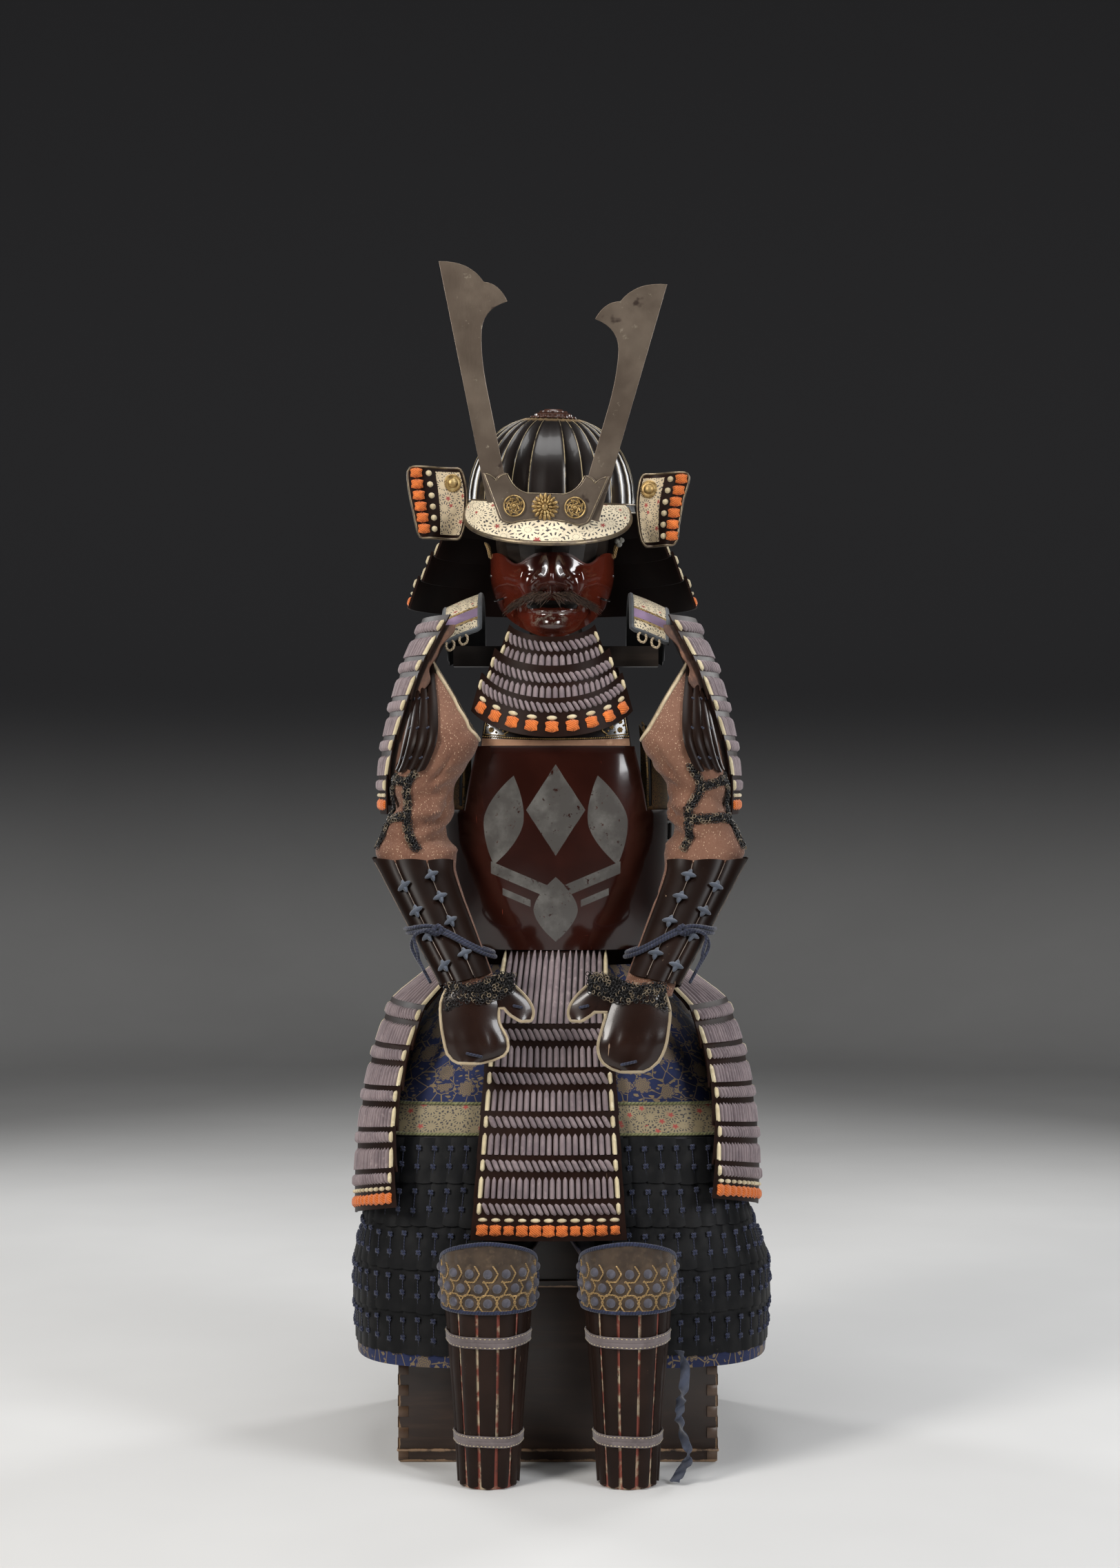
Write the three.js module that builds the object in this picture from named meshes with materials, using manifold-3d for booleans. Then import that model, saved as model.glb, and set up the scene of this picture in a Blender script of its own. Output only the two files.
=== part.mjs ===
// A samurai armour with its helmet, half mask, sleeves, thigh guard and shin guards, resting on its
// wooden storage chest and on a plain wooden stand that the armour hides. Millimetres, +Z up, the
// wearer faces -Y, so +X is the wearer's left. The origin is on the floor, under the middle.
import * as THREE from "three";
import { mergeVertices } from "three/addons/utils/BufferGeometryUtils.js";
import Module from "manifold-3d";

const wasm = await Module();
wasm.setup();

const { abs, cos, max, min, PI, pow, sin, sqrt } = Math;
const rad = (degrees) => (degrees * PI) / 180;
const mix = (from, to, share) => from + (to - from) * share;
const clamp = (value) => min(max(value, 0), 1);
const shares = (parts) => Array.from({ length: parts + 1 }, (_, i) => i / parts);
const SIDES = [
  { name: "right", hand: -1 },
  { name: "left", hand: 1 },
];

// ---------------------------------------------------------------- driving dimensions
const GAP = 0.3;
const CHEST = { width: 422, depth: 372, height: 424, centreX: 3, centreY: 6, wall: 10 };
const LID = { width: 433, depth: 383, low: 232, top: 438, wall: 5 };
const STAND = {
  boardWidth: 300, boardDepth: 250, boardHeight: 20, post: 50, postTop: 1130,
  barWidth: 284, barDepth: 36, barLow: 1060, barTop: 1088,
  headX: -5, headY: -14, headZ: 1256, headWidth: 80, headDepth: 78, headHeight: 130,
};
const PLATE = 3;
const CLOTH = 2;

// The cuirass: half width and depth of its section at each height, and how square it is.
const CUIRASS = [
  { z: 673, half: 140, front: 112, back: 96, square: 2.5 },
  { z: 700, half: 147, front: 117, back: 101, square: 2.5 },
  { z: 760, half: 153, front: 123, back: 110, square: 2.5 },
  { z: 860, half: 156, front: 128, back: 119, square: 2.6 },
  { z: 948, half: 150, front: 124, back: 122, square: 2.8 },
  { z: 1000, half: 142, front: 113, back: 122, square: 2.8 },
  { z: 1092, half: 128, front: 92, back: 116, square: 2.8 },
];
const DO = { low: 673, frontTop: 948, armLow: 862, backTop: 1080, seam: 89.9 };

// The helmet stands in a frame of its own: at the middle of its rim, tipped forwards.
const HELMET = { x: -7, y: -10, z: 1288, tip: 6, roll: 2, yaw: -2.5 };
const BOWL = { halfWidth: 114, halfDepth: 127, height: 119, square: 2.15, top: 114, skirt: 12 };
const VISOR = { reach: 59, out: 44, down: 50, gap: 1.2 };
const CREST = { y: -154, plate: 4.5, hornPlate: 3, baseX: 85, baseZ: 29 };
const HORN = { right: { lean: 13, sunk: 2 }, left: { lean: 14.4, sunk: 23 } };

// The sleeves: the middle and half sizes of the arm at each height, for the wearer's right arm.
const ARM = [
  { z: 612, x: -104, y: -240, halfX: 31, halfY: 24 },
  { z: 640, x: -113, y: -227, halfX: 34, halfY: 27 },
  { z: 700, x: -143, y: -186, halfX: 40, halfY: 34 },
  { z: 780, x: -181, y: -138, halfX: 48, halfY: 41 },
  { z: 806, x: -188, y: -124, halfX: 54, halfY: 46 },
  { z: 830, x: -190, y: -118, halfX: 44, halfY: 46 },
  { z: 860, x: -178, y: -116, halfX: 42, halfY: 46 },
  { z: 895, x: -177, y: -118, halfX: 41, halfY: 43 },
  { z: 925, x: -161, y: -124, halfX: 45, halfY: 39 },
  { z: 956, x: -151, y: -127, halfX: 48, halfY: 36 },
  { z: 1000, x: -151, y: -102, halfX: 39, halfY: 38 },
  { z: 1040, x: -156, y: -70, halfX: 27, halfY: 37 },
  { z: 1072, x: -160, y: -44, halfX: 20, halfY: 33 },
  { z: 1096, x: -164, y: -26, halfX: 13, halfY: 28 },
];
// The wearer's left arm hangs a little further out.
const ARM_SHIFT = { left: 12, right: 0 };
const SLEEVE = { wrist: 618, shoulder: 1094, armpit: 958 };

// The tassets: facing, and the middle of the waist cords, the first lame's top and the last lame's
// foot, for the front one and for those of the wearer's right side.
const TASSETS = [
  { facing: 0.6, waistX: 0, waistY: -113, topX: -7, topY: -182, footX: -9, footY: -270,
    waistWidth: 152, topZ: 581, footZ: 308, radius: 560 },
  { facing: 71, waistX: -129, waistY: -62, topX: -205, topY: -117, footX: -256, footY: -176,
    waistWidth: 86, topZ: 606, footZ: 332, radius: 280 },
  { facing: 92, waistX: -143, waistY: 26, topX: -205, topY: 72, footX: -279, footY: 76,
    waistWidth: 78, topZ: 606, footZ: 318, radius: 560 },
  { facing: 172, waistX: -60, waistY: 95, topX: -90, topY: 172, footX: -112, footY: 250,
    waistWidth: 84, topZ: 596, footZ: 318, radius: 560 },
];
const LAMES = 5;
const TASSET = {
  topWidth: 166, footWidth: 203, waistZ: 672.4, bulge: 17, tilt: 20, leftTurn: -2, leftRise: 12,
};

// The thigh guard: its section at each height, wrapped round the front and sides of the chest.
const THIGH = [
  { z: 137, half: 266, depth: 241, square: 4.2 },
  { z: 250, half: 270, depth: 243, square: 4.2 },
  { z: 330, half: 253, depth: 235, square: 5.2 },
  { z: 380, half: 246, depth: 226, square: 6 },
  { z: 438, half: 240, depth: 216, square: 7 },
  { z: 480, half: 230, depth: 204, square: 6.4 },
  { z: 540, half: 211, depth: 184, square: 4.2 },
  { z: 600, half: 180, depth: 148, square: 2.8 },
  { z: 655, half: 132, depth: 100, square: 2.6 },
];
const THIGH_GUARD = { hem: 138, rows: 5, clothLow: 436, top: 652, back: 86, inner: 4, leftSpread: 1.06 };

// The shin guards: half width and depth of the trough at each height.
const SHIN = [
  { z: 0, half: 40, depth: 46 },
  { z: 100, half: 46, depth: 54 },
  { z: 200, half: 54, depth: 60 },
  { z: 262, half: 58, depth: 62 },
  { z: 310, half: 57, depth: 60 },
];
const SHINS = { right: -86, left: 93, backY: -272, splintTop: 238, flapLow: 228, flapTop: 307, splints: 7 };

// ---------------------------------------------------------------- materials
const finish = (color, roughness, metalness = 0) =>
  new THREE.MeshStandardMaterial({ color, roughness, metalness });
const MATERIAL = {
  wood: finish(0x2a1b10, 0.6),
  plainWood: finish(0x9a7c55, 0.7),
  blackLacquer: finish(0x16120f, 0.3),
  russetLacquer: finish(0x3c120a, 0.2),
  brownLacquer: finish(0x24120c, 0.25),
  bronze: finish(0x5a4a3a, 0.45, 0.8),
  gilt: finish(0xb08d45, 0.4, 0.9),
  printedLeather: finish(0xd8c9a3, 0.7),
  greyLacing: finish(0x6d6068, 0.85),
  fleckCloth: finish(0x80523c, 0.9),
  brocade: finish(0x2f3c64, 0.8),
  blackLeather: finish(0x15171a, 0.6),
  suede: finish(0x50401f, 0.95),
  indigoCord: finish(0x1c2136, 0.9),
  greyTape: finish(0x73696f, 0.9),
  hair: finish(0x6b5640, 0.9),
};

const armour = new THREE.Group();
const helmet = new THREE.Group();
helmet.position.set(HELMET.x, HELMET.y, HELMET.z);
helmet.rotation.set(rad(HELMET.tip), rad(HELMET.roll), rad(HELMET.yaw), "ZXY");
armour.add(helmet);

function add(name, geometry, material, parent = armour) {
  const mesh = new THREE.Mesh(geometry, material);
  mesh.name = name;
  parent.add(mesh);
}

// ---------------------------------------------------------------- geometry helpers
// One column of a table, read between its rows on a smooth curve. The first column rises.
function read(rows, key, at, column) {
  let i = 0;
  while (i < rows.length - 2 && at > rows[i + 1][key]) i += 1;
  const slope = (k) => {
    const before = rows[max(k - 1, 0)];
    const after = rows[min(k + 1, rows.length - 1)];
    return (after[column] - before[column]) / (after[key] - before[key]);
  };
  const span = rows[i + 1][key] - rows[i][key];
  const t = clamp((at - rows[i][key]) / span);
  const line = mix(rows[i][column], rows[i + 1][column], t * t * (3 - 2 * t));
  return line + span * t * (1 - t) * ((1 - t) * slope(i) - t * slope(i + 1));
}

// A point of a rounded outline. Turn 0 faces the front, and a turn of 90 degrees faces +X.
function rim(turn, half, depth, square = 2) {
  const across = pow(abs(sin(turn)) / half, square);
  const along = pow(abs(cos(turn)) / depth, square);
  const reach = pow(across + along, -1 / square);
  return { x: reach * sin(turn), y: -reach * cos(turn) };
}

function body(points, faces) {
  let volume = 0;
  for (const [a, b, c] of faces) {
    volume += points[a].dot(points[b].clone().cross(points[c]));
  }
  const index = faces.flatMap(([a, b, c]) => (volume < 0 ? [a, c, b] : [a, b, c]));
  const geometry = new THREE.BufferGeometry();
  geometry.setAttribute(
    "position",
    new THREE.Float32BufferAttribute(points.flatMap((p) => [p.x, p.y, p.z]), 3),
  );
  geometry.setIndex(index);
  geometry.computeVertexNormals();
  return geometry;
}

// One closed body between two grids of points with the same rows and columns.
function slab(outer, inner, around = false) {
  const rows = outer.length;
  const columns = outer[0].length;
  const faces = [];
  const at = (side, i, j) => side * rows * columns + i * columns + (j % columns);
  const quad = (a, b, c, d) => faces.push([a, b, c], [a, c, d]);
  const spans = around ? columns : columns - 1;
  for (let j = 0; j < spans; j += 1) {
    for (let i = 0; i < rows - 1; i += 1) {
      quad(at(0, i, j), at(0, i, j + 1), at(0, i + 1, j + 1), at(0, i + 1, j));
      quad(at(1, i, j), at(1, i + 1, j), at(1, i + 1, j + 1), at(1, i, j + 1));
    }
    quad(at(0, 0, j), at(1, 0, j), at(1, 0, j + 1), at(0, 0, j + 1));
    quad(at(0, rows - 1, j), at(0, rows - 1, j + 1), at(1, rows - 1, j + 1), at(1, rows - 1, j));
  }
  if (!around) {
    const end = columns - 1;
    for (let i = 0; i < rows - 1; i += 1) {
      quad(at(0, i, 0), at(0, i + 1, 0), at(1, i + 1, 0), at(1, i, 0));
      quad(at(0, i, end), at(1, i, end), at(1, i + 1, end), at(0, i + 1, end));
    }
  }
  return body([...outer.flat(), ...inner.flat()], faces);
}

// The outward normal of a surface whose u runs left to right, seen from outside, and v upwards.
function normal(surface, u, v) {
  const step = 1e-3;
  const across = surface(u + step, v).sub(surface(u - step, v));
  const up = surface(u, v + step).sub(surface(u, v - step));
  return across.cross(up).normalize();
}

// A wall of even thickness behind a surface, and `lift` proud of it.
function wall(surface, across, up, thickness, { around = false, lift = 0 } = {}) {
  const columns = around ? across.slice(0, -1) : across;
  const grid = (out) =>
    up.map((v) => columns.map((u) => surface(u, v).addScaledVector(normal(surface, u, v), out)));
  return slab(grid(lift), grid(lift - thickness), around);
}

// A closed body swept through rings with the same number of points; `flat` closes its two ends.
function sweep(rings, flat, around = false) {
  const count = rings[0].length;
  const faces = [];
  const at = (ring, i) => (ring % rings.length) * count + (i % count);
  const spans = around ? rings.length : rings.length - 1;
  for (let ring = 0; ring < spans; ring += 1) {
    for (let i = 0; i < count; i += 1) {
      const [a, b, c, d] = [at(ring, i), at(ring, i + 1), at(ring + 1, i + 1), at(ring + 1, i)];
      faces.push([a, b, c], [a, c, d]);
    }
  }
  if (!around) {
    const last = (rings.length - 1) * count;
    const clockwise = THREE.ShapeUtils.isClockWise(flat);
    for (const [a, b, c] of THREE.ShapeUtils.triangulateShape(flat, [])) {
      const cap = clockwise ? [c, b, a] : [a, b, c];
      faces.push([cap[2], cap[1], cap[0]], cap.map((i) => last + i));
    }
  }
  return body(rings.flat(), faces);
}

function solid(geometry) {
  const bare = geometry.clone();
  bare.deleteAttribute("normal");
  bare.deleteAttribute("uv");
  const merged = mergeVertices(bare, 1e-3);
  return new wasm.Manifold(
    new wasm.Mesh({
      numProp: 3,
      vertProperties: merged.attributes.position.array,
      triVerts: new Uint32Array(merged.index.array),
    }),
  );
}

function geometryOf(manifold) {
  const made = manifold.getMesh();
  const geometry = new THREE.BufferGeometry();
  geometry.setAttribute("position", new THREE.BufferAttribute(made.vertProperties, 3));
  geometry.setIndex(new THREE.BufferAttribute(made.triVerts, 1));
  geometry.computeVertexNormals();
  return geometry;
}

function box(low, high) {
  const size = high.map((value, i) => value - low[i]);
  return new THREE.BoxGeometry(...size).translate(...high.map((value, i) => (value + low[i]) / 2));
}

// A wall from a table of heights, each with a left and a right edge. `front` gives the depth at a
// share of the width and at a height.
function rowPlate(rows, parts, thickness, front) {
  const low = rows[0].z;
  const high = rows.at(-1).z;
  const surface = (u, v) => {
    const z = mix(low, high, v);
    const x = mix(read(rows, "z", z, "left"), read(rows, "z", z, "right"), u);
    return new THREE.Vector3(x, front(u, z), z);
  };
  const up = rows.map((row) => (row.z - low) / (high - low));
  return wall(surface, shares(parts), up, thickness);
}

// Mirrors a table of left and right edges.
const mirrored = (rows, shift = 0) =>
  rows.map(({ z, left, right }) => ({ z, left: shift - right, right: shift - left }));

// ---------------------------------------------------------------- storage chest and stand
function chestBody() {
  const [w, d] = [CHEST.width / 2, CHEST.depth / 2];
  const { centreX: x, centreY: y, wall: t } = CHEST;
  const outer = solid(box([x - w, y - d, 0], [x + w, y + d, CHEST.height]));
  const inner = solid(box([x - w + t, y - d + t, t], [x + w - t, y + d - t, CHEST.height + t]));
  return geometryOf(outer.subtract(inner));
}

function chestLid() {
  const [w, d] = [LID.width / 2, LID.depth / 2];
  const { centreX: x, centreY: y, height } = CHEST;
  const t = LID.wall;
  const outer = solid(box([x - w, y - d, LID.low], [x + w, y + d, LID.top]));
  const inner = solid(box([x - w + t, y - d + t, LID.low - t], [x + w - t, y + d - t, height + GAP]));
  return geometryOf(outer.subtract(inner));
}

function stand() {
  const y = CHEST.centreY;
  const low = LID.top + GAP;
  const { boardWidth: w, boardDepth: d, post, barWidth, barDepth } = STAND;
  const board = box([-w / 2, y - d / 2, low], [w / 2, y + d / 2, low + STAND.boardHeight]);
  const upright = box([-post / 2, -post / 2, low], [post / 2, post / 2, STAND.postTop]);
  const bar = box([-barWidth / 2, -barDepth / 2, STAND.barLow], [barWidth / 2, barDepth / 2, STAND.barTop]);
  const neck = new THREE.CylinderGeometry(32, 38, 80, 12).rotateX(PI / 2);
  neck.translate(0, 0, STAND.postTop);
  const head = new THREE.SphereGeometry(1, 20, 12).rotateX(PI / 2);
  head.scale(STAND.headWidth, STAND.headDepth, STAND.headHeight);
  head.translate(STAND.headX, STAND.headY, STAND.headZ);
  return geometryOf([board, upright, bar, neck, head].map(solid).reduce((a, b) => a.add(b)));
}

add("chest_body", chestBody(), MATERIAL.wood);
add("chest_lid", chestLid(), MATERIAL.wood);
add("stand", stand(), MATERIAL.plainWood);

// ---------------------------------------------------------------- cuirass
// A point of the cuirass's outer face at a turn and a height.
function cuirassPoint(turn, z, out = 0) {
  const back = abs(turn) > PI / 2;
  const depth = read(CUIRASS, "z", z, back ? "back" : "front");
  const half = read(CUIRASS, "z", z, "half") + out;
  const { x, y } = rim(turn, half, depth + out, read(CUIRASS, "z", z, "square"));
  return new THREE.Vector3(x, y, z);
}

// The height of the front's upper edge: level over the breast, cut away under the arms.
function frontTop(turn) {
  return mix(DO.frontTop, DO.armLow, clamp((abs(turn) - rad(45)) / rad(7)));
}

function backTop(turn) {
  return mix(DO.backTop, DO.armLow, clamp((rad(139) - abs(turn)) / rad(10)));
}

function cuirassFront() {
  const seam = rad(DO.seam);
  const turns = [-89.9, -76, -64, -52, -45, -32, -16, 0, 16, 32, 45, 52, 64, 76, 89.9];
  const surface = (u, v) => {
    const turn = u * seam;
    return cuirassPoint(turn, mix(DO.low, frontTop(turn), v));
  };
  return wall(surface, turns.map((turn) => turn / DO.seam), [0, 0.1, 0.3, 0.65, 1], PLATE);
}

function cuirassBack() {
  const turns = [90.1, 104, 117, 129, 139, 152, 166, 180, 194, 208, 221, 231, 243, 256, 269.9];
  const surface = (u, v) => {
    const turn = rad(u);
    const wrapped = turn > PI ? turn - 2 * PI : turn;
    return cuirassPoint(wrapped, mix(DO.low, backTop(wrapped), v));
  };
  return wall(surface, turns, [0, 0.1, 0.3, 0.55, 0.8, 1], PLATE);
}

// The band above the breast plate, with its upper edge dipping in the middle.
function chestBand() {
  const reach = rad(42.5);
  const low = DO.frontTop + GAP;
  const surface = (u, v) => cuirassPoint(u * reach, mix(low, 978 + 12 * u * u, v), 0.5);
  return wall(surface, shares(10).map((share) => 2 * share - 1), shares(2), PLATE + 1);
}

// The plate under each arm closes the armhole. Its upper edge dips under the arm.
function armpitPlate(hand) {
  const [from, to] = [rad(53.5), rad(126.5)];
  const low = DO.armLow + GAP;
  const surface = (u, v) => {
    const turn = hand * mix(hand > 0 ? from : to, hand > 0 ? to : from, u);
    const dip = pow(abs(abs(turn) - PI / 2) / (PI / 2 - from), 2);
    return cuirassPoint(turn, mix(low, 914 + 68 * dip, v));
  };
  return wall(surface, shares(8), shares(2), PLATE);
}

// A shoulder strap, from its front end over the shoulder down to the back plate.
const STRAP = [
  { way: 0, y: -84, z: 1103 },
  { way: 0.14, y: -78, z: 1128 },
  { way: 0.3, y: -52, z: 1148 },
  { way: 0.5, y: -8, z: 1156 },
  { way: 0.72, y: 48, z: 1148 },
  { way: 0.88, y: 92, z: 1122 },
  { way: 1, y: 118, z: 1086 },
];
const STRAP_EDGE = { inner: 102, outer: 158, fall: 0.2 };

function shoulderStrap(hand) {
  const surface = (u, v) => {
    const across = mix(STRAP_EDGE.inner, STRAP_EDGE.outer, hand > 0 ? u : 1 - u);
    const drop = STRAP_EDGE.fall * (across - STRAP_EDGE.inner);
    const y = read(STRAP, "way", v, "y");
    return new THREE.Vector3(hand * across, y, read(STRAP, "way", v, "z") - drop);
  };
  return wall(surface, shares(3), STRAP.map((row) => row.way), 5);
}

add("cuirass_front", cuirassFront(), MATERIAL.russetLacquer);
add("cuirass_back", cuirassBack(), MATERIAL.russetLacquer);
add("chest_band", chestBand(), MATERIAL.blackLacquer);
for (const { name, hand } of SIDES) {
  add(`armpit_plate_${name}`, armpitPlate(hand), MATERIAL.printedLeather);
  add(`shoulder_strap_${name}`, shoulderStrap(hand), MATERIAL.printedLeather);
}

// ---------------------------------------------------------------- helmet
// The helmet bowl: plates that meet at raised ribs, open at the crown under its fitting.
function bowlPoint(turn, z, out = 0) {
  const share = pow(1 - pow(max(z, 0) / BOWL.height, BOWL.square), 1 / BOWL.square);
  const flare = 1 + 0.02 * min(z, 0) / -BOWL.skirt;
  const { x, y } = rim(turn, BOWL.halfWidth * share * flare + out, BOWL.halfDepth * share * flare + out);
  return new THREE.Vector3(x, y, z);
}

function helmetBowl() {
  const heights = [-BOWL.skirt, 0, 30, 56, 78, 95, 107, BOWL.top];
  const surface = (u, v) => bowlPoint(2 * PI * u, mix(-BOWL.skirt, BOWL.top, v));
  const up = heights.map((z) => (z + BOWL.skirt) / (BOWL.top + BOWL.skirt));
  return wall(surface, shares(32), up, PLATE, { around: true });
}

function crownFitting() {
  const low = BOWL.top + GAP;
  const profile = [
    [8, low], [30, low], [31, low + 2.5], [25, low + 5], [24, low + 7.5], [17, low + 9],
    [16, low + 12], [10, low + 13.5], [8, low + 12],
  ].map(([radius, z]) => new THREE.Vector2(radius, z));
  return new THREE.LatheGeometry([...profile, profile[0]], 20).rotateX(PI / 2);
}

// The visor: from the rim, out and down, most at the middle.
function visorPoint(u, v) {
  const turn = rad(VISOR.reach) * u;
  const share = pow(max(cos((PI / 2) * u), 0), 0.6);
  const reach = 4 + VISOR.gap + v * (VISOR.out * share + 3);
  const root = bowlPoint(turn, 0);
  const out = new THREE.Vector3(sin(turn), -cos(turn), 0);
  return root.addScaledVector(out, reach).setZ(-1 - v * (VISOR.down * share + 4));
}

function visor() {
  const surface = (u, v) => visorPoint(u, 1 - v);
  return wall(surface, shares(16).map((share) => 2 * share - 1), shares(3), 2.5);
}

function extruded(shape, depth, curveSegments = 5) {
  const geometry = new THREE.ExtrudeGeometry(shape, { depth, bevelEnabled: false, curveSegments });
  return geometry.rotateX(PI / 2);
}

// The crest's holder: a U of plate with cusped sheaths for the horns.
const HOLDER = { half: 59, topHalf: 84.5, low: -29, mouth: 11.8, sheathLow: 30, sheathTop: 36 };
function crestHolder() {
  const { half, topHalf, low, mouth, sheathLow, sheathTop } = HOLDER;
  const inner = topHalf - 30;
  const shape = new THREE.Shape();
  shape.moveTo(0, low + 4);
  shape.quadraticCurveTo(half * 0.6, low + 3, half * 0.75, low - 1);
  shape.quadraticCurveTo(half, low - 1, half + 3, low + 8);
  shape.lineTo(topHalf, sheathTop);
  shape.quadraticCurveTo(topHalf - 9, sheathTop, topHalf - 17, sheathLow - 3);
  shape.quadraticCurveTo(topHalf - 20, sheathTop - 1, inner - 1, sheathTop + 1);
  shape.quadraticCurveTo(inner - 10, mouth + 3, inner - 28, mouth);
  shape.lineTo(28 - inner, mouth);
  shape.quadraticCurveTo(10 - inner, mouth + 3, 1 - inner, sheathTop + 1);
  shape.quadraticCurveTo(20 - topHalf, sheathTop - 1, 17 - topHalf, sheathLow - 3);
  shape.quadraticCurveTo(9 - topHalf, sheathTop, -topHalf, sheathTop);
  shape.lineTo(-half - 3, low + 8);
  shape.quadraticCurveTo(-half, low - 1, -half * 0.75, low - 1);
  shape.quadraticCurveTo(-half * 0.6, low + 3, 0, low + 4);
  return extruded(shape, CREST.plate).translate(0, CREST.y, 0);
}

// A crest horn, drawn with its straight outer edge upright: inward distance and height.
function hornShape(hand) {
  const shape = new THREE.Shape();
  shape.moveTo(0, -32);
  shape.lineTo(0, 291.7);
  shape.quadraticCurveTo(-hand * 41, 284, -hand * 53, 253.6);
  shape.quadraticCurveTo(-hand * 73, 248, -hand * 78.7, 222.4);
  shape.quadraticCurveTo(-hand * 42, 220, -hand * 36, 185);
  shape.quadraticCurveTo(-hand * 30, 158, -hand * 29.5, 120);
  shape.lineTo(-hand * 30, -3);
  shape.lineTo(-hand * 26, -32);
  return shape;
}

function crestHorn(name, hand) {
  const { lean, sunk } = HORN[name];
  const behind = CREST.y + CREST.hornPlate + GAP;
  return extruded(hornShape(hand), CREST.hornPlate)
    .translate(0, 0, -sunk)
    .rotateY(hand * rad(lean))
    .translate(hand * CREST.baseX, behind, CREST.baseZ);
}

const BOSSES = [
  { name: "right", x: -41, radius: 14.5, height: 6 },
  { name: "middle", x: 0, radius: 18.5, height: 7 },
  { name: "left", x: 40, radius: 14.5, height: 6 },
];
function crestBoss({ x, radius, height }) {
  const profile = [
    [0, 0], [radius, 0], [radius, height * 0.4], [radius * 0.75, height * 0.8], [0, height],
  ].map(([out, up]) => new THREE.Vector2(out, up));
  const boss = new THREE.LatheGeometry(profile, 16).rotateX(PI);
  return boss.translate(x, CREST.y - CREST.plate - GAP, -6.4);
}

// The turnbacks: the first neck lame's ends, folded back beside the bowl.
const TURNBACK_RIGHT = [
  { z: 1231, left: -184, right: -133 },
  { z: 1240, left: -189, right: -127 },
  { z: 1262, left: -194, right: -122 },
  { z: 1295, left: -201, right: -120 },
  { z: 1323, left: -203, right: -126 },
  { z: 1331, left: -197, right: -132 },
];
const TURNBACK_LEFT = [
  { z: 1221, left: 124, right: 160 },
  { z: 1230, left: 117, right: 166 },
  { z: 1252, left: 112, right: 169 },
  { z: 1284, left: 110, right: 175 },
  { z: 1315, left: 115, right: 183 },
  { z: 1323, left: 121, right: 178 },
];
function turnback(rows, hand) {
  const front = (u) => {
    const outward = hand > 0 ? u : 1 - u;
    return -57 - 18 * outward + 5 * sin(2 * PI * outward);
  };
  return rowPlate(rows, 8, PLATE, front);
}

// The neck guard's lames: cones that flare round the back, each outside the one above.
const NECK = [
  { top: 1287, foot: 1248, topOut: 4, footOut: 24 },
  { top: 1255, foot: 1214, topOut: 26.5, footOut: 42 },
  { top: 1221, foot: 1180, topOut: 46, footOut: 60 },
  { top: 1187, foot: 1142, topOut: 64.5, footOut: 79 },
];
const NECK_MIDDLE = { x: -5, y: -8, half: 122, depth: 133 };
function neckPoint(turn, z, out) {
  const { x, y } = rim(turn, NECK_MIDDLE.half + out, NECK_MIDDLE.depth + out);
  return new THREE.Vector3(NECK_MIDDLE.x + x, NECK_MIDDLE.y + y, z);
}
function neckLame({ top, foot, topOut, footOut }) {
  const surface = (u, v) => {
    const turn = mix(rad(92), rad(268), u);
    return neckPoint(turn, mix(foot, top, v), mix(footOut, topOut, v));
  };
  return wall(surface, shares(16), shares(1), PLATE + 1);
}

add("helmet_bowl", helmetBowl(), MATERIAL.blackLacquer, helmet);
add("crown_fitting", crownFitting(), MATERIAL.brownLacquer, helmet);
add("visor", visor(), MATERIAL.printedLeather, helmet);
add("crest_holder", crestHolder(), MATERIAL.bronze, helmet);
for (const { name, hand } of SIDES) {
  add(`crest_horn_${name}`, crestHorn(name, hand), MATERIAL.bronze, helmet);
}
for (const boss of BOSSES) add(`crest_boss_${boss.name}`, crestBoss(boss), MATERIAL.gilt, helmet);
add("turnback_right", turnback(TURNBACK_RIGHT, -1), MATERIAL.brownLacquer);
add("turnback_left", turnback(TURNBACK_LEFT, 1), MATERIAL.brownLacquer);
NECK.forEach((lame, i) => add(`neck_lame_${i + 1}`, neckLame(lame), MATERIAL.blackLacquer));

// ---------------------------------------------------------------- half mask and throat guard
const MASK = { x: -5, y: -6, half: 86, depth: 100, reach: 98, chin: 1095 };
const bump = (x, width) => Math.exp(-pow(x / width, 2));

// The height of the mask's upper edge: high at the sides and on the nose, low under the eyes.
function maskTop(u) {
  const x = u * MASK.reach;
  return 1214 - 18 * bump(abs(x) - 34, 15) - 5 * bump(x, 14);
}
function maskLow(u) {
  return MASK.chin + 62 * pow(abs(u), 1.8);
}
function maskPoint(u, v) {
  const turn = rad(MASK.reach) * u;
  const z = mix(maskLow(u), maskTop(u), v);
  const jaw = 1 - 0.38 * pow(clamp((1185 - z) / 85), 1.5);
  const side = MASK.half * jaw * sin(turn);
  const nose = 40 * bump(side, 15 + 7 * clamp((1190 - z) / 40)) * bump(z - 1168, z > 1168 ? 38 : 13);
  const chin = 15 * bump(side, 30) * bump(z - 1112, 17);
  const mouth = -5 * bump(side, 42) * bump(z - 1138, 11);
  const lip = 6 * bump(side, 34) * bump(z - 1151, 8);
  const cheek = 7 * bump(abs(side) - 46, 20) * bump(z - 1172, 18);
  const depth = MASK.depth * mix(1, jaw, 0.4);
  const front = depth * cos(turn) + nose + chin + mouth + lip + cheek;
  return new THREE.Vector3(MASK.x + side, MASK.y - front, z);
}
const MOUTH = { half: 36, low: 1134, high: 1143 };
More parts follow.
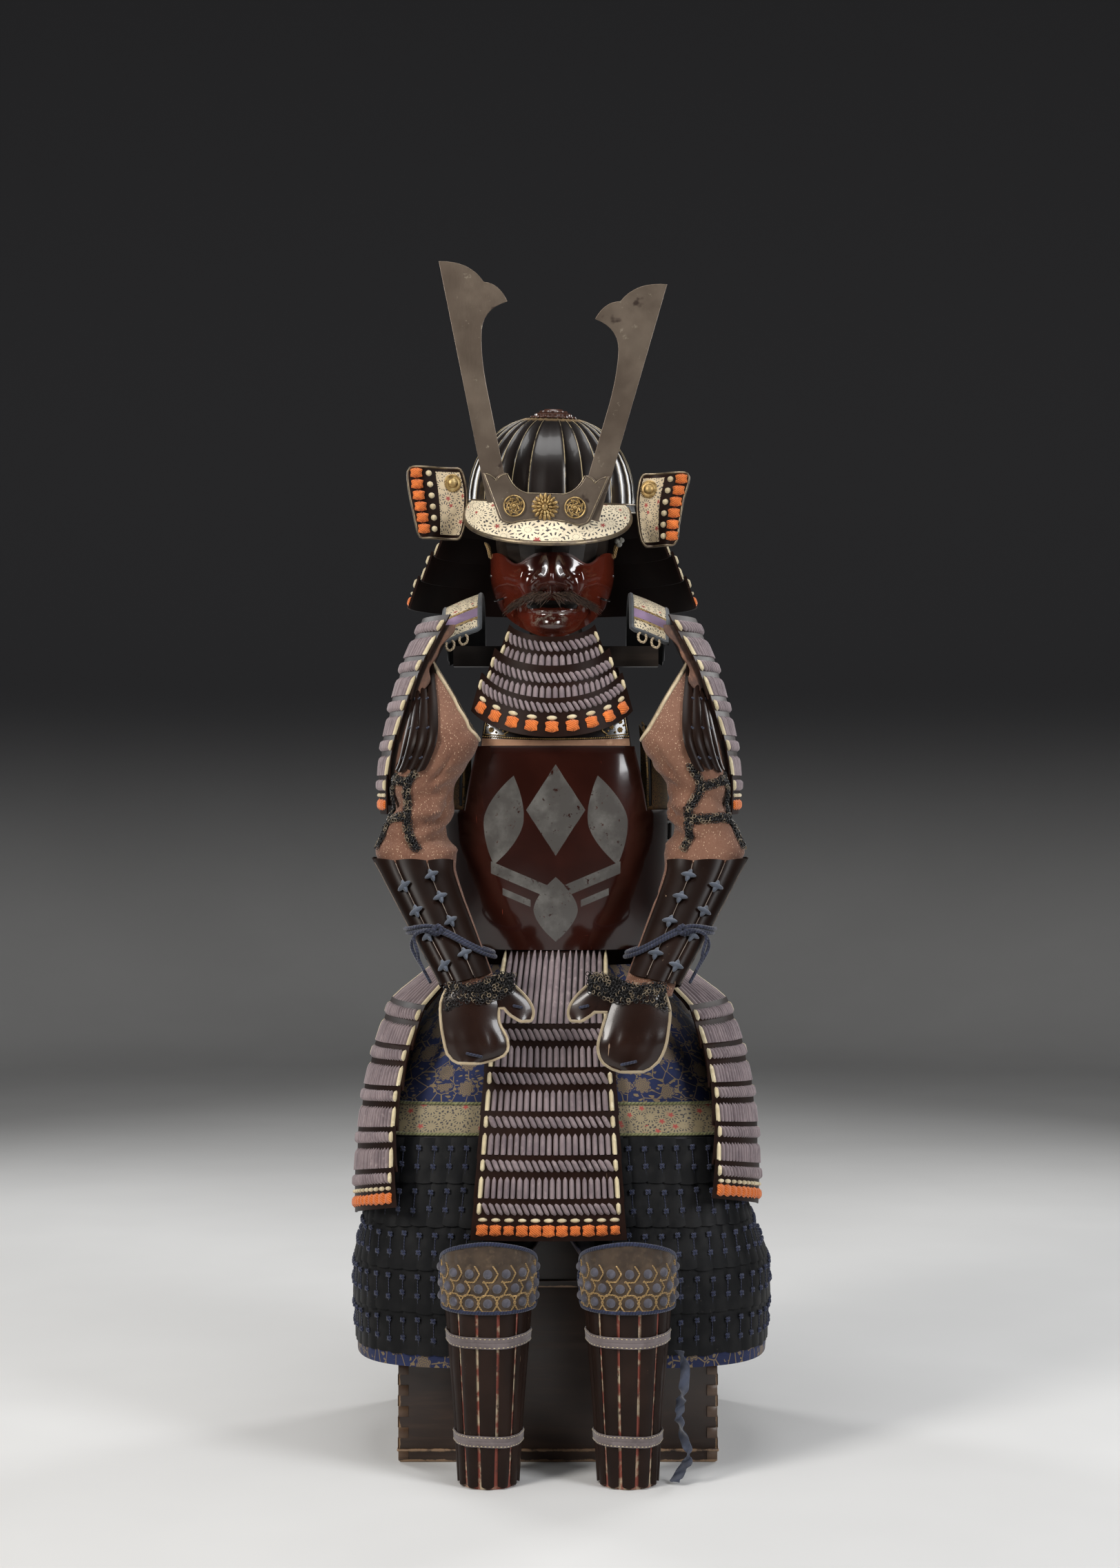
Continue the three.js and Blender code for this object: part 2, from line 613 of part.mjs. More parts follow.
function mask() {
  const across = [
    -1, -0.8, -0.64, -0.5, -0.4, -0.32, -0.24, -0.16, -0.08, 0,
    0.08, 0.16, 0.24, 0.32, 0.4, 0.5, 0.64, 0.8, 1,
  ];
  const up = [0, 0.09, 0.18, 0.27, 0.36, 0.45, 0.52, 0.6, 0.7, 0.82, 0.92, 1];
  const face = solid(wall(maskPoint, across, up, 2.5));
  const mouth = new THREE.Shape();
  mouth.moveTo(-MOUTH.half, MOUTH.low);
  mouth.quadraticCurveTo(0, MOUTH.low + 3, MOUTH.half, MOUTH.low);
  mouth.lineTo(MOUTH.half - 5, MOUTH.high - 1);
  mouth.quadraticCurveTo(0, MOUTH.high + 5, 5 - MOUTH.half, MOUTH.high - 1);
  const cutter = extruded(mouth, 160, 4).translate(MASK.x, 0, 0);
  return geometryOf(face.subtract(solid(cutter)));
}

// The moustache: a low arc of hair over the mouth, laid on the mask.
const MOUSTACHE = { reach: 0.48, middle: 1152.5, droop: 20, off: 4.2, full: 4.5 };
function moustache() {
  const { reach, middle, droop, off, full } = MOUSTACHE;
  const section = (share) => {
    const u = reach * (2 * share - 1);
    const z = middle - droop * pow(abs(2 * share - 1), 2.4);
    const rise = (z - maskLow(u)) / (maskTop(u) - maskLow(u));
    const way = normal(maskPoint, u, rise);
    const root = maskPoint(u, rise).addScaledVector(way, off);
    const thick = full * sqrt(max(1 - pow(2 * share - 1, 4), 0.12));
    return [
      root.clone().add(new THREE.Vector3(0, 0, thick)),
      root.clone().addScaledVector(way, 4).add(new THREE.Vector3(0, 0, thick * 0.6)),
      root.clone().addScaledVector(way, 5).add(new THREE.Vector3(0, 0, -thick * 0.5)),
      root.clone().add(new THREE.Vector3(0, 0, -thick)),
    ];
  };
  const flat = [[0, 1], [1, 0.6], [1.2, -0.5], [0, -1]].map(([x, y]) => new THREE.Vector2(x, y));
  return sweep(shares(12).map(section), flat);
}

// The throat guard's lames hang from the mask, each in front of the one above.
const THROAT = [
  { top: 1096, foot: 1051, topHalf: 66, footHalf: 84, topFront: 108, footFront: 124, rise: 18 },
  { top: 1056, foot: 1007, topHalf: 88, footHalf: 104, topFront: 129, footFront: 141, rise: 26 },
  { top: 1012, foot: 960, topHalf: 108, footHalf: 124, topFront: 146, footFront: 158, rise: 36 },
];
const THROAT_REACH = 62;
function throatPoint(lame, u, v) {
  const turn = rad(THROAT_REACH) * u;
  const half = mix(lame.footHalf, lame.topHalf, v);
  const front = mix(lame.footFront, lame.topFront, v);
  const back = half * 0.82 * (1 - cos(turn));
  const z = mix(lame.foot, lame.top, v) + lame.rise * u * u;
  return new THREE.Vector3(MASK.x + half * sin(turn), back - front, z);
}
function throatLame(lame) {
  const surface = (u, v) => throatPoint(lame, u, v);
  return wall(surface, shares(12).map((share) => 2 * share - 1), shares(1), PLATE + 1);
}

add("mask", mask(), MATERIAL.russetLacquer);
add("moustache", moustache(), MATERIAL.hair);
THROAT.forEach((lame, i) => add(`throat_lame_${i + 1}`, throatLame(lame), MATERIAL.greyLacing));

// ---------------------------------------------------------------- sleeves and their plates
// A point of a sleeve. Turn 0 is the front of the arm, and the outer side is at a quarter turn.
function sleevePoint(side, turn, z, out = 0) {
  const halfX = read(ARM, "z", z, "halfX") + out;
  const halfY = read(ARM, "z", z, "halfY") + out;
  const { x, y } = rim(turn, halfX, halfY, 2.2);
  const middle = side.hand * (-read(ARM, "z", z, "x") + ARM_SHIFT[side.name]);
  return new THREE.Vector3(middle + side.hand * x, read(ARM, "z", z, "y") + y, z);
}

// The sleeve's mouth runs obliquely, from the armpit at its inner side to the shoulder.
function sleeveTop(turn) {
  const inward = (1 - sin(turn)) / 2;
  return mix(SLEEVE.shoulder, SLEEVE.armpit, pow(inward, 1.5));
}

function handed(side, surface) {
  return side.hand > 0 ? surface : (u, v) => surface(1 - u, v);
}

function sleeve(side) {
  const surface = handed(side, (u, v) => {
    const turn = 2 * PI * u;
    return sleevePoint(side, turn, mix(SLEEVE.wrist, sleeveTop(turn), v));
  });
  const up = [0, 0.1, 0.2, 0.3, 0.38, 0.44, 0.5, 0.57, 0.64, 0.73, 0.82, 0.91, 1];
  return wall(surface, shares(22), up, CLOTH, { around: true });
}

// Long plates side by side on a sleeve, made as one wall with a ridge along each plate.
const PLATE_LIFT = 5.2;
function platesOnSleeve(side, { from, to, plates, low, high, lowTilt, ridge }) {
  const surface = handed(side, (u, v) => {
    const turn = mix(rad(from), rad(to), u);
    const z = mix(low + lowTilt * u, high, v);
    return sleevePoint(side, turn, z, PLATE_LIFT + ridge * abs(sin(PI * plates * u)));
  });
  return wall(surface, shares(plates * 4), shares(5), 2.2);
}
const UPPER_SPLINTS = { from: 8, to: 84, plates: 4, low: 916, high: 1060, lowTilt: 0, ridge: 1.5 };
const FOREARM_PLATES = { from: -62, to: 118, plates: 3, low: 652, high: 796, lowTilt: -22, ridge: 2.5 };

const HAND_RIGHT = [
  { z: 537, left: -126, right: -98 },
  { z: 547, left: -139, right: -66 },
  { z: 566, left: -145, right: -60 },
  { z: 590, left: -149, right: -71 },
  { z: 616, left: -149, right: -72 },
  { z: 632, left: -142, right: -80 },
];
const HAND_LEFT = [
  { z: 526, left: 84, right: 112 },
  { z: 536, left: 62, right: 130 },
  { z: 556, left: 53, right: 142 },
  { z: 580, left: 58, right: 147 },
  { z: 605, left: 66, right: 149 },
  { z: 626, left: 74, right: 143 },
];
const THUMB_RIGHT = [
  { z: 590, left: -44, right: -32 },
  { z: 600, left: -60, right: -28 },
  { z: 612, left: -69, right: -31 },
  { z: 625, left: -70, right: -41 },
  { z: 637, left: -74, right: -54 },
];
const THUMB_SHIFT = -12;
function handPlate(rows) {
  const front = (u, z) => -279 + 11 * pow(2 * u - 1, 2) + 0.1 * (z - 580);
  return rowPlate(rows, 6, 2.5, front);
}
function thumbPlate(rows, hand) {
  const front = (u) => {
    const inward = hand < 0 ? u : 1 - u;
    return -266 + 10 * inward * inward;
  };
  return rowPlate(rows, 4, 2.5, front);
}

// The wrist tie: a doubled cord round the forearm, drawn as one plain ring, low on the inner side.
const TIE = { z: 688, slope: 15, radius: 3.5, off: 12.3 };
function wristTie(side) {
  const ring = (share) => {
    const turn = 2 * PI * share;
    const z = TIE.z + TIE.slope * sin(turn);
    return shares(6).slice(0, -1).map((around) => {
      const [out, up] = [TIE.radius * cos(2 * PI * around), TIE.radius * sin(2 * PI * around)];
      return sleevePoint(side, turn, z, TIE.off + out).add(new THREE.Vector3(0, 0, up));
    });
  };
  return sweep(shares(20).slice(0, -1).map(ring), [], true);
}

for (const side of SIDES) {
  const { name, hand } = side;
  add(`sleeve_${name}`, sleeve(side), MATERIAL.fleckCloth);
  add(`upper_splints_${name}`, platesOnSleeve(side, UPPER_SPLINTS), MATERIAL.brownLacquer);
  add(`forearm_plates_${name}`, platesOnSleeve(side, FOREARM_PLATES), MATERIAL.brownLacquer);
  add(`hand_plate_${name}`, handPlate(hand < 0 ? HAND_RIGHT : HAND_LEFT), MATERIAL.brownLacquer);
  const thumb = hand < 0 ? THUMB_RIGHT : mirrored(THUMB_RIGHT, THUMB_SHIFT);
  add(`thumb_plate_${name}`, thumbPlate(thumb, hand), MATERIAL.brownLacquer);
  add(`wrist_tie_${name}`, wristTie(side), MATERIAL.indigoCord);
}

// ---------------------------------------------------------------- laced guards
// The section of a guard of laced lames, from its top to its foot and back up inside: how far out
// and how high. Each lame's upper edge stands proud, and its lacing swells below it.
const LACING = { edge: 3, swell: 6.5, drawn: 1, wall: 3 };
function lamedSection(top, foot, line) {
  const pitch = (top - foot) / LAMES;
  const outer = [];
  for (let lame = 0; lame < LAMES; lame += 1) {
    const high = top - lame * pitch;
    outer.push(
      { out: line(high) + LACING.edge, z: high },
      { out: line(high) + LACING.swell, z: high - 0.32 * pitch },
      { out: line(high - 0.6 * pitch) + LACING.drawn + 1, z: high - 0.6 * pitch },
      { out: line(high - pitch) + (lame < LAMES - 1 ? LACING.drawn : LACING.edge), z: high - pitch },
    );
  }
  const inner = shares(LAMES).reverse().map((share) => {
    const z = mix(top, foot, share);
    return { out: line(z) - LACING.wall, z };
  });
  return [...outer, ...inner];
}

// A guard hangs at a facing angle, bowed round a radius: places a sideways and an outward distance.
function guardPoint(middle, facing, side, out, radius, z) {
  const reach = out - (side * side) / (2 * radius);
  return new THREE.Vector3(
    middle.x + reach * sin(facing) + side * cos(facing),
    middle.y - reach * cos(facing) + side * sin(facing),
    z,
  );
}

// A tasset: waist cords, then five lames, flaring down over the thigh guard.
function tassetPoint(tasset, share, out, z) {
  const { waistX, waistY, topX, topY, footX, footY, topZ, footZ } = tasset;
  const hang = clamp((TASSET.waistZ - z) / (TASSET.waistZ - topZ));
  const fall = clamp((topZ - z) / (topZ - footZ));
  const swell = TASSET.bulge * sin(PI * pow(fall, 0.85));
  const middle = {
    x: mix(mix(waistX, topX, hang), footX, fall),
    y: mix(mix(waistY, topY, hang), footY, fall),
  };
  const spread = mix(tasset.waistWidth, TASSET.topWidth, hang);
  const width = mix(spread, TASSET.footWidth, fall);
  const radius = mix(mix(150, 330, hang), tasset.radius, fall);
  const tilted = z + TASSET.tilt * sin(rad(-tasset.facing)) * share * fall;
  return guardPoint(middle, rad(tasset.facing), (share * width) / 2, out + swell, radius, tilted);
}
function tasset(row) {
  const lames = lamedSection(row.topZ, row.footZ, () => 0);
  const flap = LAMES + 1;
  const outer = lames.slice(0, -flap);
  const inner = lames.slice(-flap);
  const waist = [{ out: 0.5, z: TASSET.waistZ }, { out: LACING.drawn, z: row.topZ + 1 }];
  const section = [...waist, ...outer, ...inner, { out: -LACING.wall, z: TASSET.waistZ }];
  const columns = shares(6).map((share) => 2 * share - 1);
  const rings = columns.map((share) =>
    section.map(({ out, z }) => tassetPoint(row, share, out, z)),
  );
  return sweep(rings, section.map(({ out, z }) => new THREE.Vector2(out, z)));
}

// The wearer's left side, which turns a little more to the front and hangs a little higher.
const leftOf = (row) => ({
  ...row,
  facing: row.facing + TASSET.leftTurn * (row.facing < 90),
  waistX: -row.waistX,
  topX: -row.topX + 7,
  footX: -row.footX,
  footZ: row.footZ + TASSET.leftRise * (row.facing < 90),
});
const rightOf = (row) => ({ ...row, facing: -row.facing });
const [FRONT_TASSET, ...SIDE_TASSETS] = TASSETS;
const ALL_TASSETS = [
  FRONT_TASSET,
  ...SIDE_TASSETS.flatMap((row) => [rightOf(row), leftOf(row)]),
];
ALL_TASSETS.forEach((row, i) => add(`tasset_${i + 1}`, tasset(row), MATERIAL.greyLacing));

// The shoulder guards: five laced lames each, hung beside the shoulders.
const SHOULDER_GUARD = [
  { z: 856, out: 248, radius: 500 },
  { z: 920, out: 248, radius: 400 },
  { z: 989, out: 236, radius: 290 },
  { z: 1059, out: 217, radius: 215 },
  { z: 1126, out: 188, radius: 165 },
];
const SODE = { half: 118, middleY: 6, facing: 89, top: 1126, foot: 856, shift: { left: 10, right: 0 } };
function shoulderGuard(side) {
  const section = lamedSection(SODE.top, SODE.foot, (z) => read(SHOULDER_GUARD, "z", z, "out") - 5);
  const middle = { x: side.hand * SODE.shift[side.name], y: SODE.middleY };
  const rings = shares(8).map((share) =>
    section.map(({ out, z }) => {
      const across = (2 * share - 1) * SODE.half;
      const radius = read(SHOULDER_GUARD, "z", z, "radius");
      return guardPoint(middle, side.hand * rad(SODE.facing), across, out, radius, z);
    }),
  );
  return sweep(rings, section.map(({ out, z }) => new THREE.Vector2(out, z)));
}
for (const side of SIDES) add(`shoulder_guard_${side.name}`, shoulderGuard(side), MATERIAL.greyLacing);

// ---------------------------------------------------------------- thigh guard
function thighPoint(turn, z, out = 0) {
  const spread = turn > 0 ? mix(1, THIGH_GUARD.leftSpread, clamp((360 - z) / 110)) : 1;
  const half = read(THIGH, "z", z, "half") * spread + out;
  const depth = read(THIGH, "z", z, "depth") + out;
  const { x, y } = rim(turn, half, depth, read(THIGH, "z", z, "square"));
  return new THREE.Vector3(x, y, z);
}

// The turn at which a panel's inner edge runs: close at the crotch, parted below.
function innerTurn(z) {
  const parted = clamp((325 - z) / 60);
  return (THIGH_GUARD.inner + 40 * parted) / read(THIGH, "z", z, "depth");
}

function thighPanel(side, low, high, columns, rows, out) {
  const surface = handed(side, (u, v) => {
    const z = mix(low, high, v);
    const turn = mix(innerTurn(z), rad(THIGH_GUARD.back), u);
    return thighPoint(side.hand * turn, z, out(z));
  });
  return wall(surface, shares(columns), rows, CLOTH + 0.5);
}

// The brocade over the thighs, from the waist to the printed band.
function thighCloth(side) {
  const { clothLow, top } = THIGH_GUARD;
  return thighPanel(side, clothLow, top, 14, [0, 0.2, 0.4, 0.6, 0.8, 1], () => 0);
}

// Five rows of plates, each row's foot standing proud of the next one's head.
function thighGuard(side) {
  const { hem, clothLow, rows } = THIGH_GUARD;
  const high = clothLow - GAP;
  const pitch = (high - hem) / rows;
  const levels = [];
  for (let row = 0; row < rows; row += 1) {
    levels.push((row * pitch) / (high - hem), (row * pitch + pitch * 0.96) / (high - hem));
  }
  levels.push(1);
  const out = (z) => {
    const share = clamp((z - hem) / (high - hem)) * rows;
    return 4 * (1 - (share - Math.floor(min(share, rows - 1e-6))));
  };
  return thighPanel(side, hem, high, 14, levels, out);
}
for (const side of SIDES) {
  add(`thigh_cloth_${side.name}`, thighCloth(side), MATERIAL.brocade);
  add(`thigh_guard_${side.name}`, thighGuard(side), MATERIAL.blackLeather);
}

// ---------------------------------------------------------------- shin guards
function shinPoint(name, turn, z, out = 0) {
  const { x, y } = rim(turn, read(SHIN, "z", z, "half") + out, read(SHIN, "z", z, "depth") + out, 2.2);
  return new THREE.Vector3(SHINS[name] + x, SHINS.backY + y, z);
}
const SHIN_REACH = 96;
function shinGuard(name) {
  const ridge = 3;
  const surface = (u, v) => {
    const turn = mix(-rad(SHIN_REACH), rad(SHIN_REACH), u);
    const out = ridge * abs(sin(PI * SHINS.splints * u));
    return shinPoint(name, turn, SHINS.splintTop * v, out - ridge);
  };
  return wall(surface, shares(SHINS.splints * 2), shares(3), 2.5);
}
function kneeFlap(name) {
  const surface = (u, v) => {
    const turn = mix(-rad(SHIN_REACH), rad(SHIN_REACH), u);
    const top = SHINS.flapTop - 22 * pow(abs(2 * u - 1), 2.2);
    return shinPoint(name, turn, mix(SHINS.flapLow, top, v), 2.5 + GAP);
  };
  return wall(surface, shares(14), shares(3), 2.5);
}

// The ribbon that ties the left shin guard, let down beside it to the floor.
const RIBBON = [
  { way: 0, x: 158, y: -292, z: 172 },
  { way: 0.12, x: 166, y: -290, z: 150 },
  { way: 0.2, x: 163, y: -300, z: 126 },
  { way: 0.34, x: 160, y: -288, z: 104 },
  { way: 0.5, x: 158, y: -296, z: 84 },
  { way: 0.62, x: 164, y: -284, z: 60 },
  { way: 0.78, x: 170, y: -292, z: 36 },
  { way: 0.9, x: 160, y: -286, z: 16 },
  { way: 1, x: 152, y: -292, z: 4 },
];
function shinRibbon() {
  const surface = (u, v) => {
    const way = 1 - v;
    const middle = ["x", "y", "z"].map((axis) => read(RIBBON, "way", way, axis));
    return new THREE.Vector3(...middle).add(new THREE.Vector3(9 * (u - 0.5), -14 * (u - 0.5), 0));
  };
  return wall(surface, shares(2), RIBBON.map((row) => row.way), CLOTH);
}
for (const { name } of SIDES) {
  add(`shin_guard_${name}`, shinGuard(name), MATERIAL.brownLacquer);
  add(`knee_flap_${name}`, kneeFlap(name), MATERIAL.suede);
}
add("shin_ribbon", shinRibbon(), MATERIAL.greyTape);

export default armour;
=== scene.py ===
"""Samurai armour on its storage chest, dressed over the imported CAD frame.

Lengths are millimetres until a mesh is made, +Z is up, the wearer faces -Y, and +X is the
wearer's left. Each surface is a function of u, left to right seen from outside, and v, upwards.
"""

import math

import bpy
import numpy as np
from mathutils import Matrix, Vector


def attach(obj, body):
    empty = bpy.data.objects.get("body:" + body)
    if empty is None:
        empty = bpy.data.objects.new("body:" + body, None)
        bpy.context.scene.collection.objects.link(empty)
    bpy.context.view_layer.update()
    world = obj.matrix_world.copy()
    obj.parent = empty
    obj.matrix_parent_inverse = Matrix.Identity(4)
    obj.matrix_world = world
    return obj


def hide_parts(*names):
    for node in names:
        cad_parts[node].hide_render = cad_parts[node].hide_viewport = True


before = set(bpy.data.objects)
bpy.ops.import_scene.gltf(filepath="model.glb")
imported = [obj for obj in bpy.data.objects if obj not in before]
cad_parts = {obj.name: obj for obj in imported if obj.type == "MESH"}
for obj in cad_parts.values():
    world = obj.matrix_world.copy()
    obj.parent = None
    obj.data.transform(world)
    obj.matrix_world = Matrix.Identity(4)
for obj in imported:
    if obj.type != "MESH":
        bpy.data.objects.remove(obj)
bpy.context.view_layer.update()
RNG = np.random.default_rng(7)
PI = math.pi
SIDES = (("right", -1), ("left", 1))

# ------------------------------------------------------------------ camera, floor and light
CAMERA_AT = (0.0058, -3.6, 0.897)
LENS = 39.58


def aim(thing, target):
    """Points a camera or a light at a place."""
    way = Vector(target) - Vector(thing.location)
    thing.rotation_euler = way.to_track_quat("-Z", "Y").to_euler()


def set_camera():
    data = bpy.data.cameras.new("camera")
    data.sensor_fit = "VERTICAL"
    data.sensor_height = 24
    data.lens = LENS
    camera = bpy.data.objects.new("camera", data)
    camera.location = CAMERA_AT
    camera.rotation_euler = (PI / 2, 0, 0)
    bpy.context.collection.objects.link(camera)
    bpy.context.scene.camera = camera


# Soft boxes: name, place, size, watts and colour.
LIGHTS = (
    ("key", (-2.1, -2.3, 2.3), (0.8, 1.6), 92, (1, 0.965, 0.92)),
    ("fill", (2.2, -2.1, 1.9), (0.8, 1.6), 62, (0.97, 0.98, 1)),
    ("top", (0, -0.6, 3.2), (1.6, 1.2), 34, (1, 1, 1)),
    ("rim_right", (-1.9, 1.9, 1.9), (0.7, 1.4), 34, (1, 1, 1)),
    ("rim_left", (1.9, 1.9, 1.9), (0.7, 1.4), 34, (1, 1, 1)),
)
LIT_POINT = (0, 0, 0.9)
ROOM_COLOR, ROOM_STRENGTH = (0.55, 0.57, 0.6, 1), 0.08


def area_light(name, place, size, watts, color):
    data = bpy.data.lights.new(name, "AREA")
    data.shape = "RECTANGLE"
    data.size, data.size_y = size
    data.energy = watts
    data.color = color
    light = bpy.data.objects.new(name, data)
    light.location = place
    aim(light, LIT_POINT)
    bpy.context.collection.objects.link(light)


def set_light():
    """Soft boxes from the upper sides, as in a studio, over a dim even room."""
    world = bpy.data.worlds.new("room")
    world.use_nodes = True
    background = world.node_tree.nodes["Background"]
    background.inputs["Color"].default_value = ROOM_COLOR
    background.inputs["Strength"].default_value = ROOM_STRENGTH
    scene = bpy.context.scene
    scene.world = world
    scene.view_settings.view_transform = "Standard"
    for row in LIGHTS:
        area_light(*row)


# ------------------------------------------------------------------ numbers
def mix(low, high, share):
    return low + (high - low) * share


def clamp(value):
    return np.clip(value, 0, 1)


def bump_at(distance, width):
    """A soft hump of height 1."""
    return np.exp(-((distance / width) ** 2))


def rad(degrees):
    return np.radians(degrees)


def table(names, *rows):
    """A table with named columns. Its first column rises."""
    return {name: np.array(values, float) for name, values in zip(names.split(), zip(*rows))}


def read(rows, at, column):
    """A column of a table at values of its first column, on a smooth curve."""
    keys = next(iter(rows.values()))
    values = rows[column]
    last = len(keys) - 1
    before = np.maximum(np.arange(last + 1) - 1, 0)
    after = np.minimum(np.arange(last + 1) + 1, last)
    slope = (values[after] - values[before]) / (keys[after] - keys[before])
    at = np.asarray(at, float)
    i = np.clip(np.searchsorted(keys, at) - 1, 0, last - 1)
    span = keys[i + 1] - keys[i]
    t = clamp((at - keys[i]) / span)
    line = mix(values[i], values[i + 1], t * t * (3 - 2 * t))
    return line + span * t * (1 - t) * ((1 - t) * slope[i] - t * slope[i + 1])


def rim(turn, half, depth, square=2.0):
    """A point of a rounded outline: turn 0 faces -Y and a quarter turn faces +X."""
    across = (np.abs(np.sin(turn)) / half) ** square
    along = (np.abs(np.cos(turn)) / depth) ** square
    reach = (across + along) ** (-1 / square)
    return reach * np.sin(turn), -reach * np.cos(turn)


def steps(count, low=0.0, high=1.0):
    """Even steps, from 0 to 1 unless it says otherwise."""
    return np.linspace(low, high, count)


def arrays(*values):
    """Numbers and arrays brought to one shape."""
    return np.broadcast_arrays(*(np.asarray(value, float) for value in values))


def points(x, y, z):
    x, y, z = np.broadcast_arrays(x, y, z)
    return np.stack([x, y, z], axis=-1).astype(float)


def unit(vector):
    return vector / np.maximum(np.linalg.norm(vector, axis=-1, keepdims=True), 1e-9)


def level(way):
    """The level direction that runs across a facing direction, to the right seen from outside."""
    return unit(np.cross([0, 0, 1.0], way))


def normal(surface, u, v, step=2e-3):
    across = surface(u + step, v) - surface(u - step, v)
    up = surface(u, v + step) - surface(u, v - step)
    return unit(np.cross(across, up))


def along(surface, u, v, step=1e-3):
    """The direction of rising u."""
    return unit(surface(u + step, v) - surface(u - step, v))


def raised(surface, out):
    """The same surface, moved out by a distance, which may be a function of u and v."""
    def moved(u, v):
        lift = out(u, v) if callable(out) else out
        return surface(u, v) + normal(surface, u, v) * np.asarray(lift, float)[..., None]

    return moved


def polyline_distance(x, z, line):
    """The distance in a plane to a chain of points, and the share of the chain's way."""
    best = np.full(np.shape(x), 1e9)
    way = np.zeros(np.shape(x))
    spans = len(line) - 1
    for i, ((x0, z0), (x1, z1)) in enumerate(zip(line[:-1], line[1:])):
        dx, dz = x1 - x0, z1 - z0
        t = clamp(((x - x0) * dx + (z - z0) * dz) / (dx * dx + dz * dz))
        distance = np.hypot(x - x0 - t * dx, z - z0 - t * dz)
        nearer = distance < best
        best = np.where(nearer, distance, best)
        way = np.where(nearer, (i + t) / spans, way)
    return best, way


def border(face, sides, ends, heights):
    """A closed line round a surface: up its left side, over the top, down its right side, and back."""
    (u, v, tall), (inset, wide), (top, foot) = sides, ends, heights
    up, along = steps(tall, v, 1 - v), steps(wide, inset, 1 - inset)
    return np.concatenate([face(np.full(tall, u), up), face(along, np.full(wide, top)),
                           face(np.full(tall, 1 - u), up[::-1]), face(along[::-1], np.full(wide, foot))])


def smooth_line(line, count):
    """A smooth curve of `count` points through the given ones."""
    line = np.asarray(line, float)
    keys = np.linspace(0, 1, len(line))
    names = [f"c{i}" for i in range(line.shape[1])]
    rows = table("t " + " ".join(names), *[(k, *p) for k, p in zip(keys, line)])
    at = np.linspace(0, 1, count)
    return np.stack([read(rows, at, name) for name in names], axis=-1)


# ------------------------------------------------------------------ meshes
SHARP = 50


def grid_quads(rows, columns):
    """The corner numbers of each cell of a grid of points."""
    index = np.arange(rows * columns).reshape(rows, columns)
    cells = [index[:-1, :-1], index[:-1, 1:], index[1:, 1:], index[1:, :-1]]
    return np.stack(cells, axis=-1).reshape(-1, 4)


def finish_piece(name, mesh, material, replaces, sharp=SHARP):
    """Makes a mesh one piece that rides on the part, and may stand in for nodes of the CAD model."""
    mesh.materials.append(material)
    mesh.set_sharp_from_angle(angle=rad(sharp))
    piece = bpy.data.objects.new(name, mesh)
    bpy.context.collection.objects.link(piece)
    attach(piece, "root")
    if replaces:
        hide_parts(*replaces)
    return piece


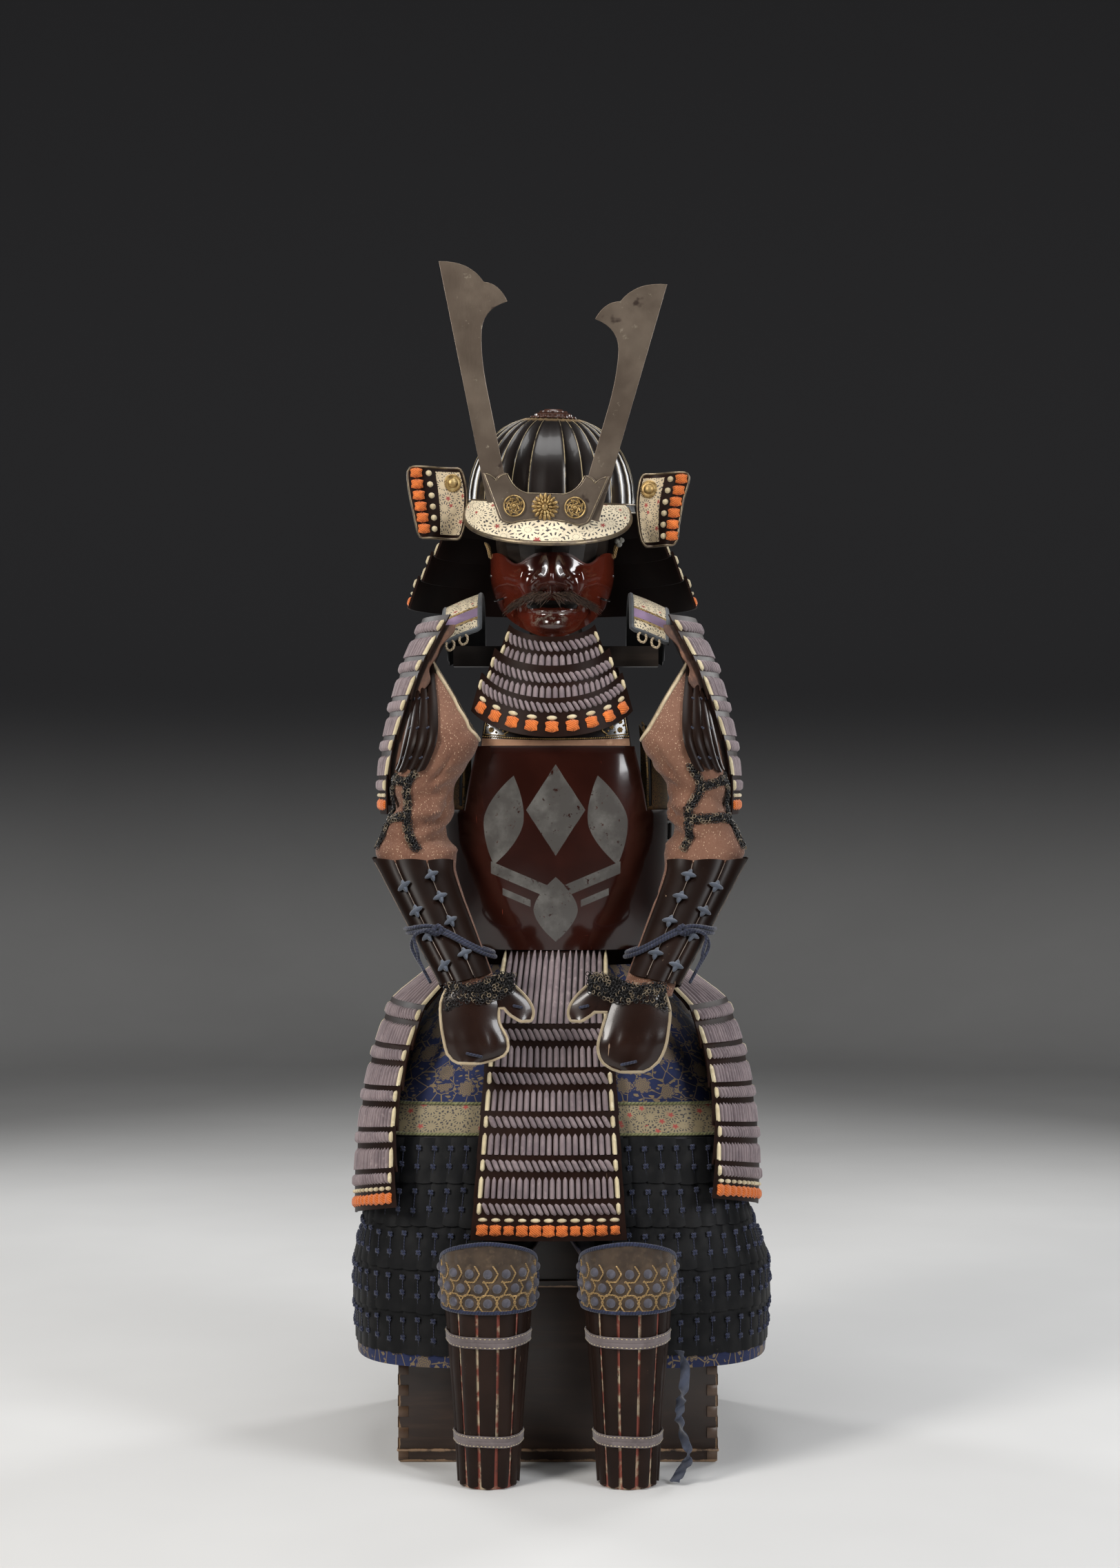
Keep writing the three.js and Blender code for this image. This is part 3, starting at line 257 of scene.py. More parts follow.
class Batch:
    """Gathers quads with texture coordinates, and makes one piece of them."""

    def __init__(self):
        self.places, self.quads, self.maps, self.count = [], [], [], 0

    def add(self, places, quads, maps):
        self.places.append(np.asarray(places, float).reshape(-1, 3))
        self.quads.append(np.asarray(quads, int).reshape(-1, 4) + self.count)
        self.maps.append(np.asarray(maps, float).reshape(-1, 4, 2))
        self.count += len(self.places[-1])
        return self

    def _sheet(self, places, maps, flip=False):
        quads = grid_quads(*places.shape[:2])
        if flip:
            quads = quads[:, ::-1]
        return self.add(places, quads, maps.reshape(-1, 2)[quads])

    def shell(self, surface, us, vs, thick, uv=None, lift=0.0, around=False):
        """A closed wall of even thickness behind a surface, and `lift` proud of it."""
        u, v = np.meshgrid(us, vs)
        outer = surface(u, v)
        way = normal(surface, u, v)
        lift = np.asarray(lift(u, v) if callable(lift) else lift, float)
        thick = np.asarray(thick(u, v) if callable(thick) else thick, float)
        front = outer + way * lift[..., None]
        back = front - way * thick[..., None]
        maps = np.stack(uv(u, v) if uv else (u, v), axis=-1)
        rows, columns = u.shape
        if around:
            front, back = front[:, :-1], back[:, :-1]
        wide = front.shape[1]
        total = rows * wide

        def at(side, i, j):
            return side * total + i * wide + j % wide

        i, j = np.meshgrid(np.arange(rows - 1), np.arange(columns - 1), indexing="ij")
        i, j = i.ravel(), j.ravel()
        corners = [(i, j), (i, j + 1), (i + 1, j + 1), (i + 1, j)]
        quads = [np.stack([at(0, a, b) for a, b in corners], -1)]
        quads.append(np.stack([at(1, a, b) for a, b in corners[::-1]], -1))
        face_maps = [np.stack([maps[a, b] for a, b in corners], 1)]
        face_maps.append(np.stack([maps[a, b] for a, b in corners[::-1]], 1))
        j, end = np.arange(columns - 1), rows - 1
        edges = [[(1, 0, j), (1, 0, j + 1), (0, 0, j + 1), (0, 0, j)],
                 [(0, end, j), (0, end, j + 1), (1, end, j + 1), (1, end, j)]]
        if not around:
            i = np.arange(rows - 1)
            last = columns - 1
            edges.append([(0, i + 1, 0), (1, i + 1, 0), (1, i, 0), (0, i, 0)])
            edges.append([(0, i, last), (1, i, last), (1, i + 1, last), (0, i + 1, last)])
        for edge in edges:
            cells = [np.broadcast_arrays(np.asarray(a), np.asarray(b)) for _, a, b in edge]
            sides = [side for side, _, _ in edge]
            quads.append(np.stack([at(s, a, b) for s, (a, b) in zip(sides, cells)], -1))
            face_maps.append(np.stack([maps[a, b] for a, b in cells], 1))
        return self.add(
            np.concatenate([front.reshape(-1, 3), back.reshape(-1, 3)]),
            np.concatenate(quads),
            np.concatenate(face_maps),
        )

    def tube(self, line, radius, sides=8, closed=False, squash=1.0):
        """A round cord along a line of points. The radius may change along it."""
        line = np.asarray(line, float)
        count = len(line)
        radius = np.broadcast_to(np.asarray(radius, float), (count,))
        if closed:
            along = unit(np.roll(line, -1, 0) - np.roll(line, 1, 0))
        else:
            along = unit(np.gradient(line, axis=0))
        side = np.zeros_like(line)
        guess = np.array([0.0, 0.0, 1.0]) if abs(along[0][2]) < 0.9 else np.array([1.0, 0, 0])
        previous = unit(np.cross(guess, along[0]))
        for k in range(count):
            previous = unit(previous - along[k] * np.dot(previous, along[k]))
            side[k] = previous
        other = np.cross(along, side)
        turn = steps(sides + 1, 0, 2 * PI)
        ring = (
            line[:, None]
            + side[:, None] * (np.cos(turn) * radius[:, None])[..., None]
            + other[:, None] * (np.sin(turn) * radius[:, None] * squash)[..., None]
        )
        step = np.r_[0, np.cumsum(np.linalg.norm(np.diff(line, axis=0), axis=1))]
        maps = np.stack(np.meshgrid(turn / (2 * PI), step / 1000), axis=-1)
        if closed:
            ring = np.concatenate([ring, ring[:1]])
            maps = np.concatenate([maps, maps[-1:] + maps[1:2] - maps[:1]])
        else:
            tips = [line[0] - along[0] * radius[0] * 0.5, line[-1] + along[-1] * radius[-1] * 0.5]
            first = np.broadcast_to(tips[0], ring[:1].shape) * 0.92 + ring[:1] * 0.08
            last = np.broadcast_to(tips[1], ring[:1].shape) * 0.92 + ring[-1:] * 0.08
            ring = np.concatenate([first, ring, last])
            maps = np.concatenate([maps[:1], maps, maps[-1:]])
        return self._sheet(ring, maps)

    def scatter(self, shape, at, across, up, out):
        """Copies of a shape (a grid of points and its map) at many frames."""
        grid, maps = shape
        rows, columns = grid.shape[:2]
        at, across, up, out = (np.asarray(a, float).reshape(-1, 3) for a in (at, across, up, out))
        flat = grid.reshape(-1, 3)
        places = (
            at[:, None]
            + flat[None, :, :1] * across[:, None]
            + flat[None, :, 1:2] * up[:, None]
            + flat[None, :, 2:] * out[:, None]
        )
        quads = grid_quads(rows, columns)
        every = quads[None] + (np.arange(len(at)) * rows * columns)[:, None, None]
        cells = np.broadcast_to(maps.reshape(-1, 2)[quads], (len(at), len(quads), 4, 2))
        return self.add(places, every, cells)

    def put(self, shape, at, across, way, size):
        """Copies of a shape on a surface that faces a way: its width, height and thickness."""
        return self.scatter(shape, at, across * size[0], np.cross(way, across) * size[1], way * size[2])

    def make(self, name, material, slot, replaces=()):
        """The gathered quads as one piece that rides on the part."""
        places = np.concatenate(self.places) / 1000
        quads = np.concatenate(self.quads)
        maps = np.concatenate(self.maps).reshape(-1, 2)
        mesh = bpy.data.meshes.new(name)
        mesh.vertices.add(len(places))
        mesh.vertices.foreach_set("co", places.ravel().astype(np.float32))
        mesh.loops.add(len(quads) * 4)
        mesh.loops.foreach_set("vertex_index", quads.ravel().astype(np.int32))
        mesh.polygons.add(len(quads))
        mesh.polygons.foreach_set("loop_start", np.arange(len(quads), dtype=np.int32) * 4)
        mesh.polygons.foreach_set("use_smooth", np.ones(len(quads), bool))
        layer = mesh.uv_layers.new(name="uv")
        layer.data.foreach_set("uv", maps.ravel().astype(np.float32))
        mesh.update(calc_edges=True)
        mesh.validate()
        return finish_piece(name, mesh, material, replaces)


def dome(rows=7, columns=7, outline=2.0, ends=2.0, corner=0.0):
    """A low pillow on a unit square: its shape and map, for scatter."""
    a = np.linspace(-1, 1, columns)
    b = np.linspace(-1, 1, rows)
    x, y = np.meshgrid(a, b)
    reach = (1 - np.abs(y) ** ends * 0.93) ** (1 / outline)
    height = np.sqrt(np.maximum(1 - x * x, 0)) * np.sqrt(np.maximum(1 - np.abs(y) ** 3, 0))
    swell = 1 + corner * (x * x * y * y) ** 0.5
    return np.stack([x * reach * swell, y * swell, height], -1), np.stack([x / 2, y / 2], -1)


def ball(rows=7, columns=10):
    """The upper part of a ball over a unit circle, as a polar grid."""
    turn = np.linspace(0, 2 * PI, columns + 1)
    rise = np.linspace(0.02, 1, rows)
    t, r = np.meshgrid(turn, rise)
    height = np.sqrt(np.maximum(1 - r * r, 0))
    grid = np.stack([r * np.sin(t), -r * np.cos(t), height], -1)
    return grid[::-1], np.stack([t / (2 * PI), r], -1)[::-1]


LACE_ROWS, LACE_COLUMNS = 8, 6
TIP = 0.22  # the share of a lace's length over which its end rounds off


def laces(batch, surface, centres, half, low, high, thick, lean=0.0, point="round", jitter=0.0):
    """Cords laid side by side on a surface, from v low to v high, each a low rounded strip."""
    centres = np.atleast_1d(np.asarray(centres, float))
    count = len(centres)
    a = steps(LACE_COLUMNS, -1)[None, None, :]
    b = steps(LACE_ROWS)[None, :, None]
    top, foot = clamp((1 - b) / TIP), clamp(b / TIP)
    head = np.sqrt(1 - (1 - top) ** 2 * 0.92)
    tail = np.sqrt(1 - (1 - foot) ** 2 * 0.92) if point == "round" else np.ones_like(b)
    ragged = 1 + jitter * RNG.normal(0, 1, (count, 1, 1))
    swing = jitter * RNG.normal(0, 0.5, (count, 1, 1)) * half
    u = centres[:, None, None] + half * ragged * a * head * tail + lean * (0.5 - b) + swing * (b - 1)
    low = np.broadcast_to(np.asarray(low, float), (count,))[:, None, None]
    high = np.broadcast_to(np.asarray(high, float), (count,))[:, None, None]
    high = high + jitter * RNG.normal(0, 0.15, (count, 1, 1)) * (high - low)
    v = np.broadcast_to(low + (high - low) * b, u.shape)
    ends = np.sqrt(np.clip(top * (1 if point != "round" else foot), 0, 1))
    height = thick * ragged * np.sqrt(np.maximum(1 - a * a, 0)) * mix(0.15, 1.0, ends) * np.ones_like(u)
    places = surface(u, v) + normal(surface, u, v) * (height - 0.4)[..., None]
    quads = grid_quads(LACE_ROWS, LACE_COLUMNS)
    every = quads[None] + (np.arange(count) * LACE_ROWS * LACE_COLUMNS)[:, None, None]
    map_a = np.broadcast_to(a, u.shape) / 2
    maps = np.stack([map_a, np.broadcast_to(b, u.shape)], -1).reshape(count, -1, 2)
    batch.add(places, every, maps[:, quads])


# ------------------------------------------------------------------ materials
def operation(name, swapped=False):
    """A method of Field that makes one maths node."""
    def apply(self, *others):
        values = (*others, self) if swapped else (self, *others)
        return self.paint.math(name, *values)

    return apply


class Field:
    """A value that varies over a surface: a shader socket that can be added, multiplied and so on."""

    def __init__(self, paint, socket):
        self.paint, self.socket = paint, socket

    __add__, __radd__ = operation("ADD"), operation("ADD", True)
    __sub__, __rsub__ = operation("SUBTRACT"), operation("SUBTRACT", True)
    __mul__, __rmul__ = operation("MULTIPLY"), operation("MULTIPLY", True)
    __truediv__, __mod__, __pow__ = operation("DIVIDE"), operation("MODULO"), operation("POWER")
    __abs__, sine, root, fraction = (operation(name) for name in ("ABSOLUTE", "SINE", "SQRT", "FRACT"))


class Paint:
    """A procedural material. Positions are metres in the part's frame, or the piece's own map."""

    def __init__(self, name, color, rough, metal=0.0, coat=0.0, coat_rough=0.06, sheen=0.0, level=0.5):
        self.material = bpy.data.materials.new(name)
        self.material.use_nodes = True
        self.tree = self.material.node_tree
        self.shader = self.tree.nodes["Principled BSDF"]
        for key, value in (
            ("Base Color", (*color, 1)), ("Roughness", rough), ("Metallic", metal),
            ("Coat Weight", coat), ("Coat Roughness", coat_rough), ("Sheen Weight", sheen),
            ("Specular IOR Level", level),
        ):
            self.shader.inputs[key].default_value = value
        self.color = None
        coordinates = self.add("TexCoord")
        self.place, self.map = (Field(self, coordinates.outputs[key]) for key in ("Object", "UV"))

    def add(self, kind, **settings):
        node = self.tree.nodes.new("ShaderNode" + kind)
        for key, value in settings.items():
            setattr(node, key, value)
        return node

    def put(self, node, key, value):
        if isinstance(value, Field):
            self.tree.links.new(value.socket, node.inputs[key])
        elif value is not None:
            node.inputs[key].default_value = value

    def math(self, operation, a, b=None, c=None):
        node = self.add("Math", operation=operation)
        for i, value in enumerate((a, b, c)):
            self.put(node, i, value)
        return Field(self, node.outputs[0])

    def noise(self, scale, detail=3.0, rough=0.55, at=None, warp=0.0):
        node = self.add("TexNoise")
        self.put(node, "Vector", self.place if at is None else at)
        for key, value in (("Scale", scale), ("Detail", detail), ("Roughness", rough), ("Distortion", warp)):
            node.inputs[key].default_value = value
        return Field(self, node.outputs["Fac"])

    def cells(self, scale, feature="F1", out="Distance", at=None, jitter=1.0):
        node = self.add("TexVoronoi", feature=feature)
        self.put(node, "Vector", self.place if at is None else at)
        node.inputs["Scale"].default_value = scale
        node.inputs["Randomness"].default_value = jitter
        return Field(self, node.outputs[out])

    def polar(self, at, scale, jitter=1.0):
        """The distance and the angle from the middle of the nearest cell."""
        offset = self.add("VectorMath", operation="SUBTRACT")
        self.put(offset, 1, self.cells(scale, out="Position", at=at, jitter=jitter))
        self.put(offset, 0, at)
        x, y, _ = self.parts(Field(self, offset.outputs[0]))
        return (x * x + y * y).root(), self.math("ARCTAN2", y, x)

    def stretched(self, at, scale, move=(0, 0, 0), turn=(0, 0, 0)):
        node = self.add("Mapping")
        self.put(node, "Vector", at)
        node.inputs["Scale"].default_value = scale
        node.inputs["Location"].default_value = move
        node.inputs["Rotation"].default_value = turn
        return Field(self, node.outputs[0])

    def parts(self, vector):
        node = self.add("SeparateXYZ")
        self.put(node, 0, vector)
        return [Field(self, output) for output in node.outputs]

    def step(self, value, low, high):
        """0 below low and 1 above high, or the other way round."""
        node = self.add("MapRange", interpolation_type="SMOOTHSTEP")
        self.put(node, "Value", value)
        flipped = low > high
        node.inputs["From Min"].default_value = min(low, high)
        node.inputs["From Max"].default_value = max(low, high)
        node.inputs["To Min"].default_value = 1 if flipped else 0
        node.inputs["To Max"].default_value = 0 if flipped else 1
        return Field(self, node.outputs[0])

    def both(self, *masks):
        out = masks[0]
        for mask in masks[1:]:
            out = out * mask
        return out

    def either(self, *masks):
        out = masks[0]
        for mask in masks[1:]:
            out = self.math("MAXIMUM", out, mask)
        return out

    def tint(self, share, color):
        """Lays a colour over the present one, by a share."""
        node = self.add("Mix", data_type="RGBA")
        self.put(node, 0, share)
        below = self.color or tuple(self.shader.inputs["Base Color"].default_value)
        self.put(node, 6, below)
        self.put(node, 7, (*color, 1))
        self.color = Field(self, node.outputs[2])
        return self

    def vary(self, share, low, high, key="Roughness"):
        node = self.add("MapRange")
        self.put(node, "Value", share)
        node.inputs["To Min"].default_value = low
        node.inputs["To Max"].default_value = high
        self.put(self.shader, key, Field(self, node.outputs[0]))
        return self

    def relief(self, height, distance, strength=1.0):
        """Bump of a height in shares of a distance in millimetres."""
        node = self.add("Bump")
        self.put(node, "Height", height)
        node.inputs["Distance"].default_value = distance / 1000
        node.inputs["Strength"].default_value = strength
        self.put(self.shader, "Normal", Field(self, node.outputs[0]))
        return self

    def done(self):
        if self.color is not None:
            self.put(self.shader, "Base Color", self.color)
        return self.material


def lacquer(name, color, worn, rough=0.16, chips=0.35, coat=0.6, level=0.5):
    """Lacquer over iron: a deep gloss, cloudy in places, with chips and fine scratches."""
    p = Paint(name, color, rough, coat=coat, level=level)
    cloud = p.noise(14, 4)
    p.tint(p.step(cloud, 0.35, 0.75), tuple(c * 1.7 for c in color))
    chip = p.step(p.noise(190, 5, 0.7), 0.69, 0.73)
    region = p.step(p.noise(22, 2), 0.5, 0.66)
    scratch = p.step(p.noise(160, 3, at=p.stretched(p.place, (1, 1, 0.12))), 0.70, 0.74)
    p.tint(p.both(p.either(chip, scratch), region) * chips, worn)
    p.vary(p.noise(9, 4), rough * 0.7, rough * 1.7)
    p.relief(p.noise(30, 3) + chip * -0.5, 0.5, 0.35)
    return p


def bronze_paint():
    """Dull gilt bronze, browned and scratched, with lighter spots."""
    p = Paint("aged_bronze", (0.125, 0.095, 0.072), 0.42, metal=0.75)
    p.tint(p.step(p.noise(11, 5), 0.4, 0.68), (0.19, 0.15, 0.115))
    p.tint(p.step(p.noise(75, 4, 0.7), 0.63, 0.72), (0.28, 0.235, 0.18))
    p.tint(p.step(p.noise(32, 3), 0.66, 0.74), (0.06, 0.042, 0.034))
    p.vary(p.noise(28, 4), 0.32, 0.58)
    p.relief(p.noise(330, 4, at=p.stretched(p.place, (1, 1, 0.2))), 0.25, 0.4)
    return p.done()


def gilt_paint():
    """Worn gilding, dark in its hollows."""
    p = Paint("worn_gilt", (0.4, 0.275, 0.115), 0.38, metal=0.9)
    p.tint(p.step(p.noise(160, 4), 0.45, 0.7), (0.16, 0.1, 0.04))
    p.tint(p.step(p.noise(60, 3), 0.58, 0.7), (0.55, 0.42, 0.2))
    p.vary(p.noise(120, 3), 0.4, 0.6)
    p.relief(p.noise(500, 3), 0.2, 0.4)
    return p.done()


def silver_edge_paint():
    p = Paint("worn_metal_edge", (0.22, 0.175, 0.115), 0.4, metal=0.85)
    p.tint(p.step(p.noise(90, 4), 0.45, 0.65), (0.14, 0.11, 0.085))
    p.relief(p.noise(400, 3), 0.2, 0.4)
    return p.done()


def printed_leather(name, ground=(0.62, 0.53, 0.37), scale=48.0, rosettes=True):
    """Printed leather: dark dashes in rings round many centres, and a few red rosettes."""
    p = Paint(name, ground, 0.62, sheen=0.1)
    p.tint(p.step(p.noise(40, 4), 0.4, 0.75), tuple(c * 0.78 for c in ground))
    at = p.stretched(p.map, (1, 1, 0))
    radius, angle = p.polar(at, scale)
    ring = (radius * (scale * 19.0)).sine()
    spokes = angle * 13.0 + radius * 120.0
    dash = p.both(p.step(ring, -0.35, -0.1), p.step(spokes.sine(), 0.25, 0.55),
                  p.step(radius, 0.0028, 0.0034))
    dot = p.step(p.cells(300, at=at), 0.17, 0.11)
    worn = p.step(p.noise(120, 4), 0.28, 0.38)
    p.tint(p.both(p.either(dash, dot * 0.75), worn), (0.03, 0.026, 0.03))
    if rosettes:
        chance = p.parts(p.cells(scale, out="Color", at=at))[0]
        petal = (angle * 5.0).sine() * 0.0009
        red = p.step(radius + petal, 0.0031, 0.0025)
        p.tint(p.both(red, p.step(chance, 0.55, 0.57)), (0.3, 0.045, 0.035))
    p.relief(p.noise(900, 3), 0.25, 0.5)
    return p.done()


def lacing_paint(name, color, shade, light, grain=1.0):
    """Braided silk cord with a suede-like nap, faded in patches, with painted shade along each cord's sides.
    """
    p = Paint(name, color, 0.85, sheen=0.3, level=0.3)
    p.tint(p.step(p.noise(34, 3), 0.38, 0.66), shade)
    p.tint(p.both(p.step(p.noise(130, 3), 0.5, 0.75), p.step(p.noise(12, 2), 0.3, 0.7)), light)
    # Painted shade: each cord is darkened towards its sides, where it dips between its neighbours.
    edge = p.step(abs(p.parts(p.map)[0]), 0.24, 0.5)
    p.tint(edge * 0.55, tuple(c * 0.35 for c in color))
    p.relief(p.noise(1500, 3, 0.7), 0.35 * grain, 0.55)
    return p.done()


def knot_paint(name, color, shade):
    """Thick cord in diagonal strands, with painted shade in the grooves between them."""
    p = Paint(name, color, 0.8, sheen=0.2, level=0.3)
    u, v, _ = p.parts(p.map)
    slant = u * 0.8 + v
    strand = (slant * 30.0).sine()
    # Painted shade: the grooves between the strands, low in the relief, are darkened.
    p.tint(p.step(strand, -0.2, -0.9), shade)
    # Painted shade: the forward middle of the mask, nose to chin, is darkened in clouds.
    p.tint(p.step(p.noise(90, 3), 0.5, 0.7), tuple(min(1, c * 1.15) for c in color))
    p.relief(strand + p.noise(900, 2) * 0.6, 0.35, 0.7)
    return p.done()


ONE_TURN = 6.28


def plain_cord_paint(name, color, strands=220.0):
    """A twisted cord: strands run slantwise along its length, with painted shade in the grooves between them.
    """
    p = Paint(name, color, 0.85, sheen=0.25, level=0.3)
    u, v, _ = p.parts(p.map)
    twist = (v * (strands * ONE_TURN) + u * 12.566).sine()
    # Painted shade: the low grooves of the twist are darkened.
    p.tint(p.step(twist, 0.1, -0.9), tuple(c * 0.45 for c in color))
    p.tint(p.step(p.noise(150, 3), 0.55, 0.75), tuple(min(1, c * 1.5 + 0.01) for c in color))
    p.relief(twist, 0.3, 0.7)
    return p.done()


def fleck_cloth():
    """Brown hemp cloth with pale slubs, its weave fine and uneven."""
    p = Paint("fleck_cloth", (0.2, 0.098, 0.062), 0.92, sheen=0.15, level=0.2)
    p.tint(p.step(p.noise(16, 4), 0.35, 0.7), (0.15, 0.068, 0.043))
    p.tint(p.step(p.noise(520, 2), 0.45, 0.7) * 0.5, (0.25, 0.135, 0.09))
    slub = p.stretched(p.place, (1, 1, 0.55), turn=(0, 0.6, 0))
    p.tint(p.step(p.cells(360, at=slub), 0.23, 0.15), (0.5, 0.34, 0.23))
    x, y, z = p.parts(p.place)
    weft = (z * 5600.0).sine()
    warp = ((x + y) * 5600.0).sine()
    p.relief(weft * warp + p.noise(600, 3), 0.25, 0.6)
    return p.done()


def brocade_paint():
    """Blue silk brocade: large flowers, leaves and tendrils in dull gold."""
    p = Paint("brocade", (0.011, 0.017, 0.06), 0.7, sheen=0.1, level=0.25)
    p.tint(p.step(p.noise(10, 3), 0.4, 0.7), (0.017, 0.027, 0.09))
    at = p.stretched(p.map, (1, 1, 0))
    radius, angle = p.polar(at, 27.0, jitter=0.75)
    scallop = abs((angle * 4.5).sine())
    edge = radius + scallop * -0.0024
    flower = p.step(edge, 0.0084, 0.0079)
    vein = (edge * 2700.0 + scallop * 2.0).sine()
    outline = p.step(vein, 0.5, 0.75)
    leaf_at = p.stretched(p.map, (1, 1.7, 0), turn=(0, 0, 0.7))
    leaf_edge = p.cells(125.0, feature="DISTANCE_TO_EDGE", at=leaf_at)
    leaf_pick = p.parts(p.cells(125.0, out="Color", at=leaf_at))[0]
    leaf = p.both(p.step(leaf_edge, 0.17, 0.22), p.step(leaf_pick, 0.42, 0.44))
    tendril_at = p.stretched(p.map, (1, 1, 0), move=(0.3, 0.1, 0))
    tendril_edge = p.cells(58.0, feature="DISTANCE_TO_EDGE", at=tendril_at)
    tendril = p.step(tendril_edge, 0.035, 0.02)
    clear = p.step(edge, 0.0090, 0.0096)
    gold = p.either(p.both(flower, 1.0 - outline * 0.85),
                    p.both(clear, p.either(leaf, tendril)))
    thread = (p.parts(p.map)[1] * 7600.0).sine()
    p.tint(gold * 0.95, (0.2, 0.145, 0.08))
    p.tint(p.both(gold, p.step(p.noise(26, 3), 0.5, 0.72)), (0.13, 0.1, 0.062))
    p.relief(gold * 1.6 + thread * 0.5, 0.22, 0.7)
    return p.done()


def black_leather_paint():
    """Thin lacquered leather plates, dull and slightly creased."""
    p = Paint("black_leather", (0.0065, 0.0068, 0.0075), 0.46, level=0.13)
    p.tint(p.step(p.noise(40, 4), 0.4, 0.7), (0.0125, 0.0125, 0.013))
    p.tint(p.both(p.step(p.noise(260, 4, 0.7), 0.66, 0.72), p.step(p.noise(18, 2), 0.5, 0.6)),
           (0.08, 0.07, 0.06))
    p.vary(p.noise(22, 3), 0.36, 0.62)
    p.relief(p.noise(120, 4), 0.5, 0.4)
    return p.done()


def wood_paint(name, color, light, worn, edges=()):
    """Lacquered boards: long grain, and worn pale along the given edges."""
    p = Paint(name, color, 0.42, coat=0.15, coat_rough=0.3)
    grain = p.noise(26, 6, 0.6, at=p.stretched(p.place, (0.25, 0.25, 3.2)), warp=0.4)
    p.tint(p.step(grain, 0.42, 0.66), light)
    p.tint(p.step(p.noise(7, 3), 0.45, 0.75), tuple(c * 0.6 for c in color))
    x, y, z = p.parts(p.place)
    rub = p.noise(55, 5, 0.65)
    near = []
    for axis, places in edges:
        close = [p.step(abs((x, y, z)[axis] - where / 1000), width / 1000, 0.0)
                 for where, width in places]
        near.append(p.either(*close))
    if near:
        a, b, c = near
        edge = p.either(p.both(a, b), p.both(b, c), p.both(a, c))
        p.tint(p.step(edge * 0.62 + rub, 0.86, 1.02), worn)
    p.vary(grain, 0.35, 0.6)
    p.relief(grain, 0.5, 0.35)
    return p.done()


RUSSET = (0.0175, 0.0042, 0.0027)
BROWN = (0.012, 0.0055, 0.004)
BLACK = (0.0085, 0.0065, 0.0062)
CREAM = (0.66, 0.56, 0.36)
ORANGE = (0.68, 0.17, 0.03)
GREY = (0.235, 0.182, 0.19)


M_LACING = lacing_paint("grey_lacing", GREY, (0.165, 0.125, 0.135), (0.33, 0.265, 0.265))
M_LINING_LEATHER = lacing_paint("lining_leather", (0.16, 0.066, 0.033), (0.075, 0.032, 0.018),
                                (0.27, 0.125, 0.068), 1.5)
M_CREAM = lacing_paint("cream_cord", CREAM, (0.5, 0.41, 0.25), (0.8, 0.72, 0.52))
M_ORANGE = knot_paint("orange_cord", ORANGE, (0.4, 0.075, 0.012))
M_BROWN = lacquer("brown_lacquer", BROWN, (0.3, 0.2, 0.13), rough=0.26, coat=0.2, level=0.35).done()
M_LAME = lacquer("lame_lacquer", BROWN, (0.24, 0.16, 0.11), rough=0.36, coat=0.0, level=0.07).done()

# ------------------------------------------------------------------ laced guards
LAMES = 5
DOME = dome()
KNOT = dome(9, 9, outline=1.0, ends=9.0, corner=0.28)
# The bare edge above a rope lace, a rope lace's height, the gap below it, and the laces' pitch.
EDGE, ROPE, GAP_BELOW, LACE_PITCH = 7.0, 15.0, 6.5, 8.5
KNOT_PITCH = 16.5


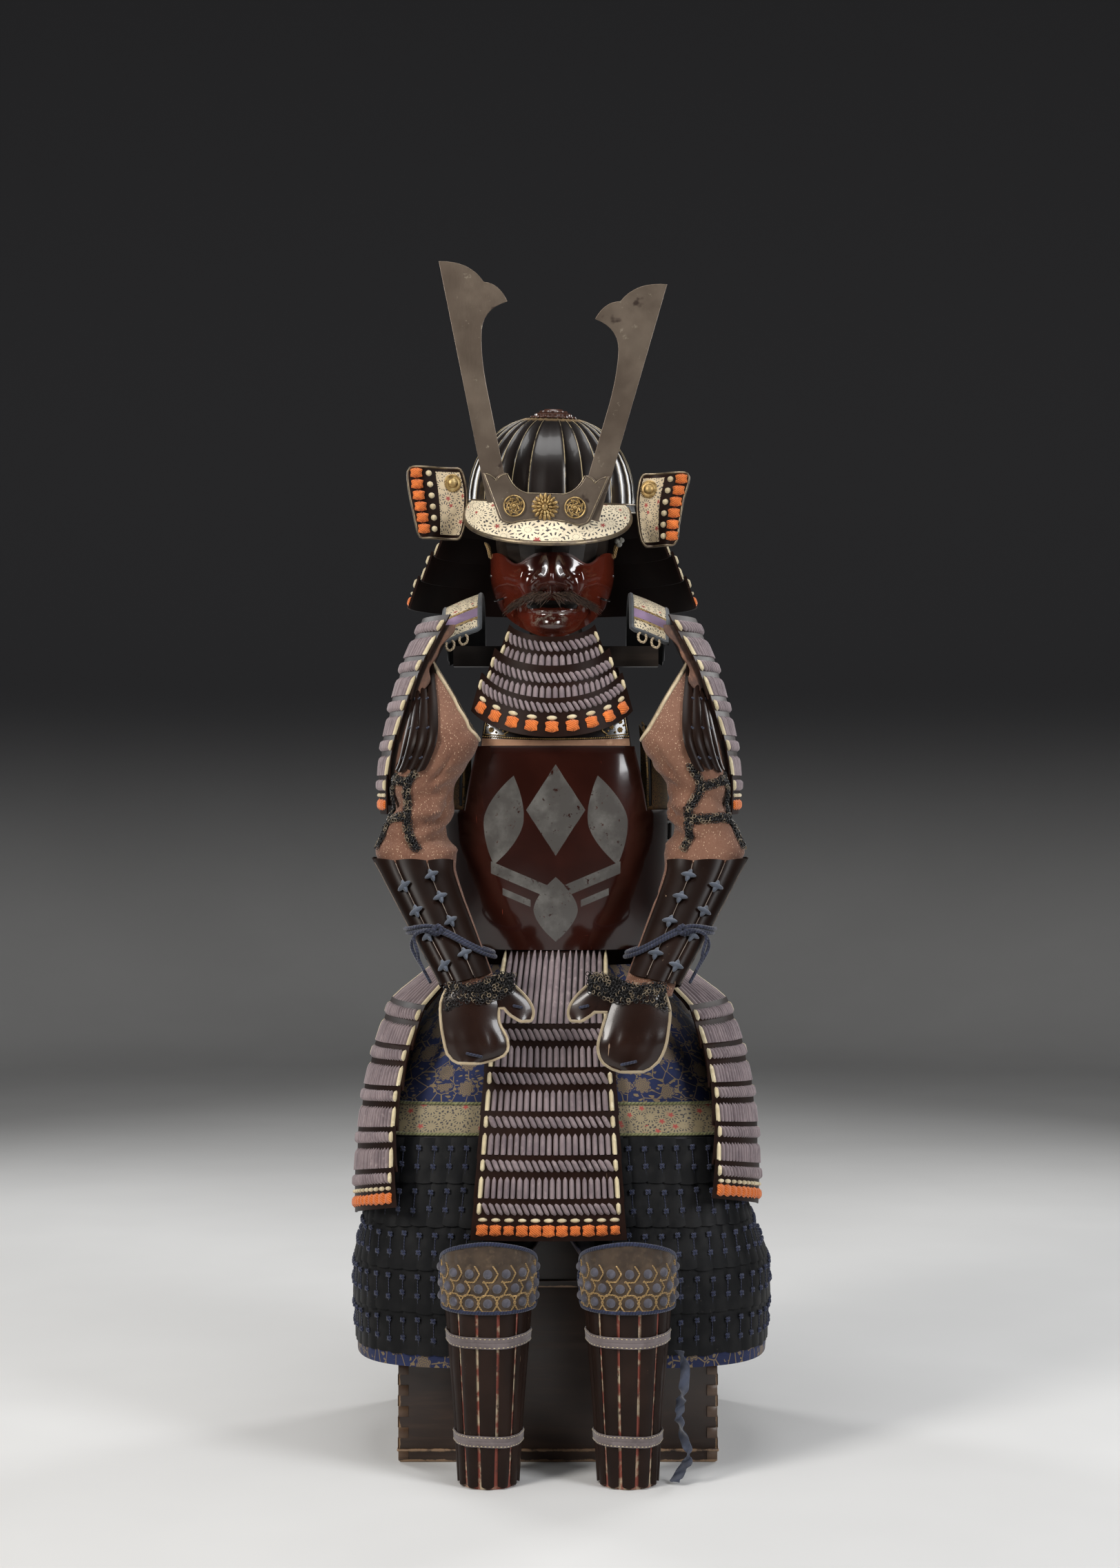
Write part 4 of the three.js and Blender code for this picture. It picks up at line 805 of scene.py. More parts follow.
class Guard:
    """Five lames hung on lacing. place(share, out, z) gives a point of it, share from -1 to 1."""

    def __init__(self, place, top, foot, line=lambda z: 0 * z):
        self.place, self.top, self.foot, self.line = place, top, foot, line
        self.lame = (top - foot) / LAMES

    def face(self, out):
        """The guard's face as a surface of share and height."""
        def surface(u, v):
            u, v = arrays(u, v)
            return self.place(u, self.line(v) + out, v)

        return surface

    def width(self, z):
        ends = [self.place(np.float64(s), np.float64(0.0), np.float64(z)) for s in (-1.0, 1.0)]
        return float(np.linalg.norm(ends[1] - ends[0]))

    def plates(self, batch):
        for i in range(LAMES):
            high = self.top - i * self.lame
            low = high - self.lame - (0 if i == LAMES - 1 else 7)
            last = i == LAMES - 1

            def surface(u, v, high=high, low=low, last=last):
                u, v = arrays(u, v)
                z = mix(low, high, v)
                out = mix(0.6 if last else -1.2, 2.7, clamp(v) ** 0.8)
                return self.place(u * mix(1.0, 0.985, v), self.line(z) + out, z)

            size = self.width(high) / 1000
            batch.shell(surface, np.linspace(-1, 1, 15), [0, 0.3, 0.6, 0.9, 1.0], 2.0,
                        uv=lambda u, v, size=size: (u * size / 2, v * self.lame / 1000))

    def row(self, grey, cream, low, high, out, thick, rope=False, ends=True, half_share=0.4):
        middle = (low + high) / 2
        width = self.width(middle) - 9
        count = max(int(round(width / LACE_PITCH)), 4)
        reach = width / (self.width(middle))
        centres = (np.arange(count) + 0.5) / count * 2 - 1
        centres *= reach
        step = 2 * reach / count
        surface = self.face(out)
        inner = centres[1:-1] if ends else centres
        scale = 2 / self.width(middle)
        if rope:
            laces(grey, surface, inner, 3.75 * scale, low, high, thick, lean=7.5 * scale, jitter=0.06)
        else:
            laces(grey, surface, inner, half_share * step, low, high, thick, point="top", jitter=0.08)
        if ends:
            laces(cream, surface, centres[[0, -1]], 3.2 * scale, low, high, thick * 0.9,
                  point="round" if rope else "top")

    def buttons(self, cream, orange, z_cream, z_orange):
        width = self.width(z_orange) - 12
        count = max(int(round(width / KNOT_PITCH)), 3)
        share = ((np.arange(count) + 0.5) / count * 2 - 1) * width / self.width(z_orange)
        for batch, shape, z, wide, high, thick, out in (
            (cream, DOME, z_cream, 6.2, 2.7, 3.0, 1.6),
            (orange, KNOT, z_orange, 6.6, 6.2, 4.0, 1.4),
        ):
            surface = self.face(out)
            z = np.full(count, float(z))
            at = surface(share, z)
            across = unit(surface(share + 0.01, z) - at)
            up = unit(surface(share, z + 0.5) - at)
            way = unit(np.cross(across, up))
            wobble = 1 + 0.06 * RNG.normal(0, 1, (count, 1))
            batch.scatter(shape, at, across * wide * wobble, up * high * wobble, way * thick)

    def lace(self, grey, cream, orange, waist=None):
        for i in range(LAMES):
            high = self.top - i * self.lame
            rope_top = high - EDGE
            rope = min(ROPE, self.lame * 0.3)
            self.row(grey, cream, rope_top - rope, rope_top, 2.1, 4.6, rope=True)
            if i < LAMES - 1:
                self.row(grey, cream, high - self.lame - 1.5, rope_top - rope - GAP_BELOW, 0.7, 4.3)
            else:
                space = rope_top - rope - (high - self.lame)
                self.buttons(cream, orange, rope_top - rope - space * 0.2, rope_top - rope - space * 0.6)
        if waist:
            self.row(grey, cream, self.top - 2, waist, -0.2, 3.6)


def guard_place(x, y, facing, side, out, radius, z):
    reach = out - side * side / (2 * radius)
    return points(
        x + reach * np.sin(facing) + side * np.cos(facing),
        y - reach * np.cos(facing) + side * np.sin(facing),
        z,
    )


FRONT_TASSET = dict(facing=0, waist=(0, -113), top=(-7, -182), foot=(-9, -270), wide=152, z=(581, 308),
                    radius=560)
SIDE_TASSETS = (
    dict(facing=71, waist=(-129, -62), top=(-205, -117), foot=(-256, -176), wide=86, z=(606, 332),
         radius=280),
    dict(facing=92, waist=(-143, 26), top=(-205, 72), foot=(-279, 76), wide=78, z=(606, 318), radius=560),
    dict(facing=172, waist=(-60, 95), top=(-90, 172), foot=(-112, 250), wide=84, z=(596, 318), radius=560),
)
TASSET = dict(top=166, foot=203, waist=672.4, bulge=17, spread=7, tilt=20, turn=-2, rise=12)


def tasset_heights(row, hand):
    """The head and foot of a tasset; the one at the wearer's left thigh hangs a little higher."""
    top, foot = row["z"]
    return top, foot + TASSET["rise"] * (hand > 0 and row["facing"] < 90)


def tasset_place(row, hand):
    """The place function of a tasset, on the wearer's right (-1) or left (+1), or in front (0)."""
    forward = hand > 0 and row["facing"] < 90
    facing = rad((row["facing"] + TASSET["turn"] * forward) * (1 if hand > 0 else -1))
    top_z, foot_z = tasset_heights(row, hand)
    side = -1 if hand > 0 else 1
    push = TASSET["spread"] if hand > 0 else 0

    def place(share, out, z):
        z = np.asarray(z, float)
        hang = clamp((TASSET["waist"] - z) / (TASSET["waist"] - top_z))
        fall = clamp((top_z - z) / (top_z - foot_z))
        swell = TASSET["bulge"] * np.sin(PI * fall ** 0.85)
        waist, top, foot = (
            (side * row[key][0] + push * way, row[key][1])
            for key, way in (("waist", 0), ("top", 1), ("foot", 0))
        )
        x = mix(mix(waist[0], top[0], hang), foot[0], fall)
        y = mix(mix(waist[1], top[1], hang), foot[1], fall)
        width = mix(mix(row["wide"], TASSET["top"], hang), TASSET["foot"], fall)
        radius = mix(mix(150, 330, hang), row["radius"], fall)
        tilted = z - TASSET["tilt"] * math.sin(facing) * share * fall
        return guard_place(x, y, facing, share * width / 2, out + swell, radius, tilted)

    return place


def make_lining(name, guard):
    """The leather lining of a shoulder guard, whose loose front edge shows in waves."""
    hand = 1 if name == "left" else -1
    face = guard.face(0)

    def lining(u, v):
        u, v = arrays(u, v)
        z = mix(868, 1112, v)
        loose = clamp((u - 0.72) / 0.28)
        wave = 3.4 * np.sin(z / 11.5) + 2.4 * np.sin(z / 5.3 + 1) + 1.6 * np.sin(z / 23)
        share = -hand * (0.5 + 0.49 * u)
        return face(share, z) + points(-hand * (4.6 + loose * (7.5 + wave)), -1.2 * loose * wave, 0 * z)

    share = np.linspace(0, 1, 13)
    leather = Batch().shell(lining if hand < 0 else lambda u, v: lining(1 - u, v), share,
                            np.linspace(0, 1, 90), 1.3)
    leather.make(f"shoulder_lining_{name}", M_LINING_LEATHER, "suede")


SODE = table("z out radius", (856, 248, 500), (920, 248, 400), (989, 236, 290), (1059, 217, 215),
             (1126, 188, 165))


def sode_place(hand):
    shift = 10 if hand > 0 else 0

    def place(share, out, z):
        radius = read(SODE, z, "radius")
        return guard_place(hand * shift, 6, hand * rad(89), share * 118, out, radius, z)

    return place


def make_guards():
    tassets = [(FRONT_TASSET, 0)] + [(row, hand) for row in SIDE_TASSETS for _, hand in SIDES]
    for i, (row, hand) in enumerate(tassets, 1):
        plates, grey, cream, orange = (Batch() for _ in range(4))
        guard = Guard(tasset_place(row, hand), *tasset_heights(row, hand))
        guard.plates(plates)
        guard.lace(grey, cream, orange, waist=TASSET["waist"])
        backing = raised(guard.face(0), -3.2)
        plates.shell(lambda u, v: backing(u * 0.94, mix(row["z"][0] - 6, TASSET["waist"], v)),
                     np.linspace(-1, 1, 15), np.linspace(0, 1, 7), 1.2)
        plates.make(f"tasset_plates_{i}", M_LAME, "brown_lacquer", [f"tasset_{i}"])
        grey.make(f"tasset_lacing_{i}", M_LACING, "grey_lacing")
        cream.make(f"tasset_ends_{i}", M_CREAM, "grey_lacing")
        orange.make(f"tasset_knots_{i}", M_ORANGE, "grey_lacing")
    for name, hand in SIDES:
        plates, grey, cream, orange = (Batch() for _ in range(4))
        guard = Guard(sode_place(hand), 1126, 856, lambda z: read(SODE, z, "out") - 5)
        guard.plates(plates)
        guard.lace(grey, cream, orange)
        plates.make(f"shoulder_plates_{name}", M_LAME, "brown_lacquer", [f"shoulder_guard_{name}"])
        make_lining(name, guard)
        grey.make(f"shoulder_lacing_{name}", M_LACING, "grey_lacing")
        cream.make(f"shoulder_ends_{name}", M_CREAM, "grey_lacing")
        orange.make(f"shoulder_knots_{name}", M_ORANGE, "grey_lacing")


# ------------------------------------------------------------------ cuirass
CUIRASS = table(
    "z half front back square",
    (673, 140, 112, 96, 2.5), (700, 147, 117, 101, 2.5), (760, 153, 123, 110, 2.5),
    (860, 156, 128, 119, 2.6), (948, 150, 124, 122, 2.8), (1000, 142, 113, 122, 2.8),
    (1092, 128, 92, 116, 2.8),
)
DO = dict(low=673, front_top=948, arm_low=862, back_top=1080)


def cuirass_point(turn, z, out=0.0):
    turn, z = arrays(turn, z)
    side = clamp((np.abs(turn) - rad(86)) / rad(8))
    depth = mix(read(CUIRASS, z, "front"), read(CUIRASS, z, "back"), side) + out
    x, y = rim(turn, read(CUIRASS, z, "half") + out, depth, read(CUIRASS, z, "square"))
    return points(x, y, z)


ORNAMENT_MIDDLE = 0.8


def russet_plate_paint():
    """Russet lacquer, with a worn silver-grey ornament on the breast: leaves, lozenge, chevrons."""
    p = lacquer("russet_plates", RUSSET, (0.32, 0.06, 0.03), rough=0.13, chips=0.5, coat=0.45, level=0.3)
    x, y, z = p.parts(p.place)
    px = x * 1000.0
    pz = (z - ORNAMENT_MIDDLE) * 1000.0

    def lozenge(cx, cz, wide, tall):
        return abs(px - cx) / wide + abs(pz - cz) / tall

    def leaf(cx, cz, wide, tall, lean):
        cos, sin = math.cos(lean), math.sin(lean)
        dx, dz = px - cx, pz - cz
        along, across = dx * sin + dz * cos, dx * cos - dz * sin
        return abs(across) / wide + abs(along / tall) ** 1.7

    ragged = (p.noise(60, 3) - 0.5) * 0.05
    shapes = []
    for field, outer, inner in (
        (lozenge(0, 62, 40, 62), 1.0, 0.985),
        (leaf(-70, 48, 27, 62, 0.22), 1.0, 0.98),
        (leaf(70, 48, 27, 62, -0.22), 1.0, 0.98),
        (leaf(0, -72, 30, 44, 0.0), 1.0, 0.98),
    ):
        shapes.append(p.step(field + ragged, outer, inner))
    fold = pz - abs(px) * 0.42
    band = p.both(p.step(abs(fold + 52.0), 8.5, 7.8),
                  p.step(abs(px), 88.0, 86.5))
    low_band = p.both(p.step(abs(fold + 78.0), 5.0, 4.4),
                      p.step(abs(px), 72.0, 71.0),
                      p.step(abs(px), 33.0, 35.0))
    front = p.step(y, -0.02, -0.05)
    mask = p.both(p.either(*shapes, band, low_band), front)
    worn = p.step(p.noise(85, 5, 0.7), 0.33, 0.4)
    mask = p.both(mask, worn)
    p.tint(mask * 0.92, (0.072, 0.068, 0.063))
    p.tint(p.both(mask, p.step(p.noise(30, 5), 0.42, 0.75)), (0.13, 0.125, 0.115))
    p.tint(p.both(mask, p.step(p.noise(150, 4, 0.7), 0.62, 0.7)), (0.05, 0.02, 0.014))
    return p.done()


M_RUSSET_PLATE = russet_plate_paint()
M_GILT = gilt_paint()
M_EDGE = silver_edge_paint()
M_LEATHER = printed_leather("printed_leather")
M_TAN = lacing_paint("tan_leather", (0.36, 0.2, 0.12), (0.28, 0.15, 0.09), (0.45, 0.27, 0.17))
M_BLACK = lacquer("black_lacquer", BLACK, (0.3, 0.26, 0.19), rough=0.2, chips=0.4).done()
M_DARK_EDGE = black_leather_paint()


def front_top(turn):
    return mix(DO["front_top"], DO["arm_low"], clamp((np.abs(turn) - rad(45)) / rad(7)))


def back_top(turn):
    return mix(DO["back_top"], DO["arm_low"], clamp((rad(139) - np.abs(turn)) / rad(10)))


def make_cuirass():
    rolled = np.array([0, 0.02, 0.1, 0.2, 0.35, 0.5, 0.65, 0.8, 0.9, 0.96, 0.985, 1.0])

    def front(u, v):
        turn = u * rad(89.9)
        lip = 1.6 * clamp((v - 0.965) / 0.035) ** 2
        dents = 0.5 * np.sin(turn * 7 + 1) * np.sin(v * 9)
        return cuirass_point(turn, mix(DO["low"], front_top(turn), v), lip + dents - 0.3)

    turns = np.unique(np.r_[np.linspace(-1, 1, 73), np.array([-52, -45, 45, 52]) / 89.9])
    batch = Batch().shell(front, turns, rolled, 3)
    batch.make("breast_plate", M_RUSSET_PLATE, "russet_lacquer", ["cuirass_front"])

    def back(u, v):
        turn = rad(u)
        turn = np.where(turn > PI, turn - 2 * PI, turn)
        return cuirass_point(turn, mix(DO["low"], back_top(turn), v), -0.2)

    turns = np.unique(np.r_[np.linspace(90.1, 269.9, 73), 129, 139, 221, 231])
    batch = Batch().shell(back, turns, rolled, 3)
    batch.make("back_plate", M_RUSSET_PLATE, "russet_lacquer", ["cuirass_back"])
    hinge = Batch()
    for z in np.arange(690, 852, 26):
        line = [cuirass_point(rad(90), z + s, 2.6) for s in (0, 8, 15, 22)]
        hinge.tube(np.array(line), 2.6, 8)
    hinge.make("side_hinge", M_BLACK, "black_lacquer")
    ties = Batch()
    for z in (700, 760, 835):
        turn = rad(np.array([-98, -95, -92, -89, -86, -83]))
        ties.tube(cuirass_point(turn, z + np.array([0, 3, 1, -2, 2, 0]), 2.4), 1.9, 8)
    ties.make("side_ties", M_INDIGO, "indigo_cord")


def make_chest_band():
    reach = rad(42.5)

    def top(u):
        return 978 + 12 * u * u

    def face(u, v):
        return cuirass_point(u * reach, mix(DO["front_top"] + 0.5, top(u), v), 0.4)

    us = np.linspace(-1, 1, 49)
    Batch().shell(face, us, np.linspace(0, 1, 7), 3.6, uv=lambda u, v: (u * 0.1, v * 0.03)).make(
        "chest_band_plate", M_BLACK, "black_lacquer", ["chest_band"])
    strip = raised(face, 1.6)
    Batch().shell(lambda u, v: strip(u, mix(0.0, 0.24, v)), us, np.linspace(0, 1, 4), 1.8,
                  uv=lambda u, v: (u * 0.1, v * 0.008)).make(
        "chest_band_strip", M_TAN, "printed_leather")
    gilt = Batch()
    rope = raised(face, 2.6)
    u = np.linspace(-0.985, 0.985, 70)
    at = rope(u, np.full_like(u, 0.3))
    across = unit(rope(u + 0.01, np.full_like(u, 0.3)) - at)
    way = normal(face, u, np.full_like(u, 0.3))
    up = np.cross(way, across)
    gilt.scatter(ball(5, 8), at, across * 1.5 + up * 0.5, up * 1.1, way * 1.2)
    for hand in (-1, 1):
        edges = ((0.72, 0.42), (0.66, 0.62), (0.74, 0.78), (0.68, 0.95))
        line = smooth_line([(hand * a, b) for a, b in edges], 12)
        gilt.tube(raised(face, 1.4)(line[:, 0], line[:, 1]), 0.8, 6)
        for v in (0.38, 0.97):
            line = np.linspace(hand * 0.7, hand * 0.985, 8)
            gilt.tube(raised(face, 1.4)(line, np.full(8, v)), 0.7, 6)
        side = raised(face, 1.4)(np.full(5, hand * 0.985), np.linspace(0.38, 0.97, 5))
        gilt.tube(side, 0.7, 6)
        for a, b, size in ((0.79, 0.68, 3.4), (0.9, 0.55, 3.8), (0.92, 0.82, 3.0), (0.74, 0.55, 1.6),
                           (0.84, 0.86, 1.7), (0.73, 0.86, 1.5), (0.83, 0.48, 1.6), (0.96, 0.68, 1.5)):
            place = raised(face, 1.2)(np.float64(hand * a), np.float64(b))
            way = normal(face, np.float64(hand * a), np.float64(b))
            across = level(way)
            up = np.cross(way, across)
            if size < 2:
                gilt.scatter(ball(4, 7), place, across * size, up * size, way * size)
                continue
            for k in range(7):
                angle = 2 * PI * k / 7
                spot = place + (across * math.cos(angle) + up * math.sin(angle)) * size * 0.68
                gilt.scatter(ball(4, 7), spot, across * size * 0.36, up * size * 0.36, way * 1.1)
            gilt.scatter(ball(5, 8), place, across * size * 0.42, up * size * 0.42, way * 1.9)
    gilt.make("chest_band_gilt", M_GILT, "gilt")


def make_armpit_plates():
    edge = Batch()
    for name, hand in SIDES:
        start, end = rad(53.5), rad(126.5)

        def face(u, v, hand=hand):
            turn = hand * mix(start if hand > 0 else end, end if hand > 0 else start, u)
            dip = (np.abs(np.abs(turn) - PI / 2) / (PI / 2 - start)) ** 2
            return cuirass_point(turn, mix(DO["arm_low"] + 0.3, 914 + 68 * dip, v), -0.2)

        Batch().shell(face, np.linspace(0, 1, 33), np.linspace(0, 1, 9), 2.8,
                      uv=lambda u, v: (u * 0.2, v * 0.1)).make(
            f"armpit_leather_{name}", M_ARMPIT, "printed_leather", [f"armpit_plate_{name}"])
        out = raised(face, 0.2)
        u = np.linspace(0.02, 0.98, 30)
        top = out(u, np.full_like(u, 0.985))
        left = out(np.full(8, 0.02), np.linspace(0.05, 0.985, 8))
        right = out(np.full(8, 0.98), np.linspace(0.985, 0.05, 8))
        edge.tube(np.concatenate([left, top[1:-1], right]), 3.0, 8, squash=0.8)
    edge.make("armpit_edging", M_DARK_EDGE, "black_leather")


STRAP = table("way y z", (0, -84, 1103), (0.14, -78, 1128), (0.3, -52, 1148), (0.5, -8, 1156),
              (0.72, 48, 1148), (0.88, 92, 1122), (1, 118, 1086))


def make_straps():
    pads, faces, stripes, gold, edging, loops = (Batch() for _ in range(6))
    for _, hand in SIDES:
        def face(u, v, hand=hand):
            across = mix(102, 154, u if hand > 0 else 1 - u)
            drop = 0.42 * (across - 102) - 5
            hump = 2.2 * (1 - (2 * u - 1) ** 2)
            return points(hand * across, read(STRAP, v, "y"), read(STRAP, v, "z") - drop) + (
                np.asarray(hump)[..., None] * np.array([0, 0, 0.6]))

        us, vs = np.linspace(0, 1, 9), np.linspace(0, 1, 33)
        pads.shell(face, us, vs, 4.5)
        cover = raised(face, 0.9)
        faces.shell(lambda u, v: cover(mix(0.07, 0.93, u), mix(0.012, 0.985, v)), us, vs, 1.0,
                    uv=lambda u, v: (u * 0.05, v * 0.3))
        stripe = raised(face, 1.8)
        stripes.shell(lambda u, v: stripe(mix(0.08, 0.92, u), mix(0.1, 0.17, v)), us, np.linspace(0, 1, 4),
                      1.0)
        for v in (0.085, 0.093, 0.178, 0.186):
            gold.tube(stripe(np.linspace(0.08, 0.92, 9), np.full(9, v)), 0.5, 6)
        ring = border(face, (0.03, 0.02, 30), (0.1, 6), (0.99, 0.012))
        edging.tube(ring + np.array([0, 0, -1.2]), 3.6, 8, closed=True)
        for u in (0.25, 0.6):
            root = face(np.float64(u), np.float64(0.02)) + np.array([0, -1.5, -4])
            swing = np.array([(0, 0, 0), (-3, -5, -4), (-2, -7, -11), (4, -6, -14), (8, -4, -9), (7, 0, -2)])
            loops.tube(smooth_line(root + swing * np.array([hand, 1, 1]), 18), 1.7, 8)
    pads.make("strap_pads", M_DARK_EDGE, "black_leather")
    faces.make("strap_faces", M_LEATHER, "printed_leather",
               ["shoulder_strap_right", "shoulder_strap_left"])
    stripes.make("strap_stripes", M_LILAC, "printed_leather")
    gold.make("strap_lines", M_GILT, "gilt")
    edging.make("strap_edging", M_GREY_LEATHER, "black_leather")
    loops.make("strap_loops", M_CORD_TAN, "indigo_cord")


M_INDIGO = plain_cord_paint("indigo_cord", (0.020, 0.024, 0.048), 240.0)
M_CORD_TAN = plain_cord_paint("tan_cord", (0.46, 0.36, 0.23), 260.0)
M_LILAC = lacing_paint("lilac_silk", (0.25, 0.17, 0.27), (0.2, 0.13, 0.22), (0.33, 0.25, 0.34), 0.5)
M_ARMPIT = printed_leather("gold_leather", (0.24, 0.15, 0.055), 74.0, rosettes=False)
M_GREY_LEATHER = lacing_paint("grey_leather", (0.085, 0.095, 0.105), (0.05, 0.055, 0.062),
                              (0.15, 0.16, 0.17), 1.3)


# ------------------------------------------------------------------ helmet
BOWL = dict(half=114, depth=127, height=119, square=2.15, top=114, skirt=12)
VISOR = dict(reach=59, out=44, down=50, gap=1.2)
CREST = dict(y=-154, plate=4.5, horn=3, base_x=85, base_z=29)
HORNS = {"right": (13, 2), "left": (14.4, 23)}


def turn_matrix(axis, degrees):
    c, s = math.cos(rad(degrees)), math.sin(rad(degrees))
    rows = {
        "x": [[1, 0, 0], [0, c, -s], [0, s, c]],
        "y": [[c, 0, s], [0, 1, 0], [-s, 0, c]],
        "z": [[c, -s, 0], [s, c, 0], [0, 0, 1]],
    }
    return np.array(rows[axis])


HELMET_TURN = turn_matrix("z", -2.5) @ turn_matrix("x", 6) @ turn_matrix("y", 2)
HELMET_AT = np.array([-7.0, -10.0, 1288.0])


def worn_on_head(places):
    """From the helmet's own frame to the part's."""
    return places @ HELMET_TURN.T + HELMET_AT


def bowl_point(turn, z, out=0.0):
    turn, z = arrays(turn, z)
    share = (1 - (np.maximum(z, 0) / BOWL["height"]) ** BOWL["square"]) ** (1 / BOWL["square"])
    flare = 1 + 0.02 * np.minimum(z, 0) / -BOWL["skirt"]
    x, y = rim(turn, BOWL["half"] * share * flare + out, BOWL["depth"] * share * flare + out)
    return points(x, y, z)


RIBS = 32


def bowl_share(z):
    """The share of the bowl's height at a height over its brim."""
    return (z + BOWL["skirt"]) / (BOWL["top"] + BOWL["skirt"])


def bowl_face(out=0.0):
    def surface(u, v):
        z = mix(-BOWL["skirt"], BOWL["top"], v)
        return worn_on_head(bowl_point(2 * PI * u, z, out))

    return surface


def bowl_paint():
    """Black-brown lacquer with worn gilding along the standing ribs."""
    p = lacquer("ribbed_bowl", (0.0085, 0.0062, 0.0055), (0.55, 0.45, 0.3), rough=0.28, chips=0.9, coat=0.2,
                level=0.3)
    u, v, _ = p.parts(p.map)
    phase = abs(u.fraction() - 0.5)
    rib = p.step(phase, 0.462, 0.487)
    front = abs((u + 16.0) % 32.0 - 16.0)
    rib = p.both(rib, p.step(front, 0.4, 0.6))
    worn = p.step(p.noise(38, 5, 0.7, at=p.stretched(p.place, (1, 1, 0.5))), 0.36, 0.52)
    p.tint(p.both(rib, worn), (0.42, 0.34, 0.2))
    p.tint(p.both(p.step(v, 0.965, 0.985), p.noise(60, 3)), (0.3, 0.2, 0.1))
    return p.done()


def make_bowl():
    surface = bowl_face()
    columns = np.concatenate([k / RIBS + np.array([0, 0.0016, 0.0035, 0.008, 0.0155, 0.0235, 0.028, 0.0298])
                              for k in range(RIBS)] + [[1.0]])

    def lift(u, v):
        phase = np.abs((u * RIBS + 0.5) % 1 - 0.5) / RIBS
        front = np.abs((u + 0.5) % 1 - 0.5)
        height = 2.1 * np.clip(1 - phase / 0.0042, 0, 1) ** 0.8 * (front > 0.01)
        hollow = -0.7 * np.sin(PI * ((u * RIBS) % 1)) ** 2
        fade = clamp((v - 0.06) / 0.03) * (1 - 0.6 * clamp((v - 0.9) / 0.1))
        return (height + hollow) * fade

    vs = bowl_share(np.array([-12, -10, -4, 0, 12, 26, 40, 54, 67, 79, 90, 99, 106, 111, 114]))
    Batch().shell(surface, columns, vs, 2.8, uv=lambda u, v: (u * RIBS, v), lift=lift, around=True).make(
        "bowl_plates", bowl_paint(), "black_lacquer", ["helmet_bowl"])
    ring = raised(surface, 1.6)
    Batch().shell(lambda u, v: ring(u, bowl_share(mix(-11.5, -1.5, v))), steps(73), steps(4), 1.4,
                  around=True, uv=lambda u, v: (u * 0.75, v * 0.01)).make(
        "bowl_band", M_GREY_LEATHER, "black_leather")
    u = np.linspace(0, 1, 97)[:-1]
    rims = Batch()
    for z, out, thick in ((-0.5, 2.0, 1.5), (-11.4, 1.4, 1.3)):
        rims.tube(raised(surface, out)(u, np.full(96, bowl_share(z))), thick, 8, closed=True)
    rims.make("bowl_rims", M_EDGE, "gilt")


def make_crown():
    """A stepped fitting round the crown's hole: petals, a rope ring and a collar."""
    batch = Batch()
    base = BOWL["top"] + 0.3

    def ring(profile, petals=0, depth=0.0):
        turn = np.linspace(0, 2 * PI, 97)
        line = np.array(profile, float)
        t, k = np.meshgrid(turn, np.arange(len(line)))
        radius = line[k, 0] * (1 + depth * (np.abs(np.sin(t * petals / 2)) - 0.6) if petals else 1)
        x, y = radius * np.sin(t), -radius * np.cos(t)
        return worn_on_head(points(x, y, base + line[k, 1]))

    for profile, petals, depth in (
        ([(8, 0.2), (30, 0.2), (31.5, 1.6), (30.5, 3.6), (26, 4.4), (22, 4.0)], 16, 0.09),
        ([(22, 3.6), (25.5, 4.4), (25.6, 6.4), (23, 8.2), (18, 8.4)], 16, 0.05),
        ([(18, 8.0), (19.6, 9.4), (18.2, 11.2), (14, 11.4)], 40, 0.06),
        ([(14, 11.0), (12.5, 13.4), (10.2, 13.8), (8.4, 12.6), (8, 6), (8, 0.2)], 0, 0.0),
    ):
        grid = ring(profile, petals, depth)
        t = np.linspace(0, 0.2, 97)
        maps = np.stack(np.meshgrid(t, np.linspace(0, 0.02, len(profile))), -1)
        batch._sheet(grid, maps)
    batch.make("crown_rosette", lacquer("crown_lacquer", (0.05, 0.018, 0.01), (0.3, 0.2, 0.12), 0.3).done(),
               "brown_lacquer", ["crown_fitting"])


def visor_face(u, v):
    """v runs from the rolled lower edge (0) to the root (1)."""
    u, v = arrays(u, v)
    w = 1 - v
    turn = rad(VISOR["reach"]) * u
    share = np.maximum(np.cos(PI / 2 * u), 0) ** 0.6
    reach = 4 + VISOR["gap"] + w * (VISOR["out"] * share + 3) + 2.5 * share * np.sin(PI * clamp(w))
    root = bowl_point(turn, 0)
    way = points(np.sin(turn), -np.cos(turn), 0)
    places = root + way * reach[..., None]
    places[..., 2] = -1 - w * (VISOR["down"] * share + 4) + 3.0 * share * np.sin(PI * clamp(w))
    return worn_on_head(places)


def make_visor():
    us = np.sin(np.linspace(-PI / 2, PI / 2, 49))
    under = Batch().shell(visor_face, us, np.linspace(0, 1, 9), 2.2)
    under.make("visor_plate", M_BLACK, "black_lacquer", ["visor"])
    cover = raised(visor_face, 0.8)
    Batch().shell(lambda u, v: cover(u * 0.985, mix(0.05, 0.97, v)), us, np.linspace(0, 1, 9), 0.7,
                  uv=lambda u, v: (u * 0.13, v * 0.06)).make("visor_leather", M_VISOR, "printed_leather")
    Batch().tube(visor_face(us, np.zeros_like(us)), 2.9, 10, squash=0.9).make("visor_rim", M_EDGE, "gilt")


M_VISOR = printed_leather("visor_leather", (0.72, 0.62, 0.44), 44.0)


